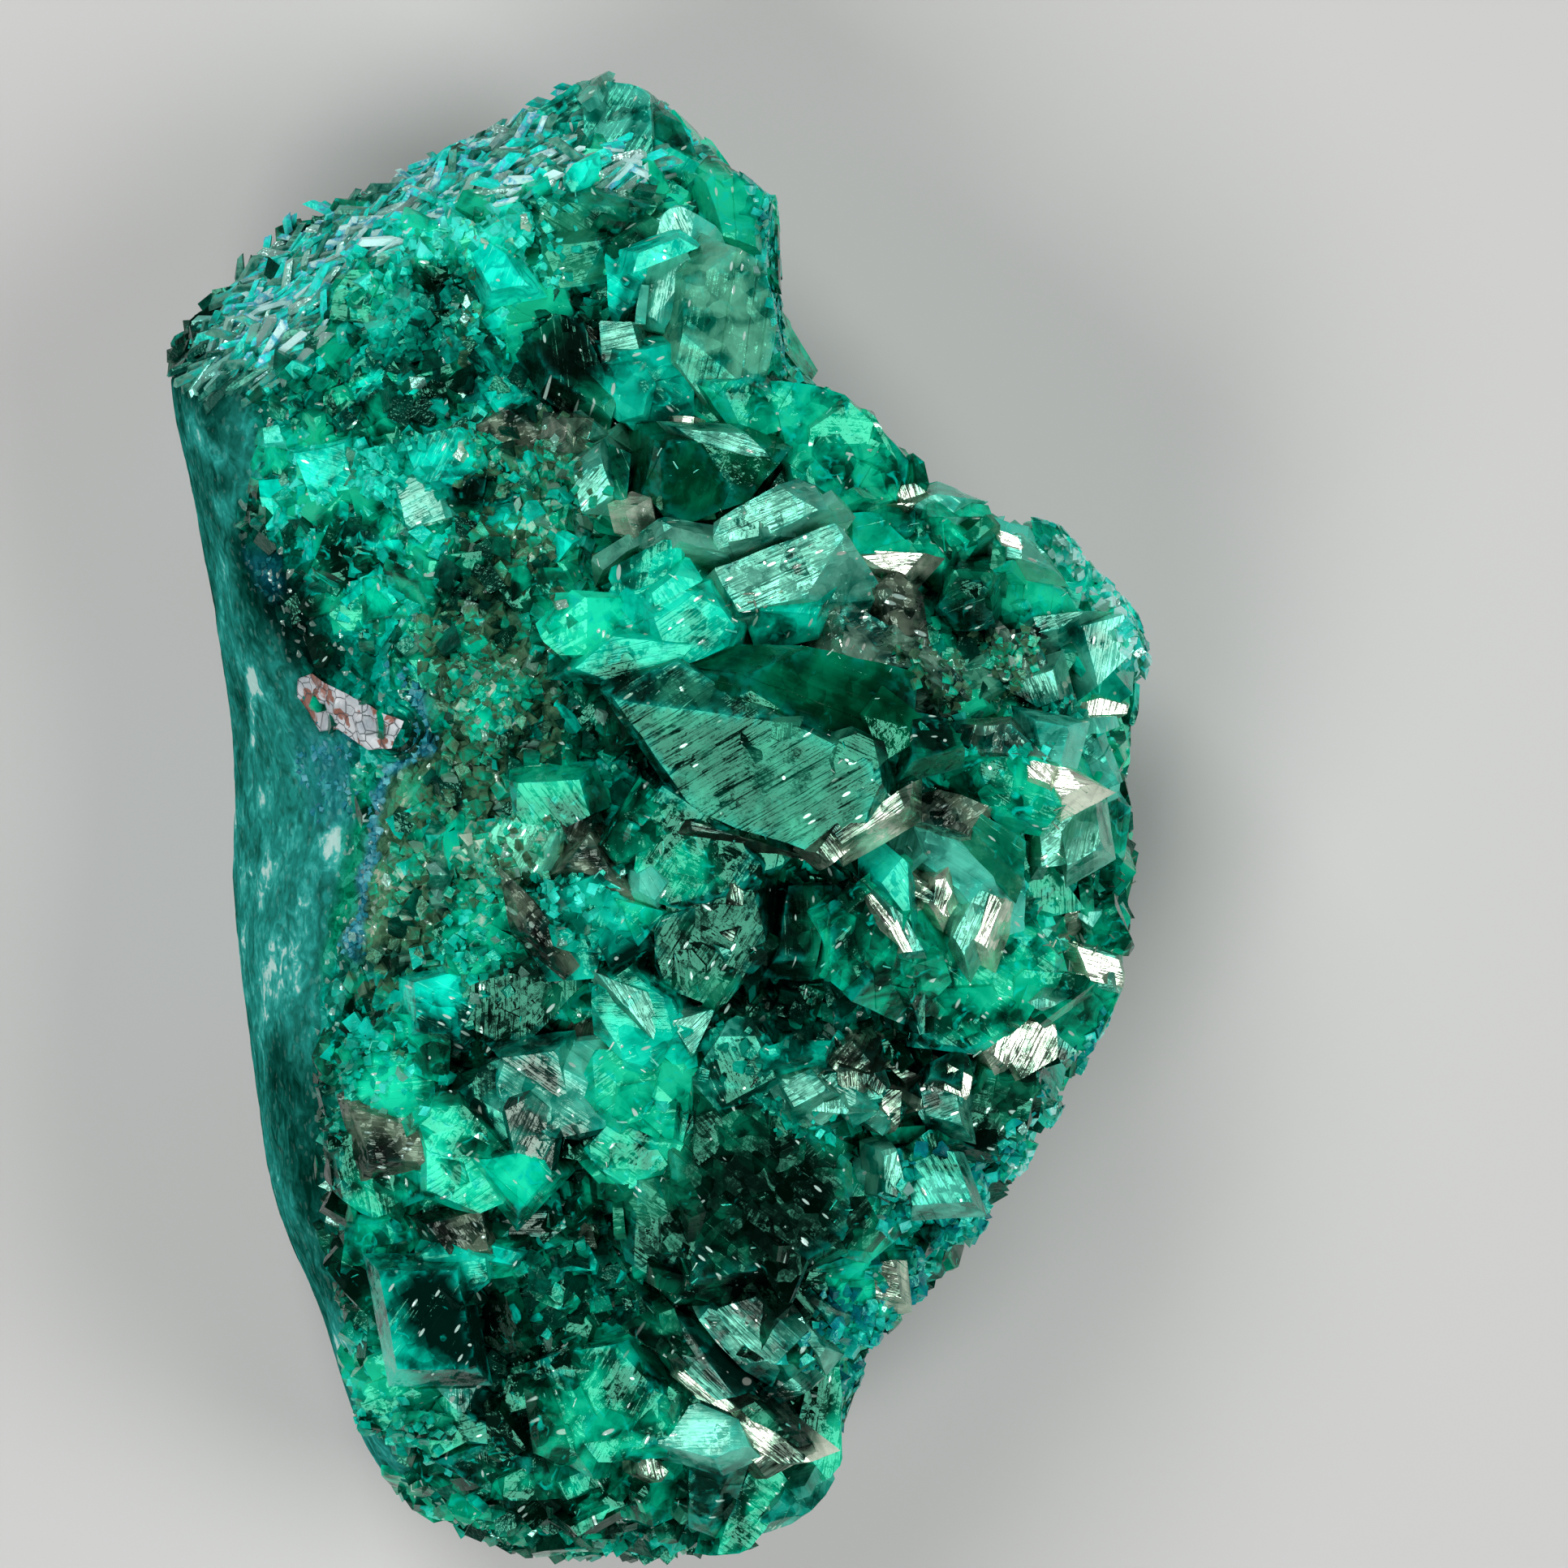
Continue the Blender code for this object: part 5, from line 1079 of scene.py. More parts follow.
    def bent(self, amount_mm: float, scale: float) -> Wire:
        """Return the place, moved a little by noise."""
        blur = self.node("ShaderNodeTexNoise", None,
                         {"Vector": self.place, "Scale": scale, "Detail": 2.0})
        moved = self.node(
            "ShaderNodeVectorMath", {"operation": "MULTIPLY_ADD"},
            {0: self.out(blur, "Color"), 1: (amount_mm,) * 3, 2: self.place},
        )
        return self.out(moved)

    def patches(self, where: Wire, scale: float) -> Wire:
        """Return a number between 0 and 1 for each cell of a broken surface."""
        parts = self.node("ShaderNodeSeparateColor", None,
                          {0: self.out(self.cells(where, scale), "Color")})
        return self.out(parts)

    def flecks(self, where: Wire, share: float, size: float) -> Wire:
        """Return 1 on scattered flecks and 0 between them.

        Args:
            where: place, stretched to give the flecks their length.
            share: the share of cells that hold a fleck.
            size: the fleck's radius in cells.

        Returns:
            The cover of the flecks.
        """
        cell = self.cells(where, 1.0)
        picked = self.out(self.node("ShaderNodeSeparateColor", None, {0: self.out(cell, "Color")}))
        near = 1.0 - self.out(cell, "Distance").step(size * 0.7, size)
        return near * picked.step(1.0 - share, 1.02 - share)

    def bump(self, height: Wire, strength: float, distance_mm: float, normal: Wire) -> Wire:
        """Return a normal with fine relief on it."""
        node = self.node(
            "ShaderNodeBump", None,
            {"Height": height, "Strength": strength, "Distance": distance_mm * MM, "Normal": normal},
        )
        return self.out(node)

    def principled(self, inputs: dict[str, Value]) -> Any:
        """Add the surface shader and join it to the output."""
        node = self.node("ShaderNodeBsdfPrincipled", None, inputs)
        self.tree.links.new(node.outputs["BSDF"], self.output.inputs["Surface"])
        return node

    def absorb(self, colour: Colour, density: float) -> None:
        """Give the inside a plain absorption."""
        node = self.node("ShaderNodeVolumeAbsorption", None, {"Color": colour, "Density": density})
        self.tree.links.new(node.outputs["Volume"], self.output.inputs["Volume"])


@dataclass(frozen=True)
class CrystalFinish:
    """How a crystal's faces look.

    The colours are scene linear. veil is the share of the face under pale or
    turquoise veils, dashes the share of painted glints drawn as short bright streaks
    and specks, rim the strength of the painted glow along the edges, which stands in
    for light shining through them, and silver the metallic lustre of the face.
    """

    deep: Colour
    light: Colour
    veil_colour: Colour = (0.0, 0.56, 0.42)
    rim_glow_colour: Colour = (0.0, 0.60, 0.46)
    veil: float = 0.25
    rim: float = 0.7
    silver: float = 0.0
    roughness: float = 0.12
    see_through: float = 0.45
    facet_tilt: float = 0.055
    striae: float = 0.25
    glint_dashes: float = 0.25
    absorb_colour: Colour = (0.10, 0.80, 0.62)
    absorb_density: float = 180.0
    gloss_tint: Colour = (0.22, 1.0, 0.66)
    glint_dash_colour: Colour = (0.60, 0.88, 0.78)
    ior: float = 1.66
    mottle: float = 1.0

    def material(self, name: str) -> Any:
        """Build the material.

        Args:
            name: the material's name.

        Returns:
            The material.
        """
        shader = Shader(name)
        place = shader.place
        tone = shader.value("tone")
        along = shader.value("along")
        run = shader.value("run")
        rim = shader.value("rim")
        glow = shader.value("glow")
        bent = shader.bent(0.9, 0.7)
        cloud = shader.cloud(place, 0.9, 4.0, 0.6)
        broad = shader.cloud(place, 0.32, 1.0)
        streak = shader.cloud(shader.vector(along * 0.25, run * 5.0, tone * 9.0), 1.0, 3.0, 0.2)
        large, small = shader.patches(bent, 0.8), shader.patches(bent, 2.1)
        # glow brings in the light and dark parts of the stone, partly its own tone and partly painted shade and
        # highlights.
        shade = ((cloud * 1.95 + broad * 0.8 + large * 0.32 + small * 0.24 - 1.655) * self.mottle
                 + tone * 0.30 + streak * 0.25 + glow * 0.62 + 0.115)
        light, deep = self.light, self.deep
        colour = shader.ramp(shade.clamped(), (
            (0.0, tuple(part * 0.12 for part in deep)), (0.28, deep), (0.70, light),
            (1.0, tuple(min(part * 1.35 + 0.01, 1.0) for part in light))))
        veils = shader.cloud(place, 1.7, 3.0, 1.4)
        veil = ((veils + glow * 0.06).step(0.66 - 0.22 * self.veil, 0.74) * self.veil * 2.2)
        veil = veil.clamped()
        colour = shader.mix(veil, colour, self.veil_colour)
        # Painted glow along the edges: the rim colour stands in for light shining through the thin edges; the same
        # mask makes the edges a little rougher, as wear.
        edge_glow_and_wear = (rim ** 3.0 * shader.cloud(place, 2.4, 2.0).step(0.40, 0.62) * self.rim).clamped()
        colour = shader.mix(edge_glow_and_wear, colour, self.rim_glow_colour)
        # Painted glints: short streaks along the grain and fine specks, lightened to a pale colour and made a
        # little metallic.
        glint_dash = shader.flecks(shader.vector(along * 1.4, run * 4.6, tone * 31.0),
                             self.glint_dashes * 0.75, 0.24)
        glint_specks = shader.flecks(shader.tint(bent, 3.1), self.glint_dashes * 0.22, 0.20)
        glint_dash = (glint_dash + glint_specks).clamped()
        colour = shader.mix(glint_dash, colour, self.glint_dash_colour)
        lustre = (self.silver * (0.55 + streak * 0.9) * (1.0 - veil * 0.8)).clamped()
        relief = streak * self.striae + shader.cloud(place, 7.0, 2.0) * 0.14
        broken = shader.facets(bent, 0.8, self.facet_tilt)
        broken = shader.facets(bent, 2.1, self.facet_tilt * 1.2, broken)
        broken = shader.facets(place, 5.0, self.facet_tilt, broken)
        normal = shader.bump(relief, 0.5, 0.14, broken)
        shader.principled({
            "Base Color": colour,
            "Metallic": (lustre + glint_dash * 0.35).clamped(),
            "Roughness": (self.roughness * (0.6 + small * 0.9) + edge_glow_and_wear * 0.2).clamped(),
            "IOR": self.ior,
            "Specular IOR Level": 0.36 if self.silver < 0.1 else 0.5,
            "Specular Tint": self.gloss_tint,
            "Transmission Weight": self.see_through,
            "Normal": normal,
        })
        if self.see_through > 0.2:
            shader.absorb(self.absorb_colour, self.absorb_density)
        return shader.material


WHITE_GLOSS = (0.80, 1.0, 0.86)

FINISHES = {
    Look.SILVER: CrystalFinish((0.0, 0.15, 0.10), (0.09, 0.39, 0.28), silver=0.36, veil=0.15,
                               rim=0.35, roughness=0.24, see_through=0.0, striae=0.9, glint_dashes=0.3,
                               facet_tilt=0.07, gloss_tint=WHITE_GLOSS,
                               glint_dash_colour=(0.7, 0.8, 0.7)),
    Look.MIRROR: CrystalFinish((0.14, 0.24, 0.17), (0.66, 0.74, 0.60), silver=0.7, veil=0.0,
                               rim=0.1, roughness=0.16, see_through=0.0, striae=1.3, glint_dashes=0.2,
                               facet_tilt=0.05, gloss_tint=WHITE_GLOSS,
                               glint_dash_colour=(0.7, 0.8, 0.7)),
    Look.BROWN: CrystalFinish((0.006, 0.020, 0.013), (0.10, 0.15, 0.10), silver=0.28, veil=0.0,
                              rim=0.1, roughness=0.24, see_through=0.0, striae=1.1, glint_dashes=0.7,
                              facet_tilt=0.30, gloss_tint=WHITE_GLOSS),
    Look.PALE: CrystalFinish((0.0, 0.19, 0.13), (0.08, 0.52, 0.38), silver=0.1, veil=0.2, mottle=0.75,
                             rim=0.5, roughness=0.20, see_through=0.0, striae=0.6, glint_dashes=0.3,
                             gloss_tint=WHITE_GLOSS),
    Look.OLIVE: CrystalFinish((0.0, 0.11, 0.065), (0.08, 0.34, 0.22), silver=0.1, veil=0.1,
                              rim=0.4, roughness=0.22, see_through=0.0, striae=0.5, glint_dashes=0.3),
    Look.TURQUOISE: CrystalFinish((0, 0.20, 0.14), (0, 0.74, 0.53), veil=0.6, rim=0.5,
                                  roughness=0.16, see_through=0.0, striae=0.6, glint_dashes=0.4),
    Look.MINT: CrystalFinish((0, 0.16, 0.10), (0, 0.62, 0.41), veil=0.35, rim=0.5,
                             roughness=0.12, see_through=0.15, striae=0.5, glint_dashes=0.35),
    Look.BRIGHT: CrystalFinish((0, 0.12, 0.062), (0, 0.54, 0.31), veil=0.4, rim=0.5,
                               roughness=0.12, see_through=0.0, striae=0.5, glint_dashes=0.35),
    Look.GREEN: CrystalFinish((0, 0.055, 0.0276), (0, 0.4, 0.216), veil=0.35, rim=0.5,
                              roughness=0.11, see_through=0.0, striae=0.35, glint_dashes=0.25),
    Look.TEAL: CrystalFinish((0, 0.075, 0.0506), (0, 0.42, 0.285), veil=0.35, rim=0.5,
                             roughness=0.11, see_through=0.0, striae=0.35, glint_dashes=0.25),
    Look.DEEP: CrystalFinish((0.0, 0.046, 0.018), (0.0, 0.225, 0.098), veil=0.06, rim=0.35,
                             roughness=0.08, see_through=0.3, facet_tilt=0.02, striae=0.12,
                             glint_dashes=0.05, mottle=0.45),
    Look.DARK: CrystalFinish((0, 0.017, 0.0085), (0, 0.135, 0.068), veil=0.12, rim=0.25,
                             roughness=0.20, see_through=0.0, striae=0.5, glint_dashes=0.25,
                             facet_tilt=0.07),
    Look.GREY_GREEN: CrystalFinish((0.0, 0.16, 0.11), (0.07, 0.46, 0.35), silver=0.12, veil=0.15,
                                   rim=0.45, roughness=0.20, see_through=0.0, striae=0.8,
                                   glint_dashes=0.3, glint_dash_colour=(0.6, 0.8, 0.66)),
    Look.STRIATED: CrystalFinish((0.0, 0.050, 0.029), (0.02, 0.20, 0.118), silver=0.08, veil=0.06,
                                 rim=0.4, roughness=0.16, see_through=0.0, striae=0.55, glint_dashes=0.25,
                                 facet_tilt=0.03, mottle=0.75, glint_dash_colour=(0.4, 0.7, 0.56)),
    Look.SPECKLED: CrystalFinish((0.0, 0.05, 0.035), (0.14, 0.30, 0.22), silver=0.45, veil=0.2,
                                 rim=0.4, roughness=0.22, see_through=0.0, striae=0.4, glint_dashes=0.7,
                                 facet_tilt=0.25, gloss_tint=WHITE_GLOSS,
                                 glint_dash_colour=(0.7, 0.8, 0.7)),
}
def leaning(lean: float, direction: float) -> Vector:
    """Return the unit vector that leans this far from +Z towards a compass angle."""
    tilt, turn = math.radians(lean), math.radians(direction)
    level = math.sin(tilt)
    return Vector((level * math.cos(turn), level * math.sin(turn), math.cos(tilt)))


def cut_stock(centre: Vector, planes: Iterable[Plane], size: float) -> bmesh.types.BMesh:
    """Cut a block of stock by planes.

    Args:
        centre: the middle of the block.
        planes: a point on each plane and its outward normal.
        size: the side of the block before it is cut.

    Returns:
        The closed shape.
    """
    stock = bmesh.new()
    bmesh.ops.create_cube(stock, size=size)
    bmesh.ops.translate(stock, verts=stock.verts[:], vec=centre)
    for point, normal in planes:
        bmesh.ops.bisect_plane(
            stock, geom=stock.verts[:] + stock.edges[:] + stock.faces[:],
            plane_co=point, plane_no=normal, clear_outer=True,
        )
        bmesh.ops.holes_fill(stock, edges=stock.edges[:])
    bmesh.ops.recalc_face_normals(stock, faces=stock.faces[:])
    return stock


@dataclass
class Grower:
    """Turns cut blocks into worn, stepped crystals and gathers them by look."""

    finest_mm: float = 0.55
    wear_mm: float = 0.055
    wear_scale_mm: float = 0.9
    rim_reach_mm: float = 0.42
    step_gap_mm: tuple[float, float] = (0.25, 0.95)
    step_rise_mm: float = 0.045
    riser_mm: float = 0.04
    sharp_angle: float = 16.0
    sliver_mm: float = 0.003
    shapes: dict[Look, list[Any]] = field(default_factory=dict)

    def finish(
        self, shape: bmesh.types.BMesh, look: Look, up: Vector, striae: Vector, rng: random.Random,
        wear: float = 1.0,
    ) -> None:
        """Step, wear and mark one block, and keep it.

        Args:
            shape: the cut block; it is freed.
            look: which finish the crystal gets.
            up: the way its main face points.
            striae: the direction of the striations on that face.
            rng: the crystal's own random draws.
            wear: how worn it is, 1 for a large crystal.
        """
        across = up.cross(striae).normalized()
        edges = [
            (edge.verts[0].co.copy(), edge.verts[1].co.copy())
            for edge in shape.edges
            if edge.is_manifold and edge.calc_face_angle(0.0) > 0.3
        ]
        spots = [vertex.co.dot(across) for vertex in shape.verts]
        cuts = self._steps(shape, across, min(spots), max(spots), rng) if wear >= 1.0 else []
        self._dice(shape)
        self._move(shape, up, across, cuts, rng, wear)
        self._mark(shape, edges, striae, across, rng.random())
        mesh = bpy.data.meshes.new("piece")
        shape.to_mesh(mesh)
        shape.free()
        self.shapes.setdefault(look, []).append(mesh)

    def _steps(
        self, shape: bmesh.types.BMesh, across: Vector, low: float, high: float, rng: random.Random
    ) -> list[tuple[float, float]]:
        """Cut lines over the block where its growth steps go, and draw their rises."""
        cuts = []
        at = low + rng.uniform(*self.step_gap_mm) * MM
        while at < high - self.step_gap_mm[0] * MM:
            cuts.append((at, rng.uniform(-1.0, 1.0) * self.step_rise_mm * MM))
            for offset in (0.0, self.riser_mm * MM):
                bmesh.ops.bisect_plane(
                    shape, geom=shape.verts[:] + shape.edges[:] + shape.faces[:],
                    plane_co=across * (at + offset), plane_no=across,
                )
            at += rng.uniform(*self.step_gap_mm) * MM
        return cuts

    def _dice(self, shape: bmesh.types.BMesh) -> None:
        """Split the faces until no edge is long, without slivers."""
        sliver = self.sliver_mm * MM
        bmesh.ops.dissolve_degenerate(shape, dist=sliver, edges=shape.edges[:])
        bmesh.ops.triangulate(shape, faces=shape.faces[:])
        for _ in range(4):
            long = [edge for edge in shape.edges if edge.calc_length() > self.finest_mm * MM * 1.4]
            if not long:
                break
            bmesh.ops.subdivide_edges(shape, edges=long, cuts=1)
            bmesh.ops.triangulate(shape, faces=shape.faces[:])
        bmesh.ops.dissolve_degenerate(shape, dist=sliver, edges=shape.edges[:])
        bmesh.ops.triangulate(shape, faces=shape.faces[:])

    def _move(
        self, shape: bmesh.types.BMesh, up: Vector, across: Vector,
        cuts: list[tuple[float, float]], rng: random.Random, wear: float,
    ) -> None:
        """Raise the steps and roughen the block a little."""
        shift = Vector((rng.random(), rng.random(), rng.random())) * 50
        scale = 1 / (self.wear_scale_mm * MM)
        for vertex in shape.verts:
            at = vertex.co.dot(across) - self.riser_mm * MM / 2
            rise = 0.0
            for start, level in cuts:
                if at < start:
                    break
                rise = level
            rough = noise.noise_vector(vertex.co * scale + shift) * self.wear_mm
            rough += noise.noise_vector(vertex.co * scale * 2.7 + shift) * self.wear_mm * 0.45
            vertex.co += up * rise + rough * wear * MM

    def _mark(
        self, shape: bmesh.types.BMesh, edges: list[tuple[Vector, Vector]],
        along: Vector, across: Vector, tone: float,
    ) -> None:
        """Keep on each vertex the crystal's tone, its grain and how near an edge is."""
        tones = shape.verts.layers.float.new("tone")
        runs = shape.verts.layers.float.new("run")
        alongs = shape.verts.layers.float.new("along")
        rims = shape.verts.layers.float.new("rim")
        points = np.array([vertex.co for vertex in shape.verts])
        nearest = np.full(len(points), 1.0)
        for start, end in edges:
            line = np.array(end - start)
            share = np.clip((points - np.array(start)) @ line / max(line @ line, 1e-12), 0, 1)
            gap = points - np.array(start) - share[:, None] * line
            nearest = np.minimum(nearest, np.sqrt((gap * gap).sum(axis=1)))
        glow = np.exp(-nearest / (self.rim_reach_mm * MM))
        for vertex, near in zip(shape.verts, glow):
            vertex[tones] = tone
            vertex[runs] = vertex.co.dot(across) / MM
            vertex[alongs] = vertex.co.dot(along) / MM
            vertex[rims] = float(near)

    def pieces(self) -> list[tuple[Look, Any]]:
        """Join the blocks of each look in one object.

        Returns:
            The look and the object of each piece.
        """
        made = []
        for look, meshes in self.shapes.items():
            joined = bmesh.new()
            for mesh in meshes:
                joined.from_mesh(mesh)
                bpy.data.meshes.remove(mesh)
            bmesh.ops.recalc_face_normals(joined, faces=joined.faces[:])
            item = keep_shape(joined, "crystals_" + look.value)
            item.data.shade_smooth()
            item.data.set_sharp_from_angle(angle=math.radians(self.sharp_angle))
            made.append((look, item))
        return made


def keep_shape(shape: bmesh.types.BMesh, name: str) -> Any:
    """Turn a shape into a linked object, and free the shape."""
    mesh = bpy.data.meshes.new(name)
    shape.to_mesh(mesh)
    shape.free()
    item = bpy.data.objects.new(name, mesh)
    bpy.context.scene.collection.objects.link(item)
    return item


def grain_direction(up: Vector, compass: float) -> Vector:
    """Return the direction in a face that is drawn at this compass angle."""
    turn = math.radians(compass)
    flat = Vector((math.cos(turn), math.sin(turn), 0.0))
    return (flat - up * flat.dot(up)).normalized()


@dataclass
class Crystals:
    """The broad, pointed and flank crystals of the cluster."""

    block_depth_mm: float = 5.0
    steep_depth_mm: float = 3.4
    steepest_lean: float = 38.0
    side_flare: float = 12.0
    flare_spread: float = 8.0
    outline_growth: float = 1.14
    chip_depth_mm: tuple[float, float] = (0.06, 0.38)
    rhomb_tilt: float = 51.0
    stock_mm: float = 24.0
    lift_mm: float = 0.06
    grower: Grower = field(default_factory=Grower)

    def broad(
        self, row: BroadRow, height: Optional[float] = None, depth_mm: Optional[float] = None,
        chips: int = 5,
    ) -> None:
        """Grow a crystal whose broad upper face has an outline on the sheet.

        Args:
            row: the crystal.
            height: height of the middle of its face, or none to use the crest surface.
            depth_mm: how deep the block goes, or none to follow its lean.
            chips: how many broken corners its face has.
        """
        rng = random.Random(row.name)
        mid_x = sum(point[0] for point in row.outline) / len(row.outline)
        mid_y = sum(point[1] for point in row.outline) / len(row.outline)
        if height is None:
            height = SHEET.surface(mid_x, mid_y) + (row.rise_mm + self.lift_mm) * MM
        centre = SHEET.place(mid_x, mid_y, height)
        up = leaning(row.lean, row.direction)
        corners = []
        for x, y in row.outline:
            flat = SHEET.place(
                mid_x + (x - mid_x) * self.outline_growth,
                mid_y + (y - mid_y) * self.outline_growth, height)
            flat.z -= ((flat.x - centre.x) * up.x + (flat.y - centre.y) * up.y) / up.z
            corners.append(flat)
        steepness = min(row.lean / self.steepest_lean, 1.0)
        if depth_mm is None:
            depth_mm = self.block_depth_mm + (self.steep_depth_mm - self.block_depth_mm) * steepness
        planes = [(centre, up), (centre - up * depth_mm * MM, -up)]
        for start, end in zip(corners, corners[1:] + corners[:1]):
            outward = (end - start).cross(up).normalized()
            if outward.dot(start - centre) < 0:
                outward = -outward
            flare = self.side_flare + rng.uniform(-self.flare_spread, self.flare_spread)
            flare = math.radians(flare * (1.0 - steepness))
            planes.append((start, outward * math.cos(flare) + up * math.sin(flare)))
            if rng.random() < chips / len(corners):
                planes.append(self._chip(start, end, centre, up, rng))
        shape = cut_stock(centre, planes, self.stock_mm * MM)
        compass = row.striae if row.striae is not None else rng.uniform(0, 180)
        self.grower.finish(shape, row.look, up, grain_direction(up, compass), rng)

    def _chip(
        self, start: Vector, end: Vector, centre: Vector, up: Vector, rng: random.Random
    ) -> Plane:
        """Return a plane that breaks a corner off a face."""
        away = ((start - centre) + (end - start) * rng.uniform(-0.2, 0.5)).normalized()
        tilt = math.radians(rng.uniform(25, 60))
        depth = rng.uniform(*self.chip_depth_mm) * MM
        normal = up * math.cos(tilt) + away * math.sin(tilt)
        return start - normal * depth, normal

    def pointed(
        self, look: Look, tip: Vector, axis: Vector, roll: float, radius_mm: float,
        length_mm: float, rng: random.Random, wear: float = 0.8,
    ) -> None:
        """Grow a hexagonal prism that ends in three rhombohedral faces.

        Args:
            look: its finish.
            tip: its point.
            axis: the way it points.
            roll: turn about its axis in degrees.
            radius_mm: from its axis to its prism faces.
            length_mm: how long it is.
            rng: the crystal's own random draws.
            wear: how worn it is.
        """
        side = axis.orthogonal().normalized()
        front = axis.cross(side)
        planes = [(tip - axis * length_mm * MM, -axis)]
        for index in range(6):
            turn = math.radians(roll + 60 * index)
            outward = side * math.cos(turn) + front * math.sin(turn)
            planes.append((tip + outward * radius_mm * MM, outward))
            if index % 2 == 0:
                turn += math.radians(30)
                outward = side * math.cos(turn) + front * math.sin(turn)
                tilt = math.radians(self.rhomb_tilt)
                planes.append((tip, outward * math.sin(tilt) + axis * math.cos(tilt)))
        shape = cut_stock(tip, planes, self.stock_mm * MM)
        grain = grain_direction(axis, rng.uniform(0, 360))
        self.grower.finish(shape, look, axis, grain, rng, wear)


def within(spots: np.ndarray, outline: Outline) -> np.ndarray:
    """Return how far inside an outline each place on the sheet is.

    Args:
        spots: (n, 2) places on the sheet.
        outline: the corners of the outline.

    Returns:
        The distance to the outline, negative outside it.
    """
    inside = np.zeros(len(spots), bool)
    nearest = np.full(len(spots), 1e9)
    x, y = spots[:, 0], spots[:, 1]
    for (ax, ay), (bx, by) in zip(outline, outline[1:] + outline[:1]):
        crosses = (ay > y) != (by > y)
        if ay != by:
            inside ^= crosses & (x < (bx - ax) * (y - ay) / (by - ay) + ax)
        dx, dy = bx - ax, by - ay
        share = np.clip(((x - ax) * dx + (y - ay) * dy) / (dx * dx + dy * dy), 0, 1)
        nearest = np.minimum(nearest, np.hypot(x - ax - share * dx, y - ay - share * dy))
    return np.where(inside, nearest, -nearest)


def fractal(points: np.ndarray, scale_mm: float, octaves: int) -> np.ndarray:
    """Return soft noise between about -1 and 1 at each point."""
    total = np.zeros(len(points))
    for index, point in enumerate(points / (scale_mm * MM)):
        total[index] = noise.fractal(Vector(point), 0.9, 2.1, octaves)
    return total


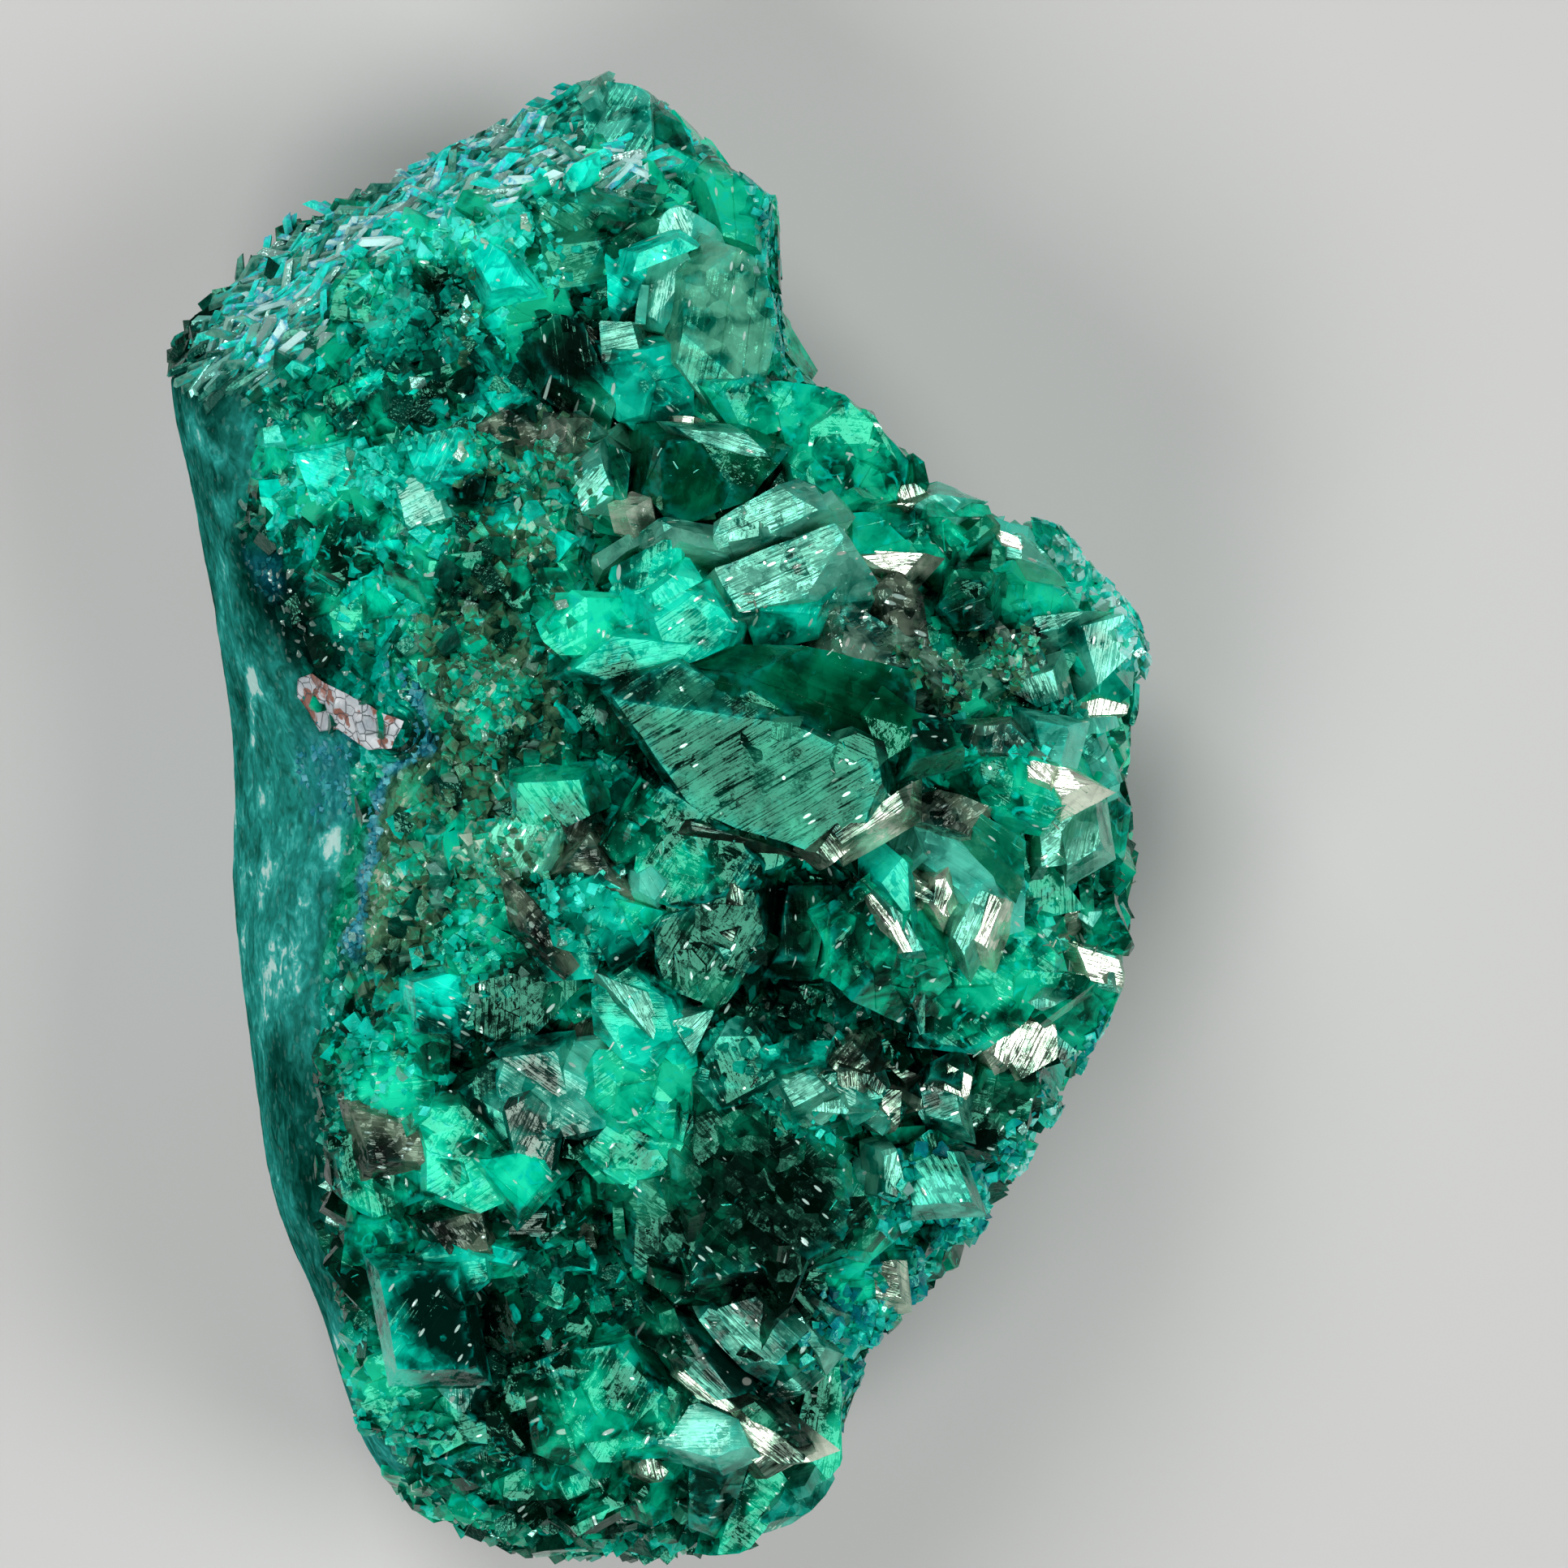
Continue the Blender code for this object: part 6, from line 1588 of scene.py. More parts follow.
@dataclass
class StoneBody:
    """The matrix that the crystals stand on, and the smooth wall on its left."""

    foot_scale: float = 0.72
    heel_scale: float = 0.90
    heel_z: float = 0.0016
    foot_centre: Point2 = (830, 1030)
    waist_share: float = 0.45
    waist_bulge: float = 0.0006
    shoulder_share: float = 0.42
    crown_share: float = 0.82
    crown_ends: Point2 = (330, 1740)
    body_drop: float = 0.0005
    voxel_mm: float = 0.262
    grain_mm: tuple[float, float] = (1.15, 0.48)
    grain_depth_mm: tuple[float, float] = (0.34, 0.14)
    wall_depth_mm: float = 0.10
    flat_foot_mm: float = 0.6
    flank_inset_mm: float = 0.35
    band_foot_mm: float = 7.5
    mesh: Any = None
    masks: dict[Zone, np.ndarray] = field(default_factory=dict)

    def rings(self) -> list[list[Vector]]:
        """Return the rings of the loft, from the foot to the crown."""
        found: list[list[Vector]] = [[] for _ in range(7)]
        centre = SHEET.place(*self.foot_centre, 0.0)
        for (wide_x, wide_y, wide_z), (rim_x, rim_y, rim_z) in STATIONS:
            widest = SHEET.place(wide_x, wide_y, wide_z * MM)
            rim = SHEET.place(rim_x, rim_y, rim_z * MM)
            below = Vector((widest.x, widest.y, 0.0))
            foot = centre.lerp(below, self.foot_scale)
            heel = centre.lerp(below, self.heel_scale)
            heel.z = self.heel_z
            outward = (below - centre).normalized()
            waist = widest.lerp(rim, self.waist_share) + outward * self.waist_bulge
            middle, _ = SHEET.crest(rim_y)
            inner = min(max(rim_y, self.crown_ends[0]), self.crown_ends[1])
            upper = []
            for share in (self.shoulder_share, self.crown_share):
                x = rim_x + (middle - rim_x) * share
                y = rim_y + (inner - rim_y) * share
                upper.append(SHEET.place(x, y, SHEET.surface(x, y) - self.body_drop))
            for ring, point in zip(found, (foot, heel, widest, waist, rim, *upper)):
                ring.append(point)
        return found

    def build(self) -> Any:
        """Loft, round and roughen the body.

        Returns:
            The object.
        """
        shape = bmesh.new()
        loops = [[shape.verts.new(point) for point in ring] for ring in self.rings()]
        count = len(STATIONS)
        for lower, upper in zip(loops, loops[1:]):
            for index in range(count):
                after = (index + 1) % count
                shape.faces.new((lower[index], upper[index], upper[after], lower[after]))
        shape.faces.new(loops[0])
        shape.faces.new(loops[-1])
        creases = shape.edges.layers.float.new("crease_edge")
        for index in range(count):
            shape.edges.get((loops[0][index], loops[0][(index + 1) % count]))[creases] = 1.0
        bmesh.ops.recalc_face_normals(shape, faces=shape.faces[:])
        item = keep_shape(shape, "matrix")
        rounded = item.modifiers.new("rounded", "SUBSURF")
        rounded.levels = rounded.render_levels = 2
        even = item.modifiers.new("even", "REMESH")
        even.mode = "VOXEL"
        even.voxel_size = self.voxel_mm * MM
        bake_modifiers(item)
        self.mesh = item.data
        self._paint()
        self._roughen()
        self.mesh.shade_flat()
        return item

    def _points(self) -> np.ndarray:
        """Return the places of the vertices."""
        flat = np.empty(len(self.mesh.vertices) * 3)
        self.mesh.vertices.foreach_get("co", flat)
        return flat.reshape(-1, 3)

    def _paint(self) -> None:
        """Work out how much of each zone is at each vertex."""
        points = self._points()
        spots = SHEET.spots(points)
        ragged = fractal(points, 0.9, 4)
        spots = spots + np.stack((ragged, fractal(points + 0.1, 0.9, 4)), axis=1) * 9
        for zone in Zone:
            self.masks[zone] = np.zeros(len(points))
        for row in ZONES:
            inside = within(spots, row.outline)
            share = np.clip(0.5 + inside / (2 * row.feather), 0, 1) * row.strength
            self.masks[row.zone] = np.maximum(self.masks[row.zone], share)
        wall = self.masks[Zone.RIND]
        level = (points[:, 2] / MM - self.band_foot_mm) / 3.0 + ragged * 1.5
        self.masks[Zone.FOLIATED] *= np.clip(level, 0, 1)
        self.masks[Zone.BLUE] *= np.clip(1.3 - wall * 0.6, 0, 1)
        for zone in Zone:
            layer = self.mesh.attributes.new(zone.value, "FLOAT", "POINT")
            layer.data.foreach_set("value", self.masks[zone])

    def _roughen(self) -> None:
        """Break the surface into grains, and leave the wall and the foot smooth."""
        points = self._points()
        normals = np.empty(len(points) * 3)
        self.mesh.vertices.foreach_get("normal", normals)
        normals = normals.reshape(-1, 3)
        wall = self.masks[Zone.RIND]
        shift = np.zeros(len(points))
        for size, depth in zip(self.grain_mm, self.grain_depth_mm):
            for index, point in enumerate(points / (size * MM)):
                seed = noise.voronoi(Vector(point))[1][0]
                tilt = noise.cell_vector(seed * 7.3 + Vector((0.37, 0.71, 0.13)))
                shift[index] += (Vector(point) - seed).dot(tilt * 2 - Vector((1, 1, 1))) * depth
        shift *= 1.0 - 0.93 * wall
        shift += fractal(points, 3.5, 3) * self.wall_depth_mm
        foot = np.clip((points[:, 2] / MM - 0.15) / self.flat_foot_mm, 0, 1)
        shift -= self.flank_inset_mm * np.clip(1.0 - normals[:, 2] * 1.6, 0, 1) * (1.0 - wall)
        points += normals * (shift * foot * MM)[:, None]
        points[:, 2] = np.maximum(points[:, 2], 0.0)
        self.mesh.vertices.foreach_set("co", points.ravel())
        self.mesh.update()

    def keep_density(self, name: str, values: np.ndarray) -> None:
        """Keep a number on each vertex for a scatter to read."""
        layer = self.mesh.attributes.new(name, "FLOAT", "POINT")
        layer.data.foreach_set("value", np.clip(values, 0, 1))

    def normals_up(self) -> np.ndarray:
        """Return how far each vertex faces up, from -1 to 1."""
        normals = np.empty(len(self.mesh.vertices) * 3)
        self.mesh.vertices.foreach_get("normal", normals)
        return normals.reshape(-1, 3)[:, 2]

    def densities(self) -> None:
        """Work out where each kind of small crystal grows."""
        zones = self.masks
        heights = self._points()[:, 2] / MM
        clear = (1 - zones[Zone.RIND]) * np.clip((heights - 1.2) / 1.5, 0, 1)
        clear = clear * (1 - zones[Zone.SMOOTH] * 0.95)
        steep = np.clip(0.35 + self.normals_up() * 1.1, 0.3, 1.0)
        banded = 1 - zones[Zone.FOLIATED]
        plain = clear * banded
        other = (1 - zones[Zone.OLIVE] * 0.8) * (1 - zones[Zone.TURQUOISE] * 0.7)
        self.keep_density("grow_green", plain * other * steep)
        self.keep_density("grow_blocks", plain * (1 - zones[Zone.OLIVE] * 0.9) * steep)
        self.keep_density("grow_turquoise", clear * (0.10 + zones[Zone.TURQUOISE] * 0.9
                                                     + zones[Zone.BRIGHT] * 0.5))
        self.keep_density("grow_olive", clear * zones[Zone.OLIVE])
        # Dark small crystals grow thinly everywhere and thickly in the DEEP patches, where their near-black colour
        # adds to the painted shade.
        self.keep_density("grow_dark", plain * (0.18 + zones[Zone.DEEP]))
        self.keep_density("grow_blade", zones[Zone.FOLIATED])
        self.keep_density("grow_blue", zones[Zone.BLUE])


def bake_modifiers(item: Any) -> None:
    """Turn an object's modifiers into its plain mesh."""
    bpy.context.view_layer.update()
    shown = item.evaluated_get(bpy.context.evaluated_depsgraph_get())
    mesh = bpy.data.meshes.new_from_object(shown)
    mesh.name = item.name
    item.modifiers.clear()
    item.data = mesh


@dataclass(frozen=True)
class MatrixFinish:
    """The granular matrix, its patches and its wall, in scene linear colours; the wall's waxy gloss
    and the shade of the deep patches are painted.
    """

    roughness: float = 0.32
    gloss_tint: Colour = (0.3, 0.9, 0.78)
    ior: float = 1.6

    def material(self, name: str) -> Any:
        """Build the material and return it."""
        shader = Shader(name)
        place = shader.place
        grains = shader.cells(place, 2.1)
        fine = shader.cells(place, 5.5)
        pick = shader.out(shader.node("ShaderNodeSeparateColor", None, {0: shader.out(grains, "Color")}))
        small = shader.out(shader.node("ShaderNodeSeparateColor", None, {0: shader.out(fine, "Color")}))
        cloud = shader.cloud(place, 1.1, 5.0, 0.8)
        # glow brings in the light and dark parts, partly the matrix's own tone and partly painted shade and
        # highlights.
        mixed = (pick * 0.5 + small * 0.35 + cloud * 0.9 + shader.value("glow") * 0.35 - 0.38)
        mixed = mixed.clamped()
        green = shader.ramp(mixed, (
            (0.0, (0.0, 0.02, 0.014)), (0.3, (0.0, 0.09, 0.055)), (0.55, (0.0, 0.22, 0.15)),
            (0.8, (0.0, 0.42, 0.32)), (1.0, (0.12, 0.70, 0.58))))
        olive = shader.ramp(mixed, (
            (0.0, (0.006, 0.03, 0.016)), (0.35, (0.03, 0.10, 0.05)), (0.6, (0.09, 0.20, 0.11)),
            (0.8, (0.03, 0.32, 0.16)), (1.0, (0.42, 0.50, 0.36))))
        turquoise = shader.ramp(mixed, (
            (0.0, (0.0, 0.12, 0.09)), (0.4, (0.0, 0.42, 0.32)), (0.75, (0.0, 0.68, 0.56)),
            (1.0, (0.10, 0.85, 0.78))))
        # Painted shade for the DEEP patches: near black.
        deep = shader.ramp(mixed, (
            (0.0, (0.0, 0.004, 0.003)), (0.6, (0.003, 0.025, 0.02)), (0.9, (0.0, 0.12, 0.085)),
            (1.0, (0.10, 0.22, 0.18))))
        blue = shader.ramp(mixed, (
            (0.0, (0.0, 0.08, 0.11)), (0.5, (0.015, 0.20, 0.29)), (1.0, (0.15, 0.50, 0.60))))
        pale = shader.ramp(mixed, (
            (0.0, (0.04, 0.12, 0.08)), (0.5, (0.18, 0.33, 0.25)), (1.0, (0.55, 0.62, 0.52))))
        bright = shader.ramp(mixed, (
            (0.0, (0.0, 0.10, 0.04)), (0.5, (0.0, 0.32, 0.15)), (1.0, (0.05, 0.55, 0.35))))
        foliated = shader.ramp(mixed, (
            (0.0, (0.01, 0.06, 0.06)), (0.4, (0.03, 0.22, 0.19)), (0.7, (0.0, 0.48, 0.42)),
            (1.0, (0.30, 0.55, 0.55))))
        # The wall reflects nothing of its own (Specular IOR Level 0): the pale top of its ramp paints glossy
        # reflection blobs, and the dark end, led by the dark parts of glow, paints shade; between them is its own
        # dark teal mottling.
        wall_cloud = shader.cloud(place, 0.35, 4.0, 0.6)
        blotch = shader.cloud(place, 1.3, 5.0, 1.2)
        glow = shader.value("glow")
        wall_tone_and_painted_gloss = (wall_cloud * 1.0 + blotch * 1.0 + small * 0.10 + glow * 0.42 - 0.48).clamped()
        wall = shader.ramp(wall_tone_and_painted_gloss, (
            (0.0, (0.0, 0.026, 0.017)), (0.30, (0.004, 0.088, 0.066)), (0.50, (0.012, 0.18, 0.145)),
            (0.70, (0.02, 0.31, 0.265)), (0.86, (0.06, 0.50, 0.44)), (0.96, (0.50, 0.78, 0.72))))
        colour = green
        for zone, tone in (
            (Zone.OLIVE, olive), (Zone.TURQUOISE, turquoise), (Zone.BRIGHT, bright),
            (Zone.PALE, pale), (Zone.FOLIATED, foliated), (Zone.RIND, wall), (Zone.DEEP, deep),
            (Zone.BLUE, blue),
        ):
            colour = shader.mix(shader.value(zone.value), colour, tone)
        rind = shader.value(Zone.RIND.value)
        glint = small.step(0.90, 0.93) * (1.0 - rind * 0.9)
        colour = shader.mix(glint * 0.5, colour, (0.55, 0.72, 0.64))
        relief = shader.cloud(place, 4.0, 5.0) * 0.6 + shader.out(fine, "Distance") * 0.5
        tilted = shader.facets(place, 3.1, 0.34)
        plain = self._plain_normal(shader)
        normal = shader.bump(relief * (1.0 - rind * 0.55), 0.6, 0.22, shader.mix(rind, tilted, plain))
        shader.principled({
            "Base Color": colour,
            "Metallic": (glint * 0.55 + shader.value(Zone.FOLIATED.value) * 0.15).clamped(),
            "Roughness": (self.roughness - rind * 0.12 + cloud * 0.1 - glint * 0.15).clamped(),
            "IOR": self.ior,
            "Specular IOR Level": 0.0,
            "Specular Tint": self.gloss_tint,
            "Normal": normal,
        })
        return shader.material

    @staticmethod
    def _plain_normal(shader: Shader) -> Wire:
        """Return the surface's own normal."""
        return shader.out(shader.node("ShaderNodeNewGeometry"), "Normal")


class Scatter:
    """A node tree that grows small pieces over the faces of another mesh."""

    def __init__(self, name: str) -> None:
        """Build the tree with its named inputs."""
        self.tree = bpy.data.node_groups.new(name, "GeometryNodeTree")
        self.sockets: dict[str, str] = {}
        self._input("Carrier", "NodeSocketGeometry")
        for label, kind in (
            ("Where", "NodeSocketString"), ("Pieces", "NodeSocketCollection"),
            ("Finish", "NodeSocketMaterial"), ("Per square metre", "NodeSocketFloat"),
            ("Smallest", "NodeSocketFloat"), ("Largest", "NodeSocketFloat"),
            ("Lean", "NodeSocketFloat"), ("Run", "NodeSocketVector"),
            ("Run strength", "NodeSocketFloat"), ("Seed", "NodeSocketInt"),
        ):
            self._input(label, kind)
        self.tree.interface.new_socket(
            name="Result", in_out="OUTPUT", socket_type="NodeSocketGeometry")
        self.ins = self.tree.nodes.new("NodeGroupInput")
        self._wire()

    def _input(self, label: str, kind: str) -> None:
        """Add one named input and remember its identifier."""
        socket = self.tree.interface.new_socket(name=label, in_out="INPUT", socket_type=kind)
        self.sockets[label] = socket.identifier

    def _node(self, kind: str, settings: dict[str, Any], inputs: dict[Any, Any]) -> Any:
        """Add a node, set its properties, then its values and links."""
        node = self.tree.nodes.new(kind)
        for key, value in settings.items():
            setattr(node, key, value)
        for key, value in inputs.items():
            socket = node.inputs[key]
            if isinstance(value, bpy.types.NodeSocket):
                self.tree.links.new(value, socket)
            else:
                socket.default_value = value
        return node

    def _wire(self) -> None:
        """Wire the tree: points on faces, a piece on each, then one plain mesh."""
        ins = self.ins.outputs
        mask = self._node("GeometryNodeInputNamedAttribute", {"data_type": "FLOAT"},
                          {"Name": ins["Where"]})
        rate = self._node("ShaderNodeMath", {"operation": "MULTIPLY"},
                          {0: mask.outputs["Attribute"], 1: ins["Per square metre"]})
        points = self._node("GeometryNodeDistributePointsOnFaces", {"distribute_method": "RANDOM"},
                            {"Mesh": ins["Carrier"], "Density": rate.outputs[0],
                             "Seed": ins["Seed"]})
        lean = self._node("FunctionNodeRandomValue", {"data_type": "FLOAT_VECTOR"},
                          {0: (-1.0, -1.0, -1.0), 1: (1.0, 1.0, 1.0), "Seed": ins["Seed"]})
        leaned = self._node("ShaderNodeVectorMath", {"operation": "SCALE"},
                            {"Vector": lean.outputs[0], "Scale": ins["Lean"]})
        axis = self._node("ShaderNodeVectorMath", {"operation": "ADD"},
                          {0: points.outputs["Normal"], 1: leaned.outputs[0]})
        upright = self._node("FunctionNodeAlignRotationToVector", {"axis": "Z"},
                             {"Vector": axis.outputs[0]})
        spin = self._node("FunctionNodeRandomValue", {"data_type": "FLOAT_VECTOR"},
                          {0: (-1.0, -1.0, -1.0), 1: (1.0, 1.0, 1.0), "Seed": 77})
        held = self._node("ShaderNodeVectorMath", {"operation": "SCALE"},
                          {"Vector": ins["Run"], "Scale": ins["Run strength"]})
        run = self._node("ShaderNodeVectorMath", {"operation": "ADD"},
                         {0: spin.outputs[0], 1: held.outputs[0]})
        turned = self._node("FunctionNodeAlignRotationToVector", {"axis": "X", "pivot_axis": "Z"},
                            {"Rotation": upright.outputs[0], "Vector": run.outputs[0]})
        size = self._node("FunctionNodeRandomValue", {"data_type": "FLOAT"},
                          {2: ins["Smallest"], 3: ins["Largest"], "Seed": ins["Seed"]})
        pieces = self._node("GeometryNodeCollectionInfo", {},
                            {"Collection": ins["Pieces"], "Separate Children": True,
                             "Reset Children": True})
        grown = self._node("GeometryNodeInstanceOnPoints", {},
                           {"Points": points.outputs["Points"], "Instance": pieces.outputs[0],
                            "Pick Instance": True, "Rotation": turned.outputs[0],
                            "Scale": size.outputs[1]})
        tone = self._node("FunctionNodeRandomValue", {"data_type": "FLOAT"}, {"Seed": 5})
        toned = self._node("GeometryNodeStoreNamedAttribute",
                           {"data_type": "FLOAT", "domain": "INSTANCE"},
                           {"Geometry": grown.outputs[0], "Name": "tone",
                            "Value": tone.outputs[1]})
        real = self._node("GeometryNodeRealizeInstances", {}, {"Geometry": toned.outputs[0]})
        dressed = self._node("GeometryNodeSetMaterial", {},
                             {"Geometry": real.outputs[0], "Material": ins["Finish"]})
        self._node("NodeGroupOutput", {}, {0: dressed.outputs[0]})

    def grow(self, name: str, carrier: Any, values: dict[str, Any]) -> Any:
        """Grow pieces over a carrier and keep them as one plain mesh.

        Args:
            name: the name of the piece.
            carrier: the object whose faces carry the pieces.
            values: the tree's inputs by name.

        Returns:
            The object.
        """
        item = bpy.data.objects.new(name, carrier.data)
        bpy.context.scene.collection.objects.link(item)
        growth = item.modifiers.new(name, "NODES")
        growth.node_group = self.tree
        for label, value in values.items():
            growth[self.sockets[label]] = value
        bake_modifiers(item)
        return item


@dataclass
class Ground:
    """The surface that later pieces are set on, found from above."""

    tree: Any = None

    def read(self, items: Sequence[Any]) -> None:
        """Take in the faces of the pieces that are already in place."""
        points: list[Vector] = []
        faces: list[tuple[int, ...]] = []
        for item in items:
            start = len(points)
            points.extend(vertex.co.copy() for vertex in item.data.vertices)
            faces.extend(
                tuple(start + index for index in face.vertices) for face in item.data.polygons
            )
        self.tree = BVHTree.FromPolygons(points, faces)

    def height(self, x: float, y: float) -> float:
        """Return the height of the first surface that is seen at this sheet place."""
        eye = Vector((SHEET.eye_x, SHEET.eye_y, SHEET.eye_height + SHEET.datum))
        aim = (SHEET.place(x, y, SHEET.datum) - eye).normalized()
        hit = self.tree.ray_cast(eye, aim)[0]
        return hit.z if hit is not None else SHEET.surface(x, y)


    def open(self, item: Any, reach: float, sight: float) -> np.ndarray:
        """Return 1 for each vertex that stands in the open and 0 for each that is buried.

        Args:
            item: the object.
            reach: how far above the surface to look from.
            sight: how far to look.

        Returns:
            One number per vertex.
        """
        found = np.ones(len(item.data.vertices))
        for index, vertex in enumerate(item.data.vertices):
            start = vertex.co + vertex.normal * reach
            normal = self.tree.ray_cast(start, vertex.normal, sight)[1]
            if normal is not None and normal.dot(vertex.normal) > 0:
                found[index] = 0.0
        return found


def keep_numbers(item: Any, name: str, values: np.ndarray) -> None:
    """Keep one number per vertex on an object's mesh."""
    layer = item.data.attributes.get(name) or item.data.attributes.new(name, "FLOAT", "POINT")
    layer.data.foreach_set("value", values.astype(np.float32))


@dataclass
class Cluster:
    """All the crystals that are large enough to be placed one by one."""

    flank_stations: range = range(19, 44)
    flank_rows: tuple[float, ...] = (-0.62, -0.05, 0.42, 0.80)
    flank_lean: tuple[float, float] = (62, 88)
    flank_turn: float = 26
    flank_radius_mm: tuple[float, float] = (1.0, 1.75)
    flank_length_mm: float = 5.0
    flank_proud: float = -0.0002
    flank_proud_spread: float = 0.0004
    flank_share: float = 0.62
    flank_level_spread: float = 0.10
    flank_low_lean: float = 12
    flank_high_lean: float = 8
    seed: int = 27
    facet_depth_mm: float = 1.3
    facet_lift_mm: float = 0.10
    crystals: Crystals = field(default_factory=Crystals)

    def large(self) -> None:
        """Grow the broad and pointed crystals of the crystal side."""
        for row in BROAD_CRYSTALS:
            self.crystals.broad(row)
        for row in POINTED_CRYSTALS:
            tip = SHEET.place(row.x, row.y, SHEET.surface(row.x, row.y) + row.rise_mm * MM)
            self.crystals.pointed(
                row.look, tip, leaning(row.lean, row.direction), row.roll, row.radius_mm,
                row.length_mm, random.Random(row.name),
            )

    def flank(self) -> None:
        """Grow the crystals that stand out of the broken flank."""
        rng = random.Random(self.seed)
        looks = random.Random(self.seed + 1)
        body = StoneBody()
        centre = SHEET.place(*body.foot_centre, 0.0)
        choices = (Look.GREEN, Look.DEEP, Look.BRIGHT, Look.TEAL, Look.TURQUOISE, Look.DARK,
                   Look.GREY_GREEN, Look.SILVER)
        shares = (26, 12, 16, 16, 9, 9, 7, 5)
        for station in self.flank_stations:
            (wide_x, wide_y, wide_z), (rim_x, rim_y, rim_z) = STATIONS[station]
            widest = SHEET.place(wide_x, wide_y, wide_z * MM)
            rim = SHEET.place(rim_x, rim_y, rim_z * MM)
            below = Vector((widest.x, widest.y, 0.0))
            heel = centre.lerp(below, body.heel_scale)
            heel.z = body.heel_z
            outward = (below - centre).normalized()
            for row in self.flank_rows:
                level = row + rng.uniform(-self.flank_level_spread, self.flank_level_spread)
                spot = widest.lerp(rim, level) if level > 0 else widest.lerp(heel, -level)
                turn = math.degrees(math.atan2(outward.y, outward.x))
                turn += rng.uniform(-self.flank_turn, self.flank_turn)
                lean = rng.uniform(*self.flank_lean)
                lean += self.flank_low_lean if level < 0 else -self.flank_high_lean * level
                radius = rng.uniform(*self.flank_radius_mm)
                roll = rng.uniform(0, 60)
                proud = self.flank_proud + rng.uniform(
                    -self.flank_proud_spread, self.flank_proud_spread)
                if rng.random() < self.flank_share:
                    look = looks.choices(choices, shares)[0]
                    self.crystals.pointed(
                        look, spot + outward * proud, leaning(lean, turn), roll, radius,
                        self.flank_length_mm, looks,
                    )

    def facets(self, ground: Ground) -> "Crystals":
        """Set the small faces on the crystals that are already there.

        Args:
            ground: the surface of the large crystals and the matrix.

        Returns:
            The crystals that were grown.
        """
        small = Crystals(chip_depth_mm=(0.02, 0.10), side_flare=25.0, outline_growth=1.22)
        small.grower = Grower(finest_mm=0.4, wear_mm=0.03, rim_reach_mm=0.16, step_rise_mm=0.02,
                              step_gap_mm=(0.15, 0.4))
        for index, row in enumerate(SMALL_FACETS):
            mid_x = sum(point[0] for point in row.outline) / len(row.outline)
            mid_y = sum(point[1] for point in row.outline) / len(row.outline)
            lean, direction = row.facing.value
            height = ground.height(mid_x, mid_y) + self.facet_lift_mm * MM
            up = leaning(lean, direction)
            for x, y in row.outline:
                near = (mid_x + (x - mid_x) * 0.6, mid_y + (y - mid_y) * 0.6)
                corner = SHEET.place(*near, height)
                middle = SHEET.place(mid_x, mid_y, height)
                drop = ((corner.x - middle.x) * up.x + (corner.y - middle.y) * up.y) / up.z
                height = max(height, ground.height(*near) + drop + self.facet_lift_mm * MM / 2)
            broad = BroadRow("facet_%02d" % index, row.look, lean, direction, 0.0, row.outline,
                             row.striae)
            small.broad(broad, height, self.facet_depth_mm, 3)
        return small


def small_crystals(name: str, count: int, squat: float, seed: int) -> Any:
    """Make the shapes that a scatter grows from.

    Args:
        name: the collection's name.
        count: how many shapes.
        squat: length of a shape for a width of one.
        seed: for the shapes' random draws.

    Returns:
        A collection of shapes about one unit wide, left out of the scene.
    """
    kept = bpy.data.collections.new(name)
    rng = random.Random(seed)
    for index in range(count):
        tip = Vector((0, 0, 0.5 * squat))
        planes = [(tip - Vector((0, 0, squat)), Vector((0, 0, -1)))]
        stretch = rng.uniform(0.65, 1.0)
        for side in range(4):
            turn = math.radians(90 * side + rng.uniform(-14, 14))
            outward = Vector((math.cos(turn), math.sin(turn) * stretch, 0)).normalized()
            planes.append((outward * rng.uniform(0.34, 0.5), outward))
            if side == 0:
                turn += math.radians(45)
                tilt = math.radians(rng.uniform(18, 36))
                outward = Vector((math.cos(turn), math.sin(turn), 0)) * math.sin(tilt)
                outward.z = math.cos(tilt)
                planes.append((tip - outward * rng.uniform(0.0, 0.18), outward))
        shape = cut_stock(Vector(), planes, 3.0)
        mesh = bpy.data.meshes.new("%s_%d" % (name, index))
        shape.to_mesh(mesh)
        shape.free()
        kept.objects.link(bpy.data.objects.new(mesh.name, mesh))
    return kept


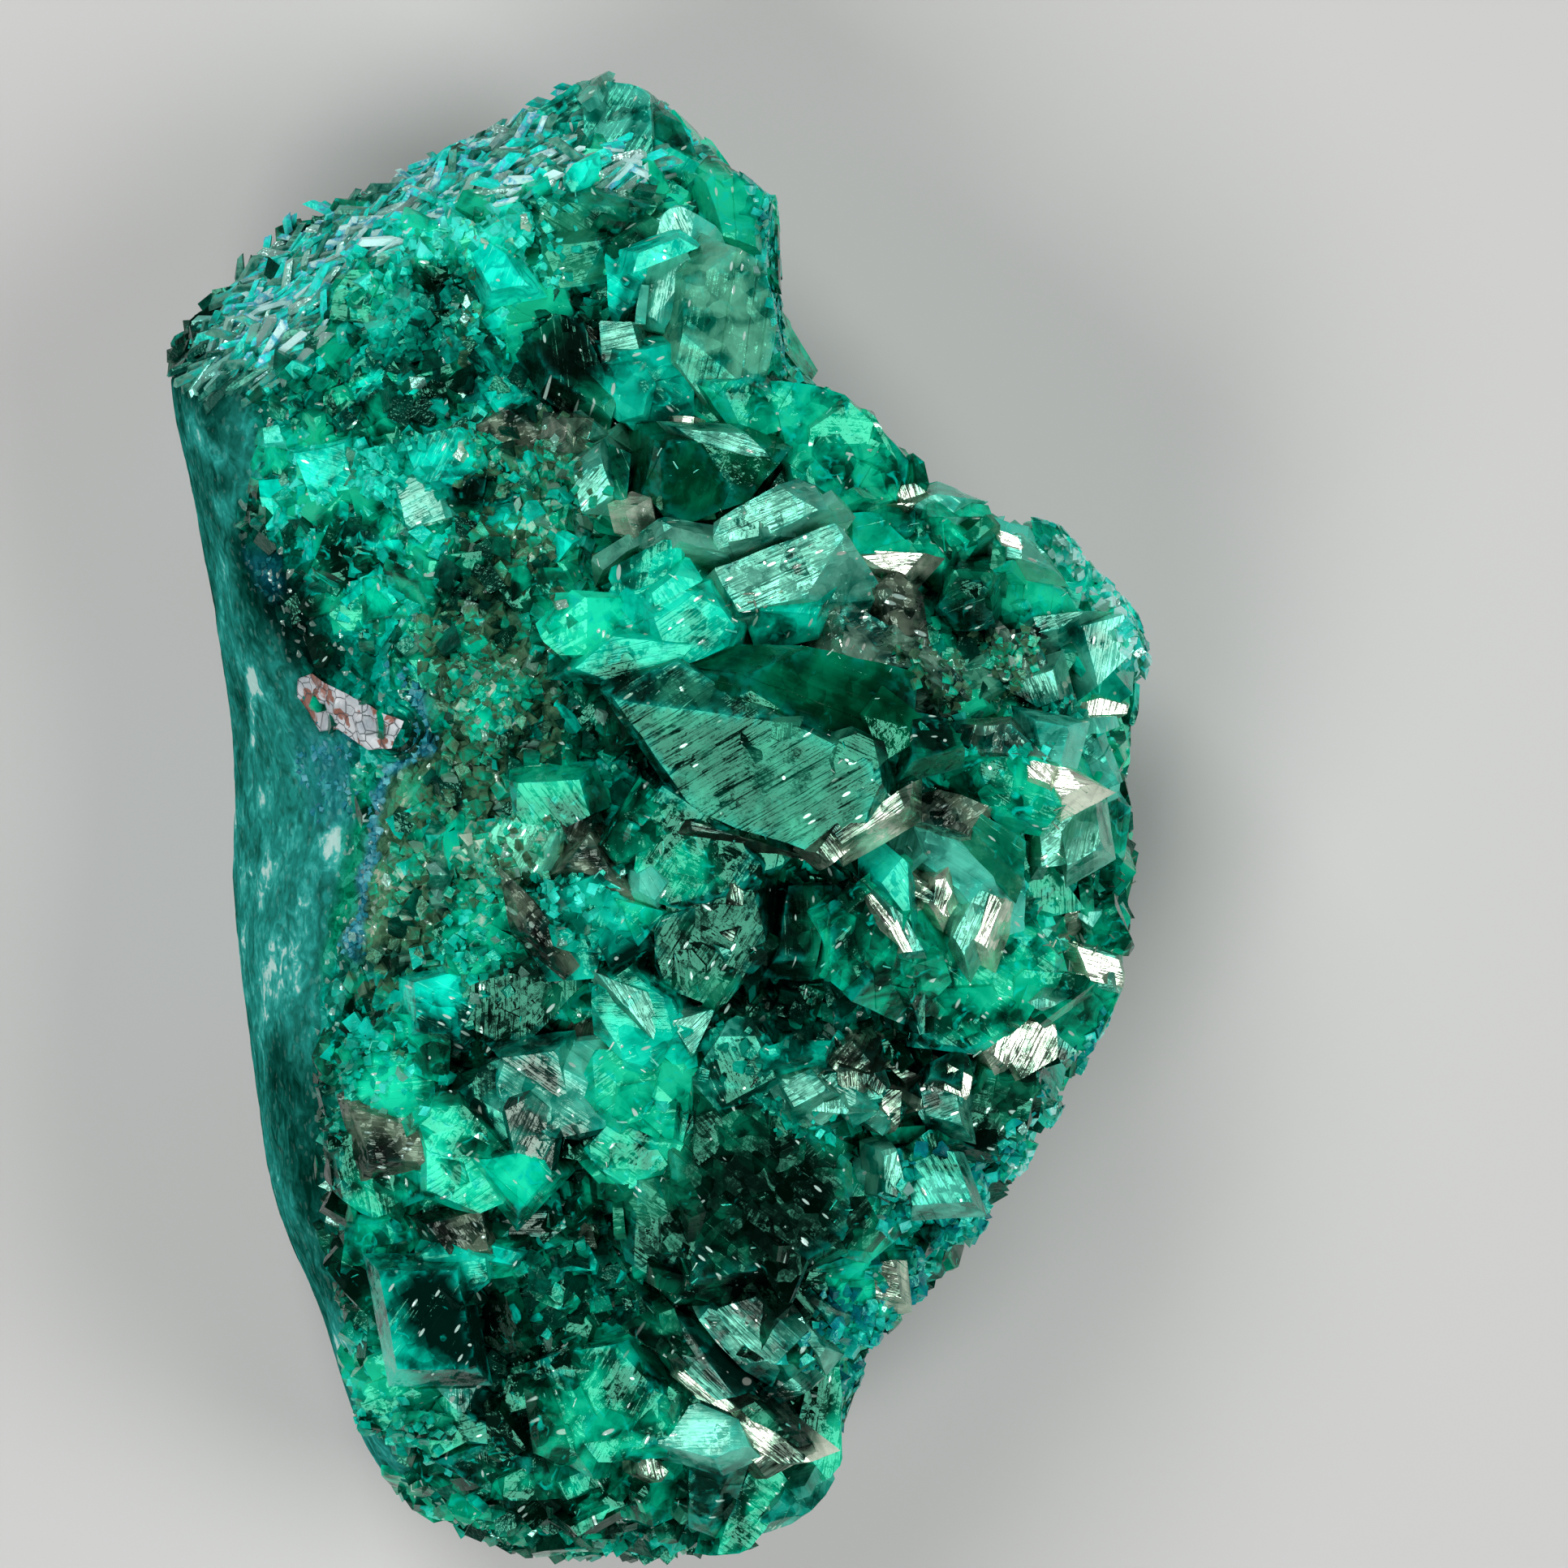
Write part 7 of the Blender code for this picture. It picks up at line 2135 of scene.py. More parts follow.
def shards(name: str, count: int, size_mm: float, seed: int) -> Any:
    """Make flat, broken steps that stand a little out of a face.

    Args:
        name: the collection's name.
        count: how many shapes.
        size_mm: how wide they will be, for the grain they carry.
        seed: for the shapes' random draws.

    Returns:
        A collection of shapes about one unit wide, left out of the scene.
    """
    kept = bpy.data.collections.new(name)
    rng = random.Random(seed)
    for index in range(count):
        planes = [(Vector((0, 0, -0.22)), Vector((0, 0, -1)))]
        for _ in range(3):
            tilt = leaning(rng.uniform(1, 13), rng.uniform(0, 360))
            planes.append((Vector((0, 0, rng.uniform(0.015, 0.065))), tilt))
        turn = rng.uniform(0, 360)
        for _ in range(rng.choice((4, 5, 5, 6))):
            turn += rng.uniform(45, 95)
            outward = leaning(90 - rng.uniform(-12, 45), turn)
            planes.append((outward * rng.uniform(0.22, 0.52), outward))
        planes.append((Vector((0.6, 0, 0)), Vector((1, 0, 0))))
        planes.append((Vector((-0.6, 0, 0)), Vector((-1, 0, 0))))
        planes.append((Vector((0, 0.6, 0)), Vector((0, 1, 0))))
        planes.append((Vector((0, -0.6, 0)), Vector((0, -1, 0))))
        shape = cut_stock(Vector(), planes, 3.0)
        edges = set(shape.verts)
        tops = [face for face in shape.faces if face.normal.z > 0.7]
        bmesh.ops.poke(shape, faces=tops)
        runs = shape.verts.layers.float.new("run")
        alongs = shape.verts.layers.float.new("along")
        rims = shape.verts.layers.float.new("rim")
        for vertex in shape.verts:
            vertex[runs] = vertex.co.y * size_mm
            vertex[alongs] = vertex.co.x * size_mm
            vertex[rims] = 1.0 if vertex in edges else 0.0
        mesh = bpy.data.meshes.new("%s_%d" % (name, index))
        shape.to_mesh(mesh)
        shape.free()
        kept.objects.link(bpy.data.objects.new(mesh.name, mesh))
    return kept


def small_blades(name: str, count: int, seed: int) -> Any:
    """Make the thin, long flakes of the foliated band, lying along X."""
    kept = bpy.data.collections.new(name)
    rng = random.Random(seed)
    for index in range(count):
        planes = []
        for side in (-1, 1):
            width = rng.uniform(0.028, 0.065)
            planes.append((Vector((0, side * width, 0)), Vector((rng.uniform(-0.06, 0.06), side, 0))))
            lean = Vector((side, rng.uniform(-0.8, 0.8), rng.uniform(0.2, 0.9))).normalized()
            planes.append((Vector((side * 0.5, 0, 0)), lean))
        ridge = rng.uniform(-0.6, 0.6)
        planes.append((Vector((0, 0, 0.05)), Vector((0, ridge, 1)).normalized()))
        planes.append((Vector((0, 0, 0.055)), Vector((rng.uniform(-0.1, 0.1), -0.5, 1)).normalized()))
        planes.append((Vector((0, 0, -0.06)), Vector((0, 0, -1))))
        shape = cut_stock(Vector(), [(point, normal.normalized()) for point, normal in planes], 3.0)
        mesh = bpy.data.meshes.new("%s_%d" % (name, index))
        shape.to_mesh(mesh)
        shape.free()
        kept.objects.link(bpy.data.objects.new(mesh.name, mesh))
    return kept


@dataclass(frozen=True)
class DruseFinish:
    """Small crystals: each has its own tone between the two ends of a ramp."""

    stops: tuple[tuple[float, Colour], ...]
    roughness: float = 0.15
    silver_from: float = 0.95
    see_through: float = 0.0
    gloss_tint: Colour = (0.25, 1.0, 0.68)
    own_tone: float = 0.55
    lighter: float = 0.0

    def material(self, name: str) -> Any:
        """Build the material and return it."""
        shader = Shader(name)
        tone = shader.value("tone")
        cloud = shader.cloud(shader.place, 2.6, 3.0)
        glow = shader.value("glow")
        # glow brings in the light and dark parts, partly their own tone and partly painted shade and highlights.
        shade = (tone * self.own_tone + cloud * 1.1 - 0.045 - self.own_tone / 2 + glow * 0.42)
        shade = (shade + self.lighter).clamped()
        colour = shader.ramp(shade, self.stops)
        glint = (tone * 7.31).step(self.silver_from * 7.31, self.silver_from * 7.31 + 0.05)
        colour = shader.mix(glint * 0.7, colour, (0.34, 0.62, 0.52))
        normal = shader.bump(shader.cloud(shader.place, 9.0, 2.0), 0.35, 0.08,
                             shader.facets(shader.place, 4.0, 0.08))
        shader.principled({
            "Base Color": colour,
            "Metallic": glint * 0.6,
            "Roughness": (self.roughness + cloud * 0.12).clamped(),
            "IOR": 1.66,
            "Specular Tint": self.gloss_tint,
            "Transmission Weight": self.see_through,
            "Normal": normal,
        })
        return shader.material


@dataclass(frozen=True)
class DruseRow:
    """One kind of small crystal: where it grows, how many, how large and its finish."""

    name: str
    where: str
    per_square_metre: float
    smallest_mm: float
    largest_mm: float
    lean: float
    finish: Union[DruseFinish, CrystalFinish]
    squat: float = 1.1
    seed: int = 1
    broken: bool = False


GREEN_STOPS = ((0.0, (0.0, 0.02, 0.012)), (0.35, (0.0, 0.10, 0.055)), (0.62, (0.0, 0.28, 0.17)),
               (0.85, (0.0, 0.52, 0.38)), (1.0, (0.06, 0.72, 0.58)))
TURQUOISE_STOPS = ((0.0, (0.0, 0.14, 0.10)), (0.4, (0.0, 0.42, 0.31)), (0.75, (0.0, 0.74, 0.58)),
                   (1.0, (0.10, 0.88, 0.78)))
OLIVE_STOPS = ((0.0, (0.002, 0.010, 0.006)), (0.26, (0.012, 0.06, 0.03)),
               (0.46, (0.07, 0.15, 0.08)), (0.60, (0.01, 0.27, 0.14)), (0.80, (0.0, 0.50, 0.32)),
               (1.0, (0.45, 0.62, 0.48)))
DARK_STOPS = ((0.0, (0.0, 0.004, 0.003)), (0.5, (0.0, 0.035, 0.022)), (0.85, (0.0, 0.14, 0.09)),
              (1.0, (0.1, 0.36, 0.26)))
BLUE_STOPS = ((0.0, (0.0, 0.10, 0.12)), (0.5, (0.015, 0.24, 0.33)), (1.0, (0.18, 0.52, 0.60)))
BLADE_STOPS = ((0.0, (0.0, 0.06, 0.045)), (0.20, (0.02, 0.20, 0.15)), (0.38, (0.13, 0.34, 0.26)),
               (0.50, (0.03, 0.42, 0.36)), (0.66, (0.0, 0.76, 0.62)), (0.80, (0.03, 0.90, 0.82)),
               (0.90, (0.10, 0.45, 0.66)), (1.0, (0.60, 0.92, 0.90)))

DRUSES = (
    DruseRow("blocks_green", "grow_blocks", 9.0e5, 0.6, 2.1, 0.26, FINISHES[Look.GREEN], seed=3,
             broken=True),
    DruseRow("blocks_bright", "grow_blocks", 4.0e5, 0.5, 1.7, 0.26, FINISHES[Look.BRIGHT], seed=5,
             broken=True),
    DruseRow("druse_green", "grow_green", 2.4e6, 0.18, 0.65, 0.9, DruseFinish(GREEN_STOPS), 1.0, 4),
    DruseRow("blocks_turquoise", "grow_turquoise", 1.4e6, 0.5, 1.6, 0.26,
             FINISHES[Look.TURQUOISE], seed=9, broken=True),
    DruseRow("druse_turquoise", "grow_turquoise", 3.0e6, 0.18, 0.6, 0.9,
             DruseFinish(TURQUOISE_STOPS, 0.22, 0.96), 1.0, 11),
    DruseRow("druse_olive", "grow_olive", 8.0e6, 0.16, 0.55, 1.1,
             DruseFinish(OLIVE_STOPS, 0.24, 0.92), 0.9, 19),
    DruseRow("druse_dark", "grow_dark", 2.4e6, 0.3, 0.85, 1.0,
             DruseFinish(DARK_STOPS, 0.12, 2.0), 1.1, 23),
    DruseRow("seam_grains", "grow_blue", 1.6e7, 0.10, 0.26, 1.0,
             DruseFinish(BLUE_STOPS, 0.35, 0.97), 0.9, 31),
)


@dataclass
class Growths:
    """What grows over the matrix: small crystals, seam grains and the foliated band."""

    blade_mm: tuple[float, float] = (0.8, 2.5)
    blades_per_square_metre: float = 1.0e7
    blade_run: tuple[float, float, float] = (0.80, 0.52, 0.20)

    def grow(self, carrier: Any) -> list[Any]:
        """Grow every kind over the matrix.

        Args:
            carrier: the matrix, with its densities kept on it.

        Returns:
            The pieces.
        """
        tree = Scatter("small_growth")
        found = []
        for row in DRUSES:
            found.append(tree.grow(row.name, carrier, {
                "Where": row.where,
                "Pieces": (shards(row.name + "_shapes", 10, row.largest_mm * 0.6, row.seed)
                           if row.broken
                           else small_crystals(row.name + "_shapes", 6, row.squat, row.seed)),
                "Finish": row.finish.material(row.name),
                "Per square metre": row.per_square_metre,
                "Smallest": row.smallest_mm * MM,
                "Largest": row.largest_mm * MM,
                "Lean": row.lean,
                "Run": (1.0, 0.0, 0.0),
                "Run strength": 0.0,
                "Seed": row.seed,
            }))
        found.append(tree.grow("foliated_band", carrier, {
            "Where": "grow_blade",
            "Pieces": small_blades("blade_shapes", 5, 8),
            "Finish": DruseFinish(BLADE_STOPS, 0.20, 0.90, own_tone=1.0, lighter=0.10).material("foliated_blades"),
            "Per square metre": self.blades_per_square_metre,
            "Smallest": self.blade_mm[0] * MM,
            "Largest": self.blade_mm[1] * MM,
            "Lean": 0.20,
            "Run": self.blade_run,
            "Run strength": 7.0,
            "Seed": 41,
        }))
        return found


@dataclass
class Fractures:
    """Broken steps of the same crystal, over the faces that stand in the open."""

    per_square_metre: float = 7.0e5
    smallest_mm: float = 0.5
    largest_mm: float = 2.6
    lean: float = 0.13
    reach_mm: float = 0.06
    sight_mm: float = 4.0
    steep_share: float = 0.35
    shares: tuple[tuple[Look, float], ...] = (
        (Look.STRIATED, 0.05), (Look.DEEP, 0.10), (Look.MIRROR, 0.0), (Look.SILVER, 0.25),
        (Look.PALE, 0.25), (Look.GREY_GREEN, 0.3), (Look.BROWN, 0.3), (Look.OLIVE, 0.4),
        (Look.MINT, 0.5), (Look.TURQUOISE, 0.6), (Look.BRIGHT, 0.6), (Look.TEAL, 0.7),
        (Look.GREEN, 0.75), (Look.DARK, 0.6),
    )

    calm: tuple[tuple[float, float, float, float], ...] = (
        (730, 160, 140, 90), (880, 370, 70, 120), (660, 225, 80, 40), (1180, 1130, 90, 90),
        (1260, 940, 90, 50),
    )

    def busy(self, item: Any) -> np.ndarray:
        """Return how far each point of a piece is from the calm parts, from 0 to 1."""
        places = np.empty(len(item.data.vertices) * 3)
        item.data.vertices.foreach_get("co", places)
        spots = SHEET.spots(places.reshape(-1, 3))
        found = np.ones(len(spots))
        for x, y, wide, high in self.calm:
            reach = ((spots[:, 0] - x) / wide) ** 2 + ((spots[:, 1] - y) / high) ** 2
            found = np.minimum(found, np.clip(reach - 0.55, 0.12, 1.0))
        return found

    def grow(self, pieces: Sequence[tuple[Look, Any]], ground: Ground) -> list[Any]:
        """Grow the steps of each look over its crystals.

        Args:
            pieces: each look and its crystals, with their finish already on them.
            ground: the surface of the crystals and the matrix.

        Returns:
            The pieces.
        """
        tree = Scatter("fractures")
        sparse = dict(self.shares)
        kinds = shards("shard_shapes", 12, 1.3, 6)
        found = []
        for index, (look, item) in enumerate(pieces):
            share = sparse.get(look, 1.0)
            if share == 0.0:
                continue
            open_places = ground.open(item, self.reach_mm * MM, self.sight_mm * MM)
            ups = np.array([vertex.normal.z for vertex in item.data.vertices])
            steep = np.clip(0.3 + ups * 1.2, self.steep_share, 1.0)
            keep_numbers(item, "fracture", open_places * share * steep * self.busy(item))
            found.append(tree.grow("steps_" + look.value, item, {
                "Where": "fracture",
                "Pieces": kinds,
                "Finish": item.data.materials[0],
                "Per square metre": self.per_square_metre,
                "Smallest": self.smallest_mm * MM,
                "Largest": self.largest_mm * MM,
                "Lean": self.lean,
                "Run": (1.0, 0.0, 0.0),
                "Run strength": 0.0,
                "Seed": 60 + index,
            }))
        return found


@dataclass(frozen=True)
class CrustRow:
    """Fine grains that cover parts of the crystals; a part is x, y, half sizes and a turn."""

    name: str
    finish: Union[DruseFinish, CrystalFinish]
    per_square_metre: float
    smallest_mm: float
    largest_mm: float
    lean: float
    parts: tuple[tuple[float, float, float, float, float], ...]
    flat: bool = False
    seed: int = 80


RIM_STOPS = ((0.0, (0.0, 0.07, 0.10)), (0.28, (0.0, 0.20, 0.24)), (0.5, (0.0, 0.36, 0.27)),
             (0.8, (0.02, 0.70, 0.60)), (1.0, (0.45, 0.80, 0.75)))
CRUST_STOPS = ((0.0, (0.0, 0.10, 0.07)), (0.4, (0.0, 0.30, 0.20)), (0.75, (0.0, 0.55, 0.40)),
               (1.0, (0.05, 0.85, 0.70)))
# Colours of the painted glints: pale flakes up to almost white.
GLINT_STOPS = ((0.0, (0.0, 0.42, 0.30)), (0.45, (0.10, 0.66, 0.52)), (0.8, (0.55, 0.84, 0.72)),
               (1.0, (0.95, 0.98, 0.92)))
WHOLE_STONE = (820, 960, 700, 1000, 0)

CRUSTS = (
    CrustRow("crust_rim", DruseFinish(RIM_STOPS, 0.16, 0.93), 1.3e7, 0.14, 0.46, 1.0, (
        (1408, 770, 34, 120, -20), (1330, 672, 70, 22, 32), (1245, 1455, 120, 34, -48),
        (1130, 1580, 110, 34, -45), (1050, 1670, 50, 60, 0), (958, 320, 18, 120, -8),
        (1375, 1290, 26, 70, 38), (1140, 1470, 60, 40, 0)), seed=81),
    CrustRow("crust_olive", DruseFinish(OLIVE_STOPS, 0.2, 0.93), 1.4e7, 0.12, 0.38, 1.1, (
        (640, 620, 70, 90, 0), (560, 860, 90, 110, 0), (600, 1020, 70, 80, 0),
        (470, 1120, 50, 100, 0), (1210, 825, 60, 40, 0), (620, 380, 30, 70, 0)), seed=82),
    CrustRow("crust_turquoise", DruseFinish(CRUST_STOPS, 0.16, 0.95), 0.9e7, 0.12, 0.36, 1.0, (
        (560, 285, 110, 50, -20), (430, 600, 110, 110, 0), (500, 430, 100, 50, 0),
        (545, 1190, 80, 50, 0), (440, 1340, 60, 60, 0), (1260, 900, 70, 40, 0),
        (700, 1115, 70, 40, 0), (930, 1330, 90, 22, 42), (470, 720, 70, 60, 0),
        (620, 340, 80, 60, 0), (480, 1770, 60, 40, 30)), seed=83),
    # Painted glints: pale, nearly white flakes scattered over the whole stone in wavy patches.
    CrustRow("glitter", DruseFinish(GLINT_STOPS, 0.12, 2.0, own_tone=1.0), 1.1e6, 0.10, 0.44, 0.7,
             (WHOLE_STONE,), True, 84),
    CrustRow("glitter_dark", FINISHES[Look.MIRROR], 6.0e6, 0.12, 0.5, 0.8, (
        (1010, 745, 150, 34, 12), (1060, 1310, 120, 50, 10), (1340, 1090, 70, 90, 0),
        (560, 1240, 90, 50, 0), (690, 520, 50, 60, 0), (640, 660, 60, 60, 0),
        (930, 1660, 90, 60, 40)), True, 85),
)


@dataclass
class Crusts:
    """The fine grains and flakes on the open faces of the crystals."""

    reach_mm: float = 0.10
    sight_mm: float = 3.0

    def grow(self, pieces: Sequence[Any], ground: Ground) -> list[Any]:
        """Grow every crust over the crystals.

        Args:
            pieces: the crystals and their broken steps.
            ground: the surface they make.

        Returns:
            The crusts.
        """
        carrier = joined("crust_carrier", pieces)
        open_places = ground.open(carrier, self.reach_mm * MM, self.sight_mm * MM)
        places = np.empty(len(carrier.data.vertices) * 3)
        carrier.data.vertices.foreach_get("co", places)
        spots = SHEET.spots(places.reshape(-1, 3))
        tree = Scatter("crusts")
        found = []
        for row in CRUSTS:
            cover = np.zeros(len(spots))
            for x, y, wide, high, turn in row.parts:
                cos, sin = math.cos(math.radians(turn)), math.sin(math.radians(turn))
                right, down = spots[:, 0] - x, spots[:, 1] - y
                across, along = (right * cos + down * sin) / wide, (down * cos - right * sin) / high
                cover = np.maximum(cover, np.exp(-(across * across + along * along) ** 2 * 0.7))
            if row.flat:
                waves = np.sin(spots[:, 0] / 31) * np.sin(spots[:, 1] / 23 + spots[:, 0] / 57)
                cover = cover * np.clip(waves * 2.2 - 0.5, 0.06, 1)
            keep_numbers(carrier, row.name, cover * open_places)
            shapes = (small_blades(row.name + "_shapes", 5, row.seed) if row.flat
                      else small_crystals(row.name + "_shapes", 5, 1.0, row.seed))
            found.append(tree.grow(row.name, carrier, {
                "Where": row.name,
                "Pieces": shapes,
                "Finish": row.finish.material(row.name),
                "Per square metre": row.per_square_metre,
                "Smallest": row.smallest_mm * MM,
                "Largest": row.largest_mm * MM,
                "Lean": row.lean,
                "Run": (1.0, 0.0, 0.0),
                "Run strength": 0.0,
                "Seed": row.seed,
            }))
        bpy.data.objects.remove(carrier)
        return found


def joined(name: str, pieces: Sequence[Any]) -> Any:
    """Return one new object with the faces of all the pieces."""
    whole = bmesh.new()
    for piece in pieces:
        whole.from_mesh(piece.data)
    mesh = bpy.data.meshes.new(name)
    whole.to_mesh(mesh)
    whole.free()
    item = bpy.data.objects.new(name, mesh)
    bpy.context.scene.collection.objects.link(item)
    return item


@dataclass
class Inclusion:
    """The white wedge with rust streaks in the left wall, and the bands round its end."""

    outline: Outline = ((366, 836), (386, 832), (457, 871), (496, 887), (484, 923), (453, 923),
                        (417, 899), (394, 899), (366, 859))
    lift_mm: float = 0.12
    depth_mm: float = 1.2
    band_centre: Point2 = (484, 899)
    band_radii: tuple[float, ...] = (27, 36)
    band_width_mm: float = 0.11
    band_sweep: tuple[float, float] = (-120, 85)

    def wedge(self, ground: Ground) -> Any:
        """Build the white wedge and return it."""
        rim = []
        for x, y in self.outline:
            rim.append(SHEET.place(x, y, ground.height(x, y) + self.lift_mm * MM))
        shape = bmesh.new()
        top = [shape.verts.new(point) for point in rim]
        low = [shape.verts.new(point - Vector((0, 0, self.depth_mm * MM))) for point in rim]
        count = len(rim)
        shape.faces.new(top)
        shape.faces.new(low[::-1])
        for index in range(count):
            after = (index + 1) % count
            shape.faces.new((top[index], low[index], low[after], top[after]))
        bmesh.ops.triangulate(shape, faces=shape.faces[:])
        for _ in range(4):
            long = [edge for edge in shape.edges if edge.calc_length() > 0.4 * MM]
            if long:
                bmesh.ops.subdivide_edges(shape, edges=long, cuts=1)
                bmesh.ops.triangulate(shape, faces=shape.faces[:])
        spots = SHEET.spots(np.array([vertex.co for vertex in shape.verts]))
        for vertex, (x, y) in zip(shape.verts, spots):
            if vertex.co.z > rim[0].z - self.depth_mm * MM / 2:
                vertex.co.z = max(vertex.co.z, ground.height(x, y) + self.lift_mm * MM)
            vertex.co += noise.noise_vector(vertex.co * 1100) * 0.00011
            vertex.co += noise.noise_vector(vertex.co * 3200) * 0.00005
        bmesh.ops.recalc_face_normals(shape, faces=shape.faces[:])
        item = keep_shape(shape, "white_inclusion")
        item.data.shade_smooth()
        item.data.set_sharp_from_angle(angle=math.radians(35))
        return item

    def bands(self, ground: Ground) -> Any:
        """Build the curved green bands round the end of the wedge and return them."""
        shape = bmesh.new()
        centre = self.band_centre
        for radius in self.band_radii:
            path = []
            for step in range(19):
                share = step / 18
                turn = math.radians(
                    self.band_sweep[0] + (self.band_sweep[1] - self.band_sweep[0]) * share)
                x = centre[0] + radius * math.cos(turn)
                y = centre[1] - radius * math.sin(turn)
                path.append(SHEET.place(x, y, ground.height(x, y) + 0.03 * MM))
            tube(shape, path, self.band_width_mm * MM, 8)
        return keep_shape(shape, "ring_bands")

    def finish(self) -> Any:
        """Build the cracked white finish with rust streaks and return it."""
        shader = Shader("white_inclusion")
        place = shader.place
        cracks = shader.out(shader.cells(place, 2.2, "DISTANCE_TO_EDGE"), "Distance")
        chalk = shader.ramp(shader.cloud(place, 1.6, 4.0), (
            (0.3, (0.34, 0.40, 0.44)), (0.6, (0.66, 0.70, 0.72))))
        rust = shader.cloud(place, 1.3, 4.0, 1.2).step(0.53, 0.60)
        colour = shader.mix(rust * 0.9, chalk, (0.26, 0.07, 0.03))
        colour = shader.mix(1.0 - cracks.step(0.0, 0.05), colour, (0.05, 0.07, 0.08))
        relief = cracks.step(0.0, 0.08) + shader.cloud(place, 6.0, 3.0) * 0.4
        shader.principled({
            "Base Color": colour,
            "Roughness": 0.42,
            "Normal": shader.bump(relief, 0.5, 0.1, shader.facets(place, 3.0, 0.1)),
        })
        return shader.material


def tube(shape: bmesh.types.BMesh, path: Sequence[Vector], radius: float, sides: int) -> None:
    """Add a closed tube along a path to a shape."""
    rings = []
    for index, point in enumerate(path):
        ahead = path[min(index + 1, len(path) - 1)] - path[max(index - 1, 0)]
        side = ahead.cross(Vector((0, 0, 1))).normalized()
        over = side.cross(ahead).normalized()
        thick = radius * (1.0 if 0 < index < len(path) - 1 else 0.45)
        rings.append([
            shape.verts.new(point + (side * math.cos(turn) + over * math.sin(turn)) * thick)
            for turn in (2 * math.pi * step / sides for step in range(sides))
        ])
    faces = [shape.faces.new(rings[0]), shape.faces.new(rings[-1])]
    for low, high in zip(rings, rings[1:]):
        for index in range(sides):
            after = (index + 1) % sides
            faces.append(shape.faces.new((low[index], low[after], high[after], high[index])))
    bmesh.ops.recalc_face_normals(shape, faces=faces)


@dataclass(frozen=True)
class SoftBox:
    """One studio light: where it stands and how bright its face is."""

    name: str
    azimuth: float
    elevation: float
    half_width: float
    radiance: float
    colour: Colour = (1.0, 1.0, 1.0)
    distance: float = 0.6


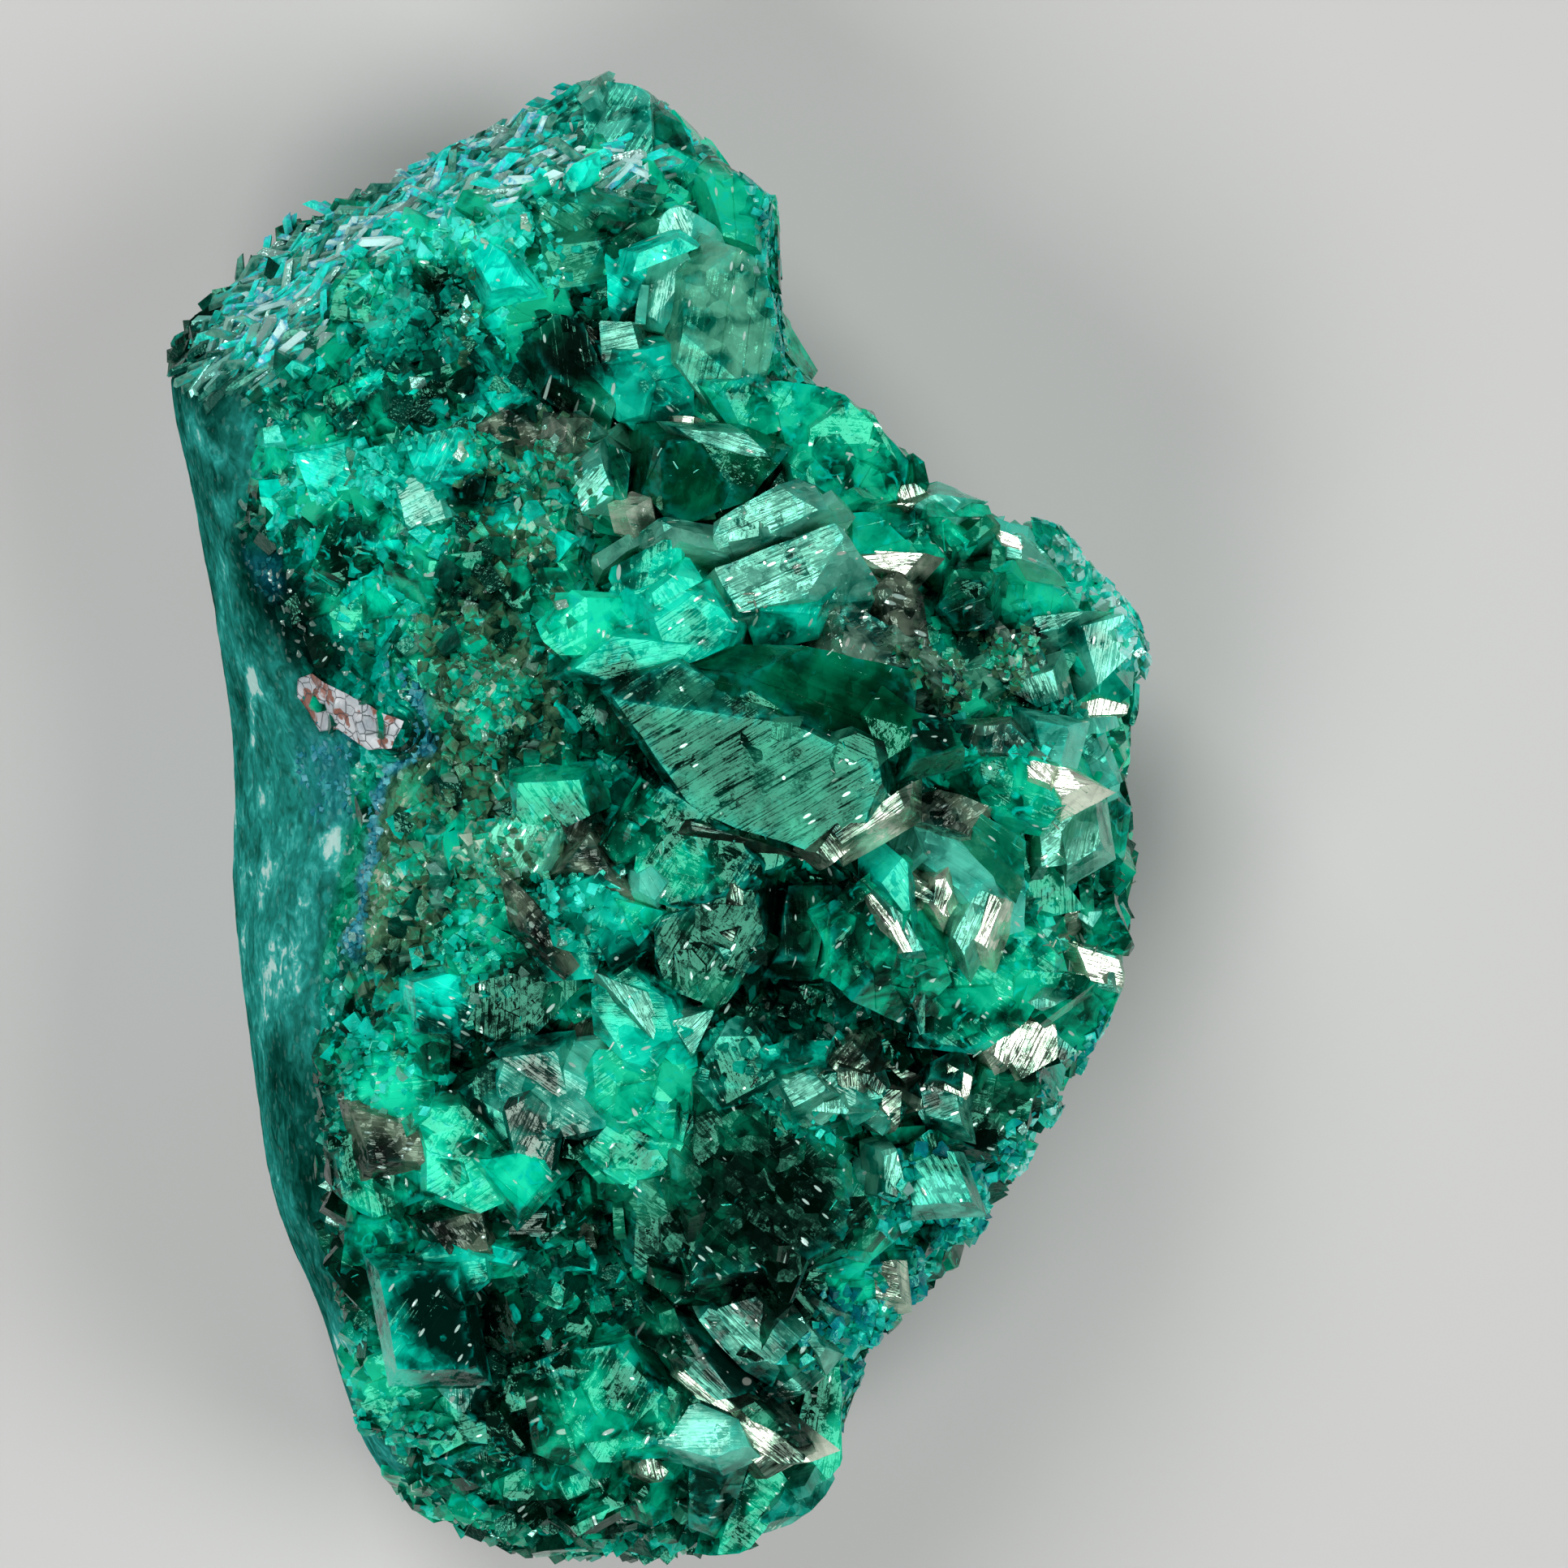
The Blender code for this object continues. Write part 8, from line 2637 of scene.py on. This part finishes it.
@dataclass
class Studio:
    """The floor, the lights and the camera."""

    floor_side: float = 3.0
    floor_colour: Colour = (0.57, 0.57, 0.56)
    sky_stops: tuple[tuple[float, Colour], ...] = (
        (0.0, (0.26, 0.27, 0.28)), (0.35, (0.09, 0.09, 0.095)), (0.8, (0.02, 0.02, 0.02)))
    boxes: tuple[SoftBox, ...] = (
        SoftBox("north_west", 115, 52, 12, 8.5),
        SoftBox("south_west", 235, 52, 12, 8.5),
        SoftBox("east", 350, 46, 12, 8.5),
    )

    def build(self) -> Any:
        """Build everything and return the floor."""
        scene = bpy.context.scene
        world = bpy.data.worlds.new("studio")
        world.use_nodes = True
        self._sky(world.node_tree)
        scene.world = world
        scene.view_settings.view_transform = "Standard"
        scene.view_settings.look = "None"
        for box in self.boxes:
            self._light(box)
        self._camera()
        return self._floor()

    def _sky(self, tree: Any) -> None:
        """Make the surroundings pale at the horizon and dark overhead."""
        where = tree.nodes.new("ShaderNodeTexCoord")
        split = tree.nodes.new("ShaderNodeSeparateXYZ")
        ramp = tree.nodes.new("ShaderNodeValToRGB")
        while len(ramp.color_ramp.elements) < len(self.sky_stops):
            ramp.color_ramp.elements.new(1.0)
        for element, (position, colour) in zip(ramp.color_ramp.elements, self.sky_stops):
            element.position = position
            element.color = (*colour, 1.0)
        tree.links.new(where.outputs["Generated"], split.inputs[0])
        tree.links.new(split.outputs["Z"], ramp.inputs["Fac"])
        tree.links.new(ramp.outputs["Color"], tree.nodes["Background"].inputs["Color"])

    def _light(self, box: SoftBox) -> None:
        """Add one soft box that faces the stone."""
        azimuth, elevation = math.radians(box.azimuth), math.radians(box.elevation)
        aim = Vector((0.0, 0.0, 0.012))
        away = Vector((math.cos(elevation) * math.cos(azimuth),
                       math.cos(elevation) * math.sin(azimuth), math.sin(elevation)))
        side = 2 * box.distance * math.tan(math.radians(box.half_width))
        light = bpy.data.lights.new(box.name, "AREA")
        light.shape = "SQUARE"
        light.size = side
        light.energy = box.radiance * math.pi * side * side
        light.color = box.colour
        item = bpy.data.objects.new(box.name, light)
        item.matrix_world = Matrix.Translation(aim + away * box.distance) @ (
            away.to_track_quat("Z", "Y").to_matrix().to_4x4())
        bpy.context.scene.collection.objects.link(item)

    def _camera(self) -> None:
        """Look straight down on the sheet, so that it fills the picture."""
        data = bpy.data.cameras.new("camera")
        data.sensor_fit = "HORIZONTAL"
        data.angle = 2 * math.atan(SHEET.side / 2 * SHEET.unit / SHEET.eye_height)
        data.clip_start = 0.005
        item = bpy.data.objects.new("camera", data)
        item.location = (SHEET.eye_x, SHEET.eye_y, SHEET.eye_height + SHEET.datum)
        bpy.context.scene.collection.objects.link(item)
        bpy.context.scene.camera = item

    def _floor(self) -> Any:
        """Lay the plain pale floor and return it."""
        shape = bmesh.new()
        bmesh.ops.create_grid(shape, x_segments=2, y_segments=2, size=self.floor_side / 2)
        item = keep_shape(shape, "floor")
        shader = Shader("floor")
        shader.principled({"Base Color": self.floor_colour, "Roughness": 0.6})
        item.data.materials.append(shader.material)
        return item


def settle(item: Any, replaces: bool) -> None:
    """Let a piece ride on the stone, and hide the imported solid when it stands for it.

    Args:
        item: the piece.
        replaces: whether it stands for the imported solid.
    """
    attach(item, BODY)
    if replaces:
        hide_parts(NODE)
    LOG.info("%s: %d faces", item.name, len(item.data.polygons))


def main() -> None:
    """Build the stone and the studio in order."""
    logging.basicConfig(level=logging.INFO, format="%(name)s %(message)s")
    noise.seed_set(NOISE_SEED)
    body = StoneBody()
    matrix = body.build()
    body.densities()
    cluster = Cluster()
    cluster.large()
    cluster.flank()
    crystals = cluster.crystals.grower.pieces()
    materials = {look: finish.material(look.value) for look, finish in FINISHES.items()}
    for look, item in crystals:
        item.data.materials.append(materials[look])
    growths = Growths().grow(matrix)
    ground = Ground()
    ground.read([matrix] + [item for _, item in crystals])
    fractures = Fractures().grow(crystals, ground)
    ground.read([matrix] + [item for _, item in crystals] + fractures)
    crusts = Crusts().grow([item for _, item in crystals] + fractures, ground)
    facets = cluster.facets(ground).grower.pieces()
    for look, item in facets:
        item.name = item.data.name = "facets_" + look.value
        item.data.materials.append(materials[look])
    inclusion = Inclusion()
    wedge, bands = inclusion.wedge(ground), inclusion.bands(ground)
    wedge.data.materials.append(inclusion.finish())
    bands.data.materials.append(materials[Look.TEAL])
    matrix.data.materials.append(MatrixFinish().material("matrix"))
    added = growths + fractures + crusts + [item for _, item in facets] + [wedge, bands]
    # Every piece keeps the light and dark parts as glow, partly its own tone and partly painted shade and
    # highlights; all but the matrix are drawn in to the outline.
    for item in [matrix] + [item for _, item in crystals] + added:
        places = np.empty(len(item.data.vertices) * 3)
        item.data.vertices.foreach_get("co", places)
        places = places.reshape(-1, 3)
        keep_numbers(item, "glow", SHEET.glow(places))
        if item is not matrix:
            item.data.vertices.foreach_set("co", SHEET.drawn_in(places).ravel())
            item.data.update()
    settle(matrix, True)
    for _, item in crystals:
        settle(item, True)
    for item in added:
        settle(item, False)
    Studio().build()


if __name__ == "__main__":
    main()
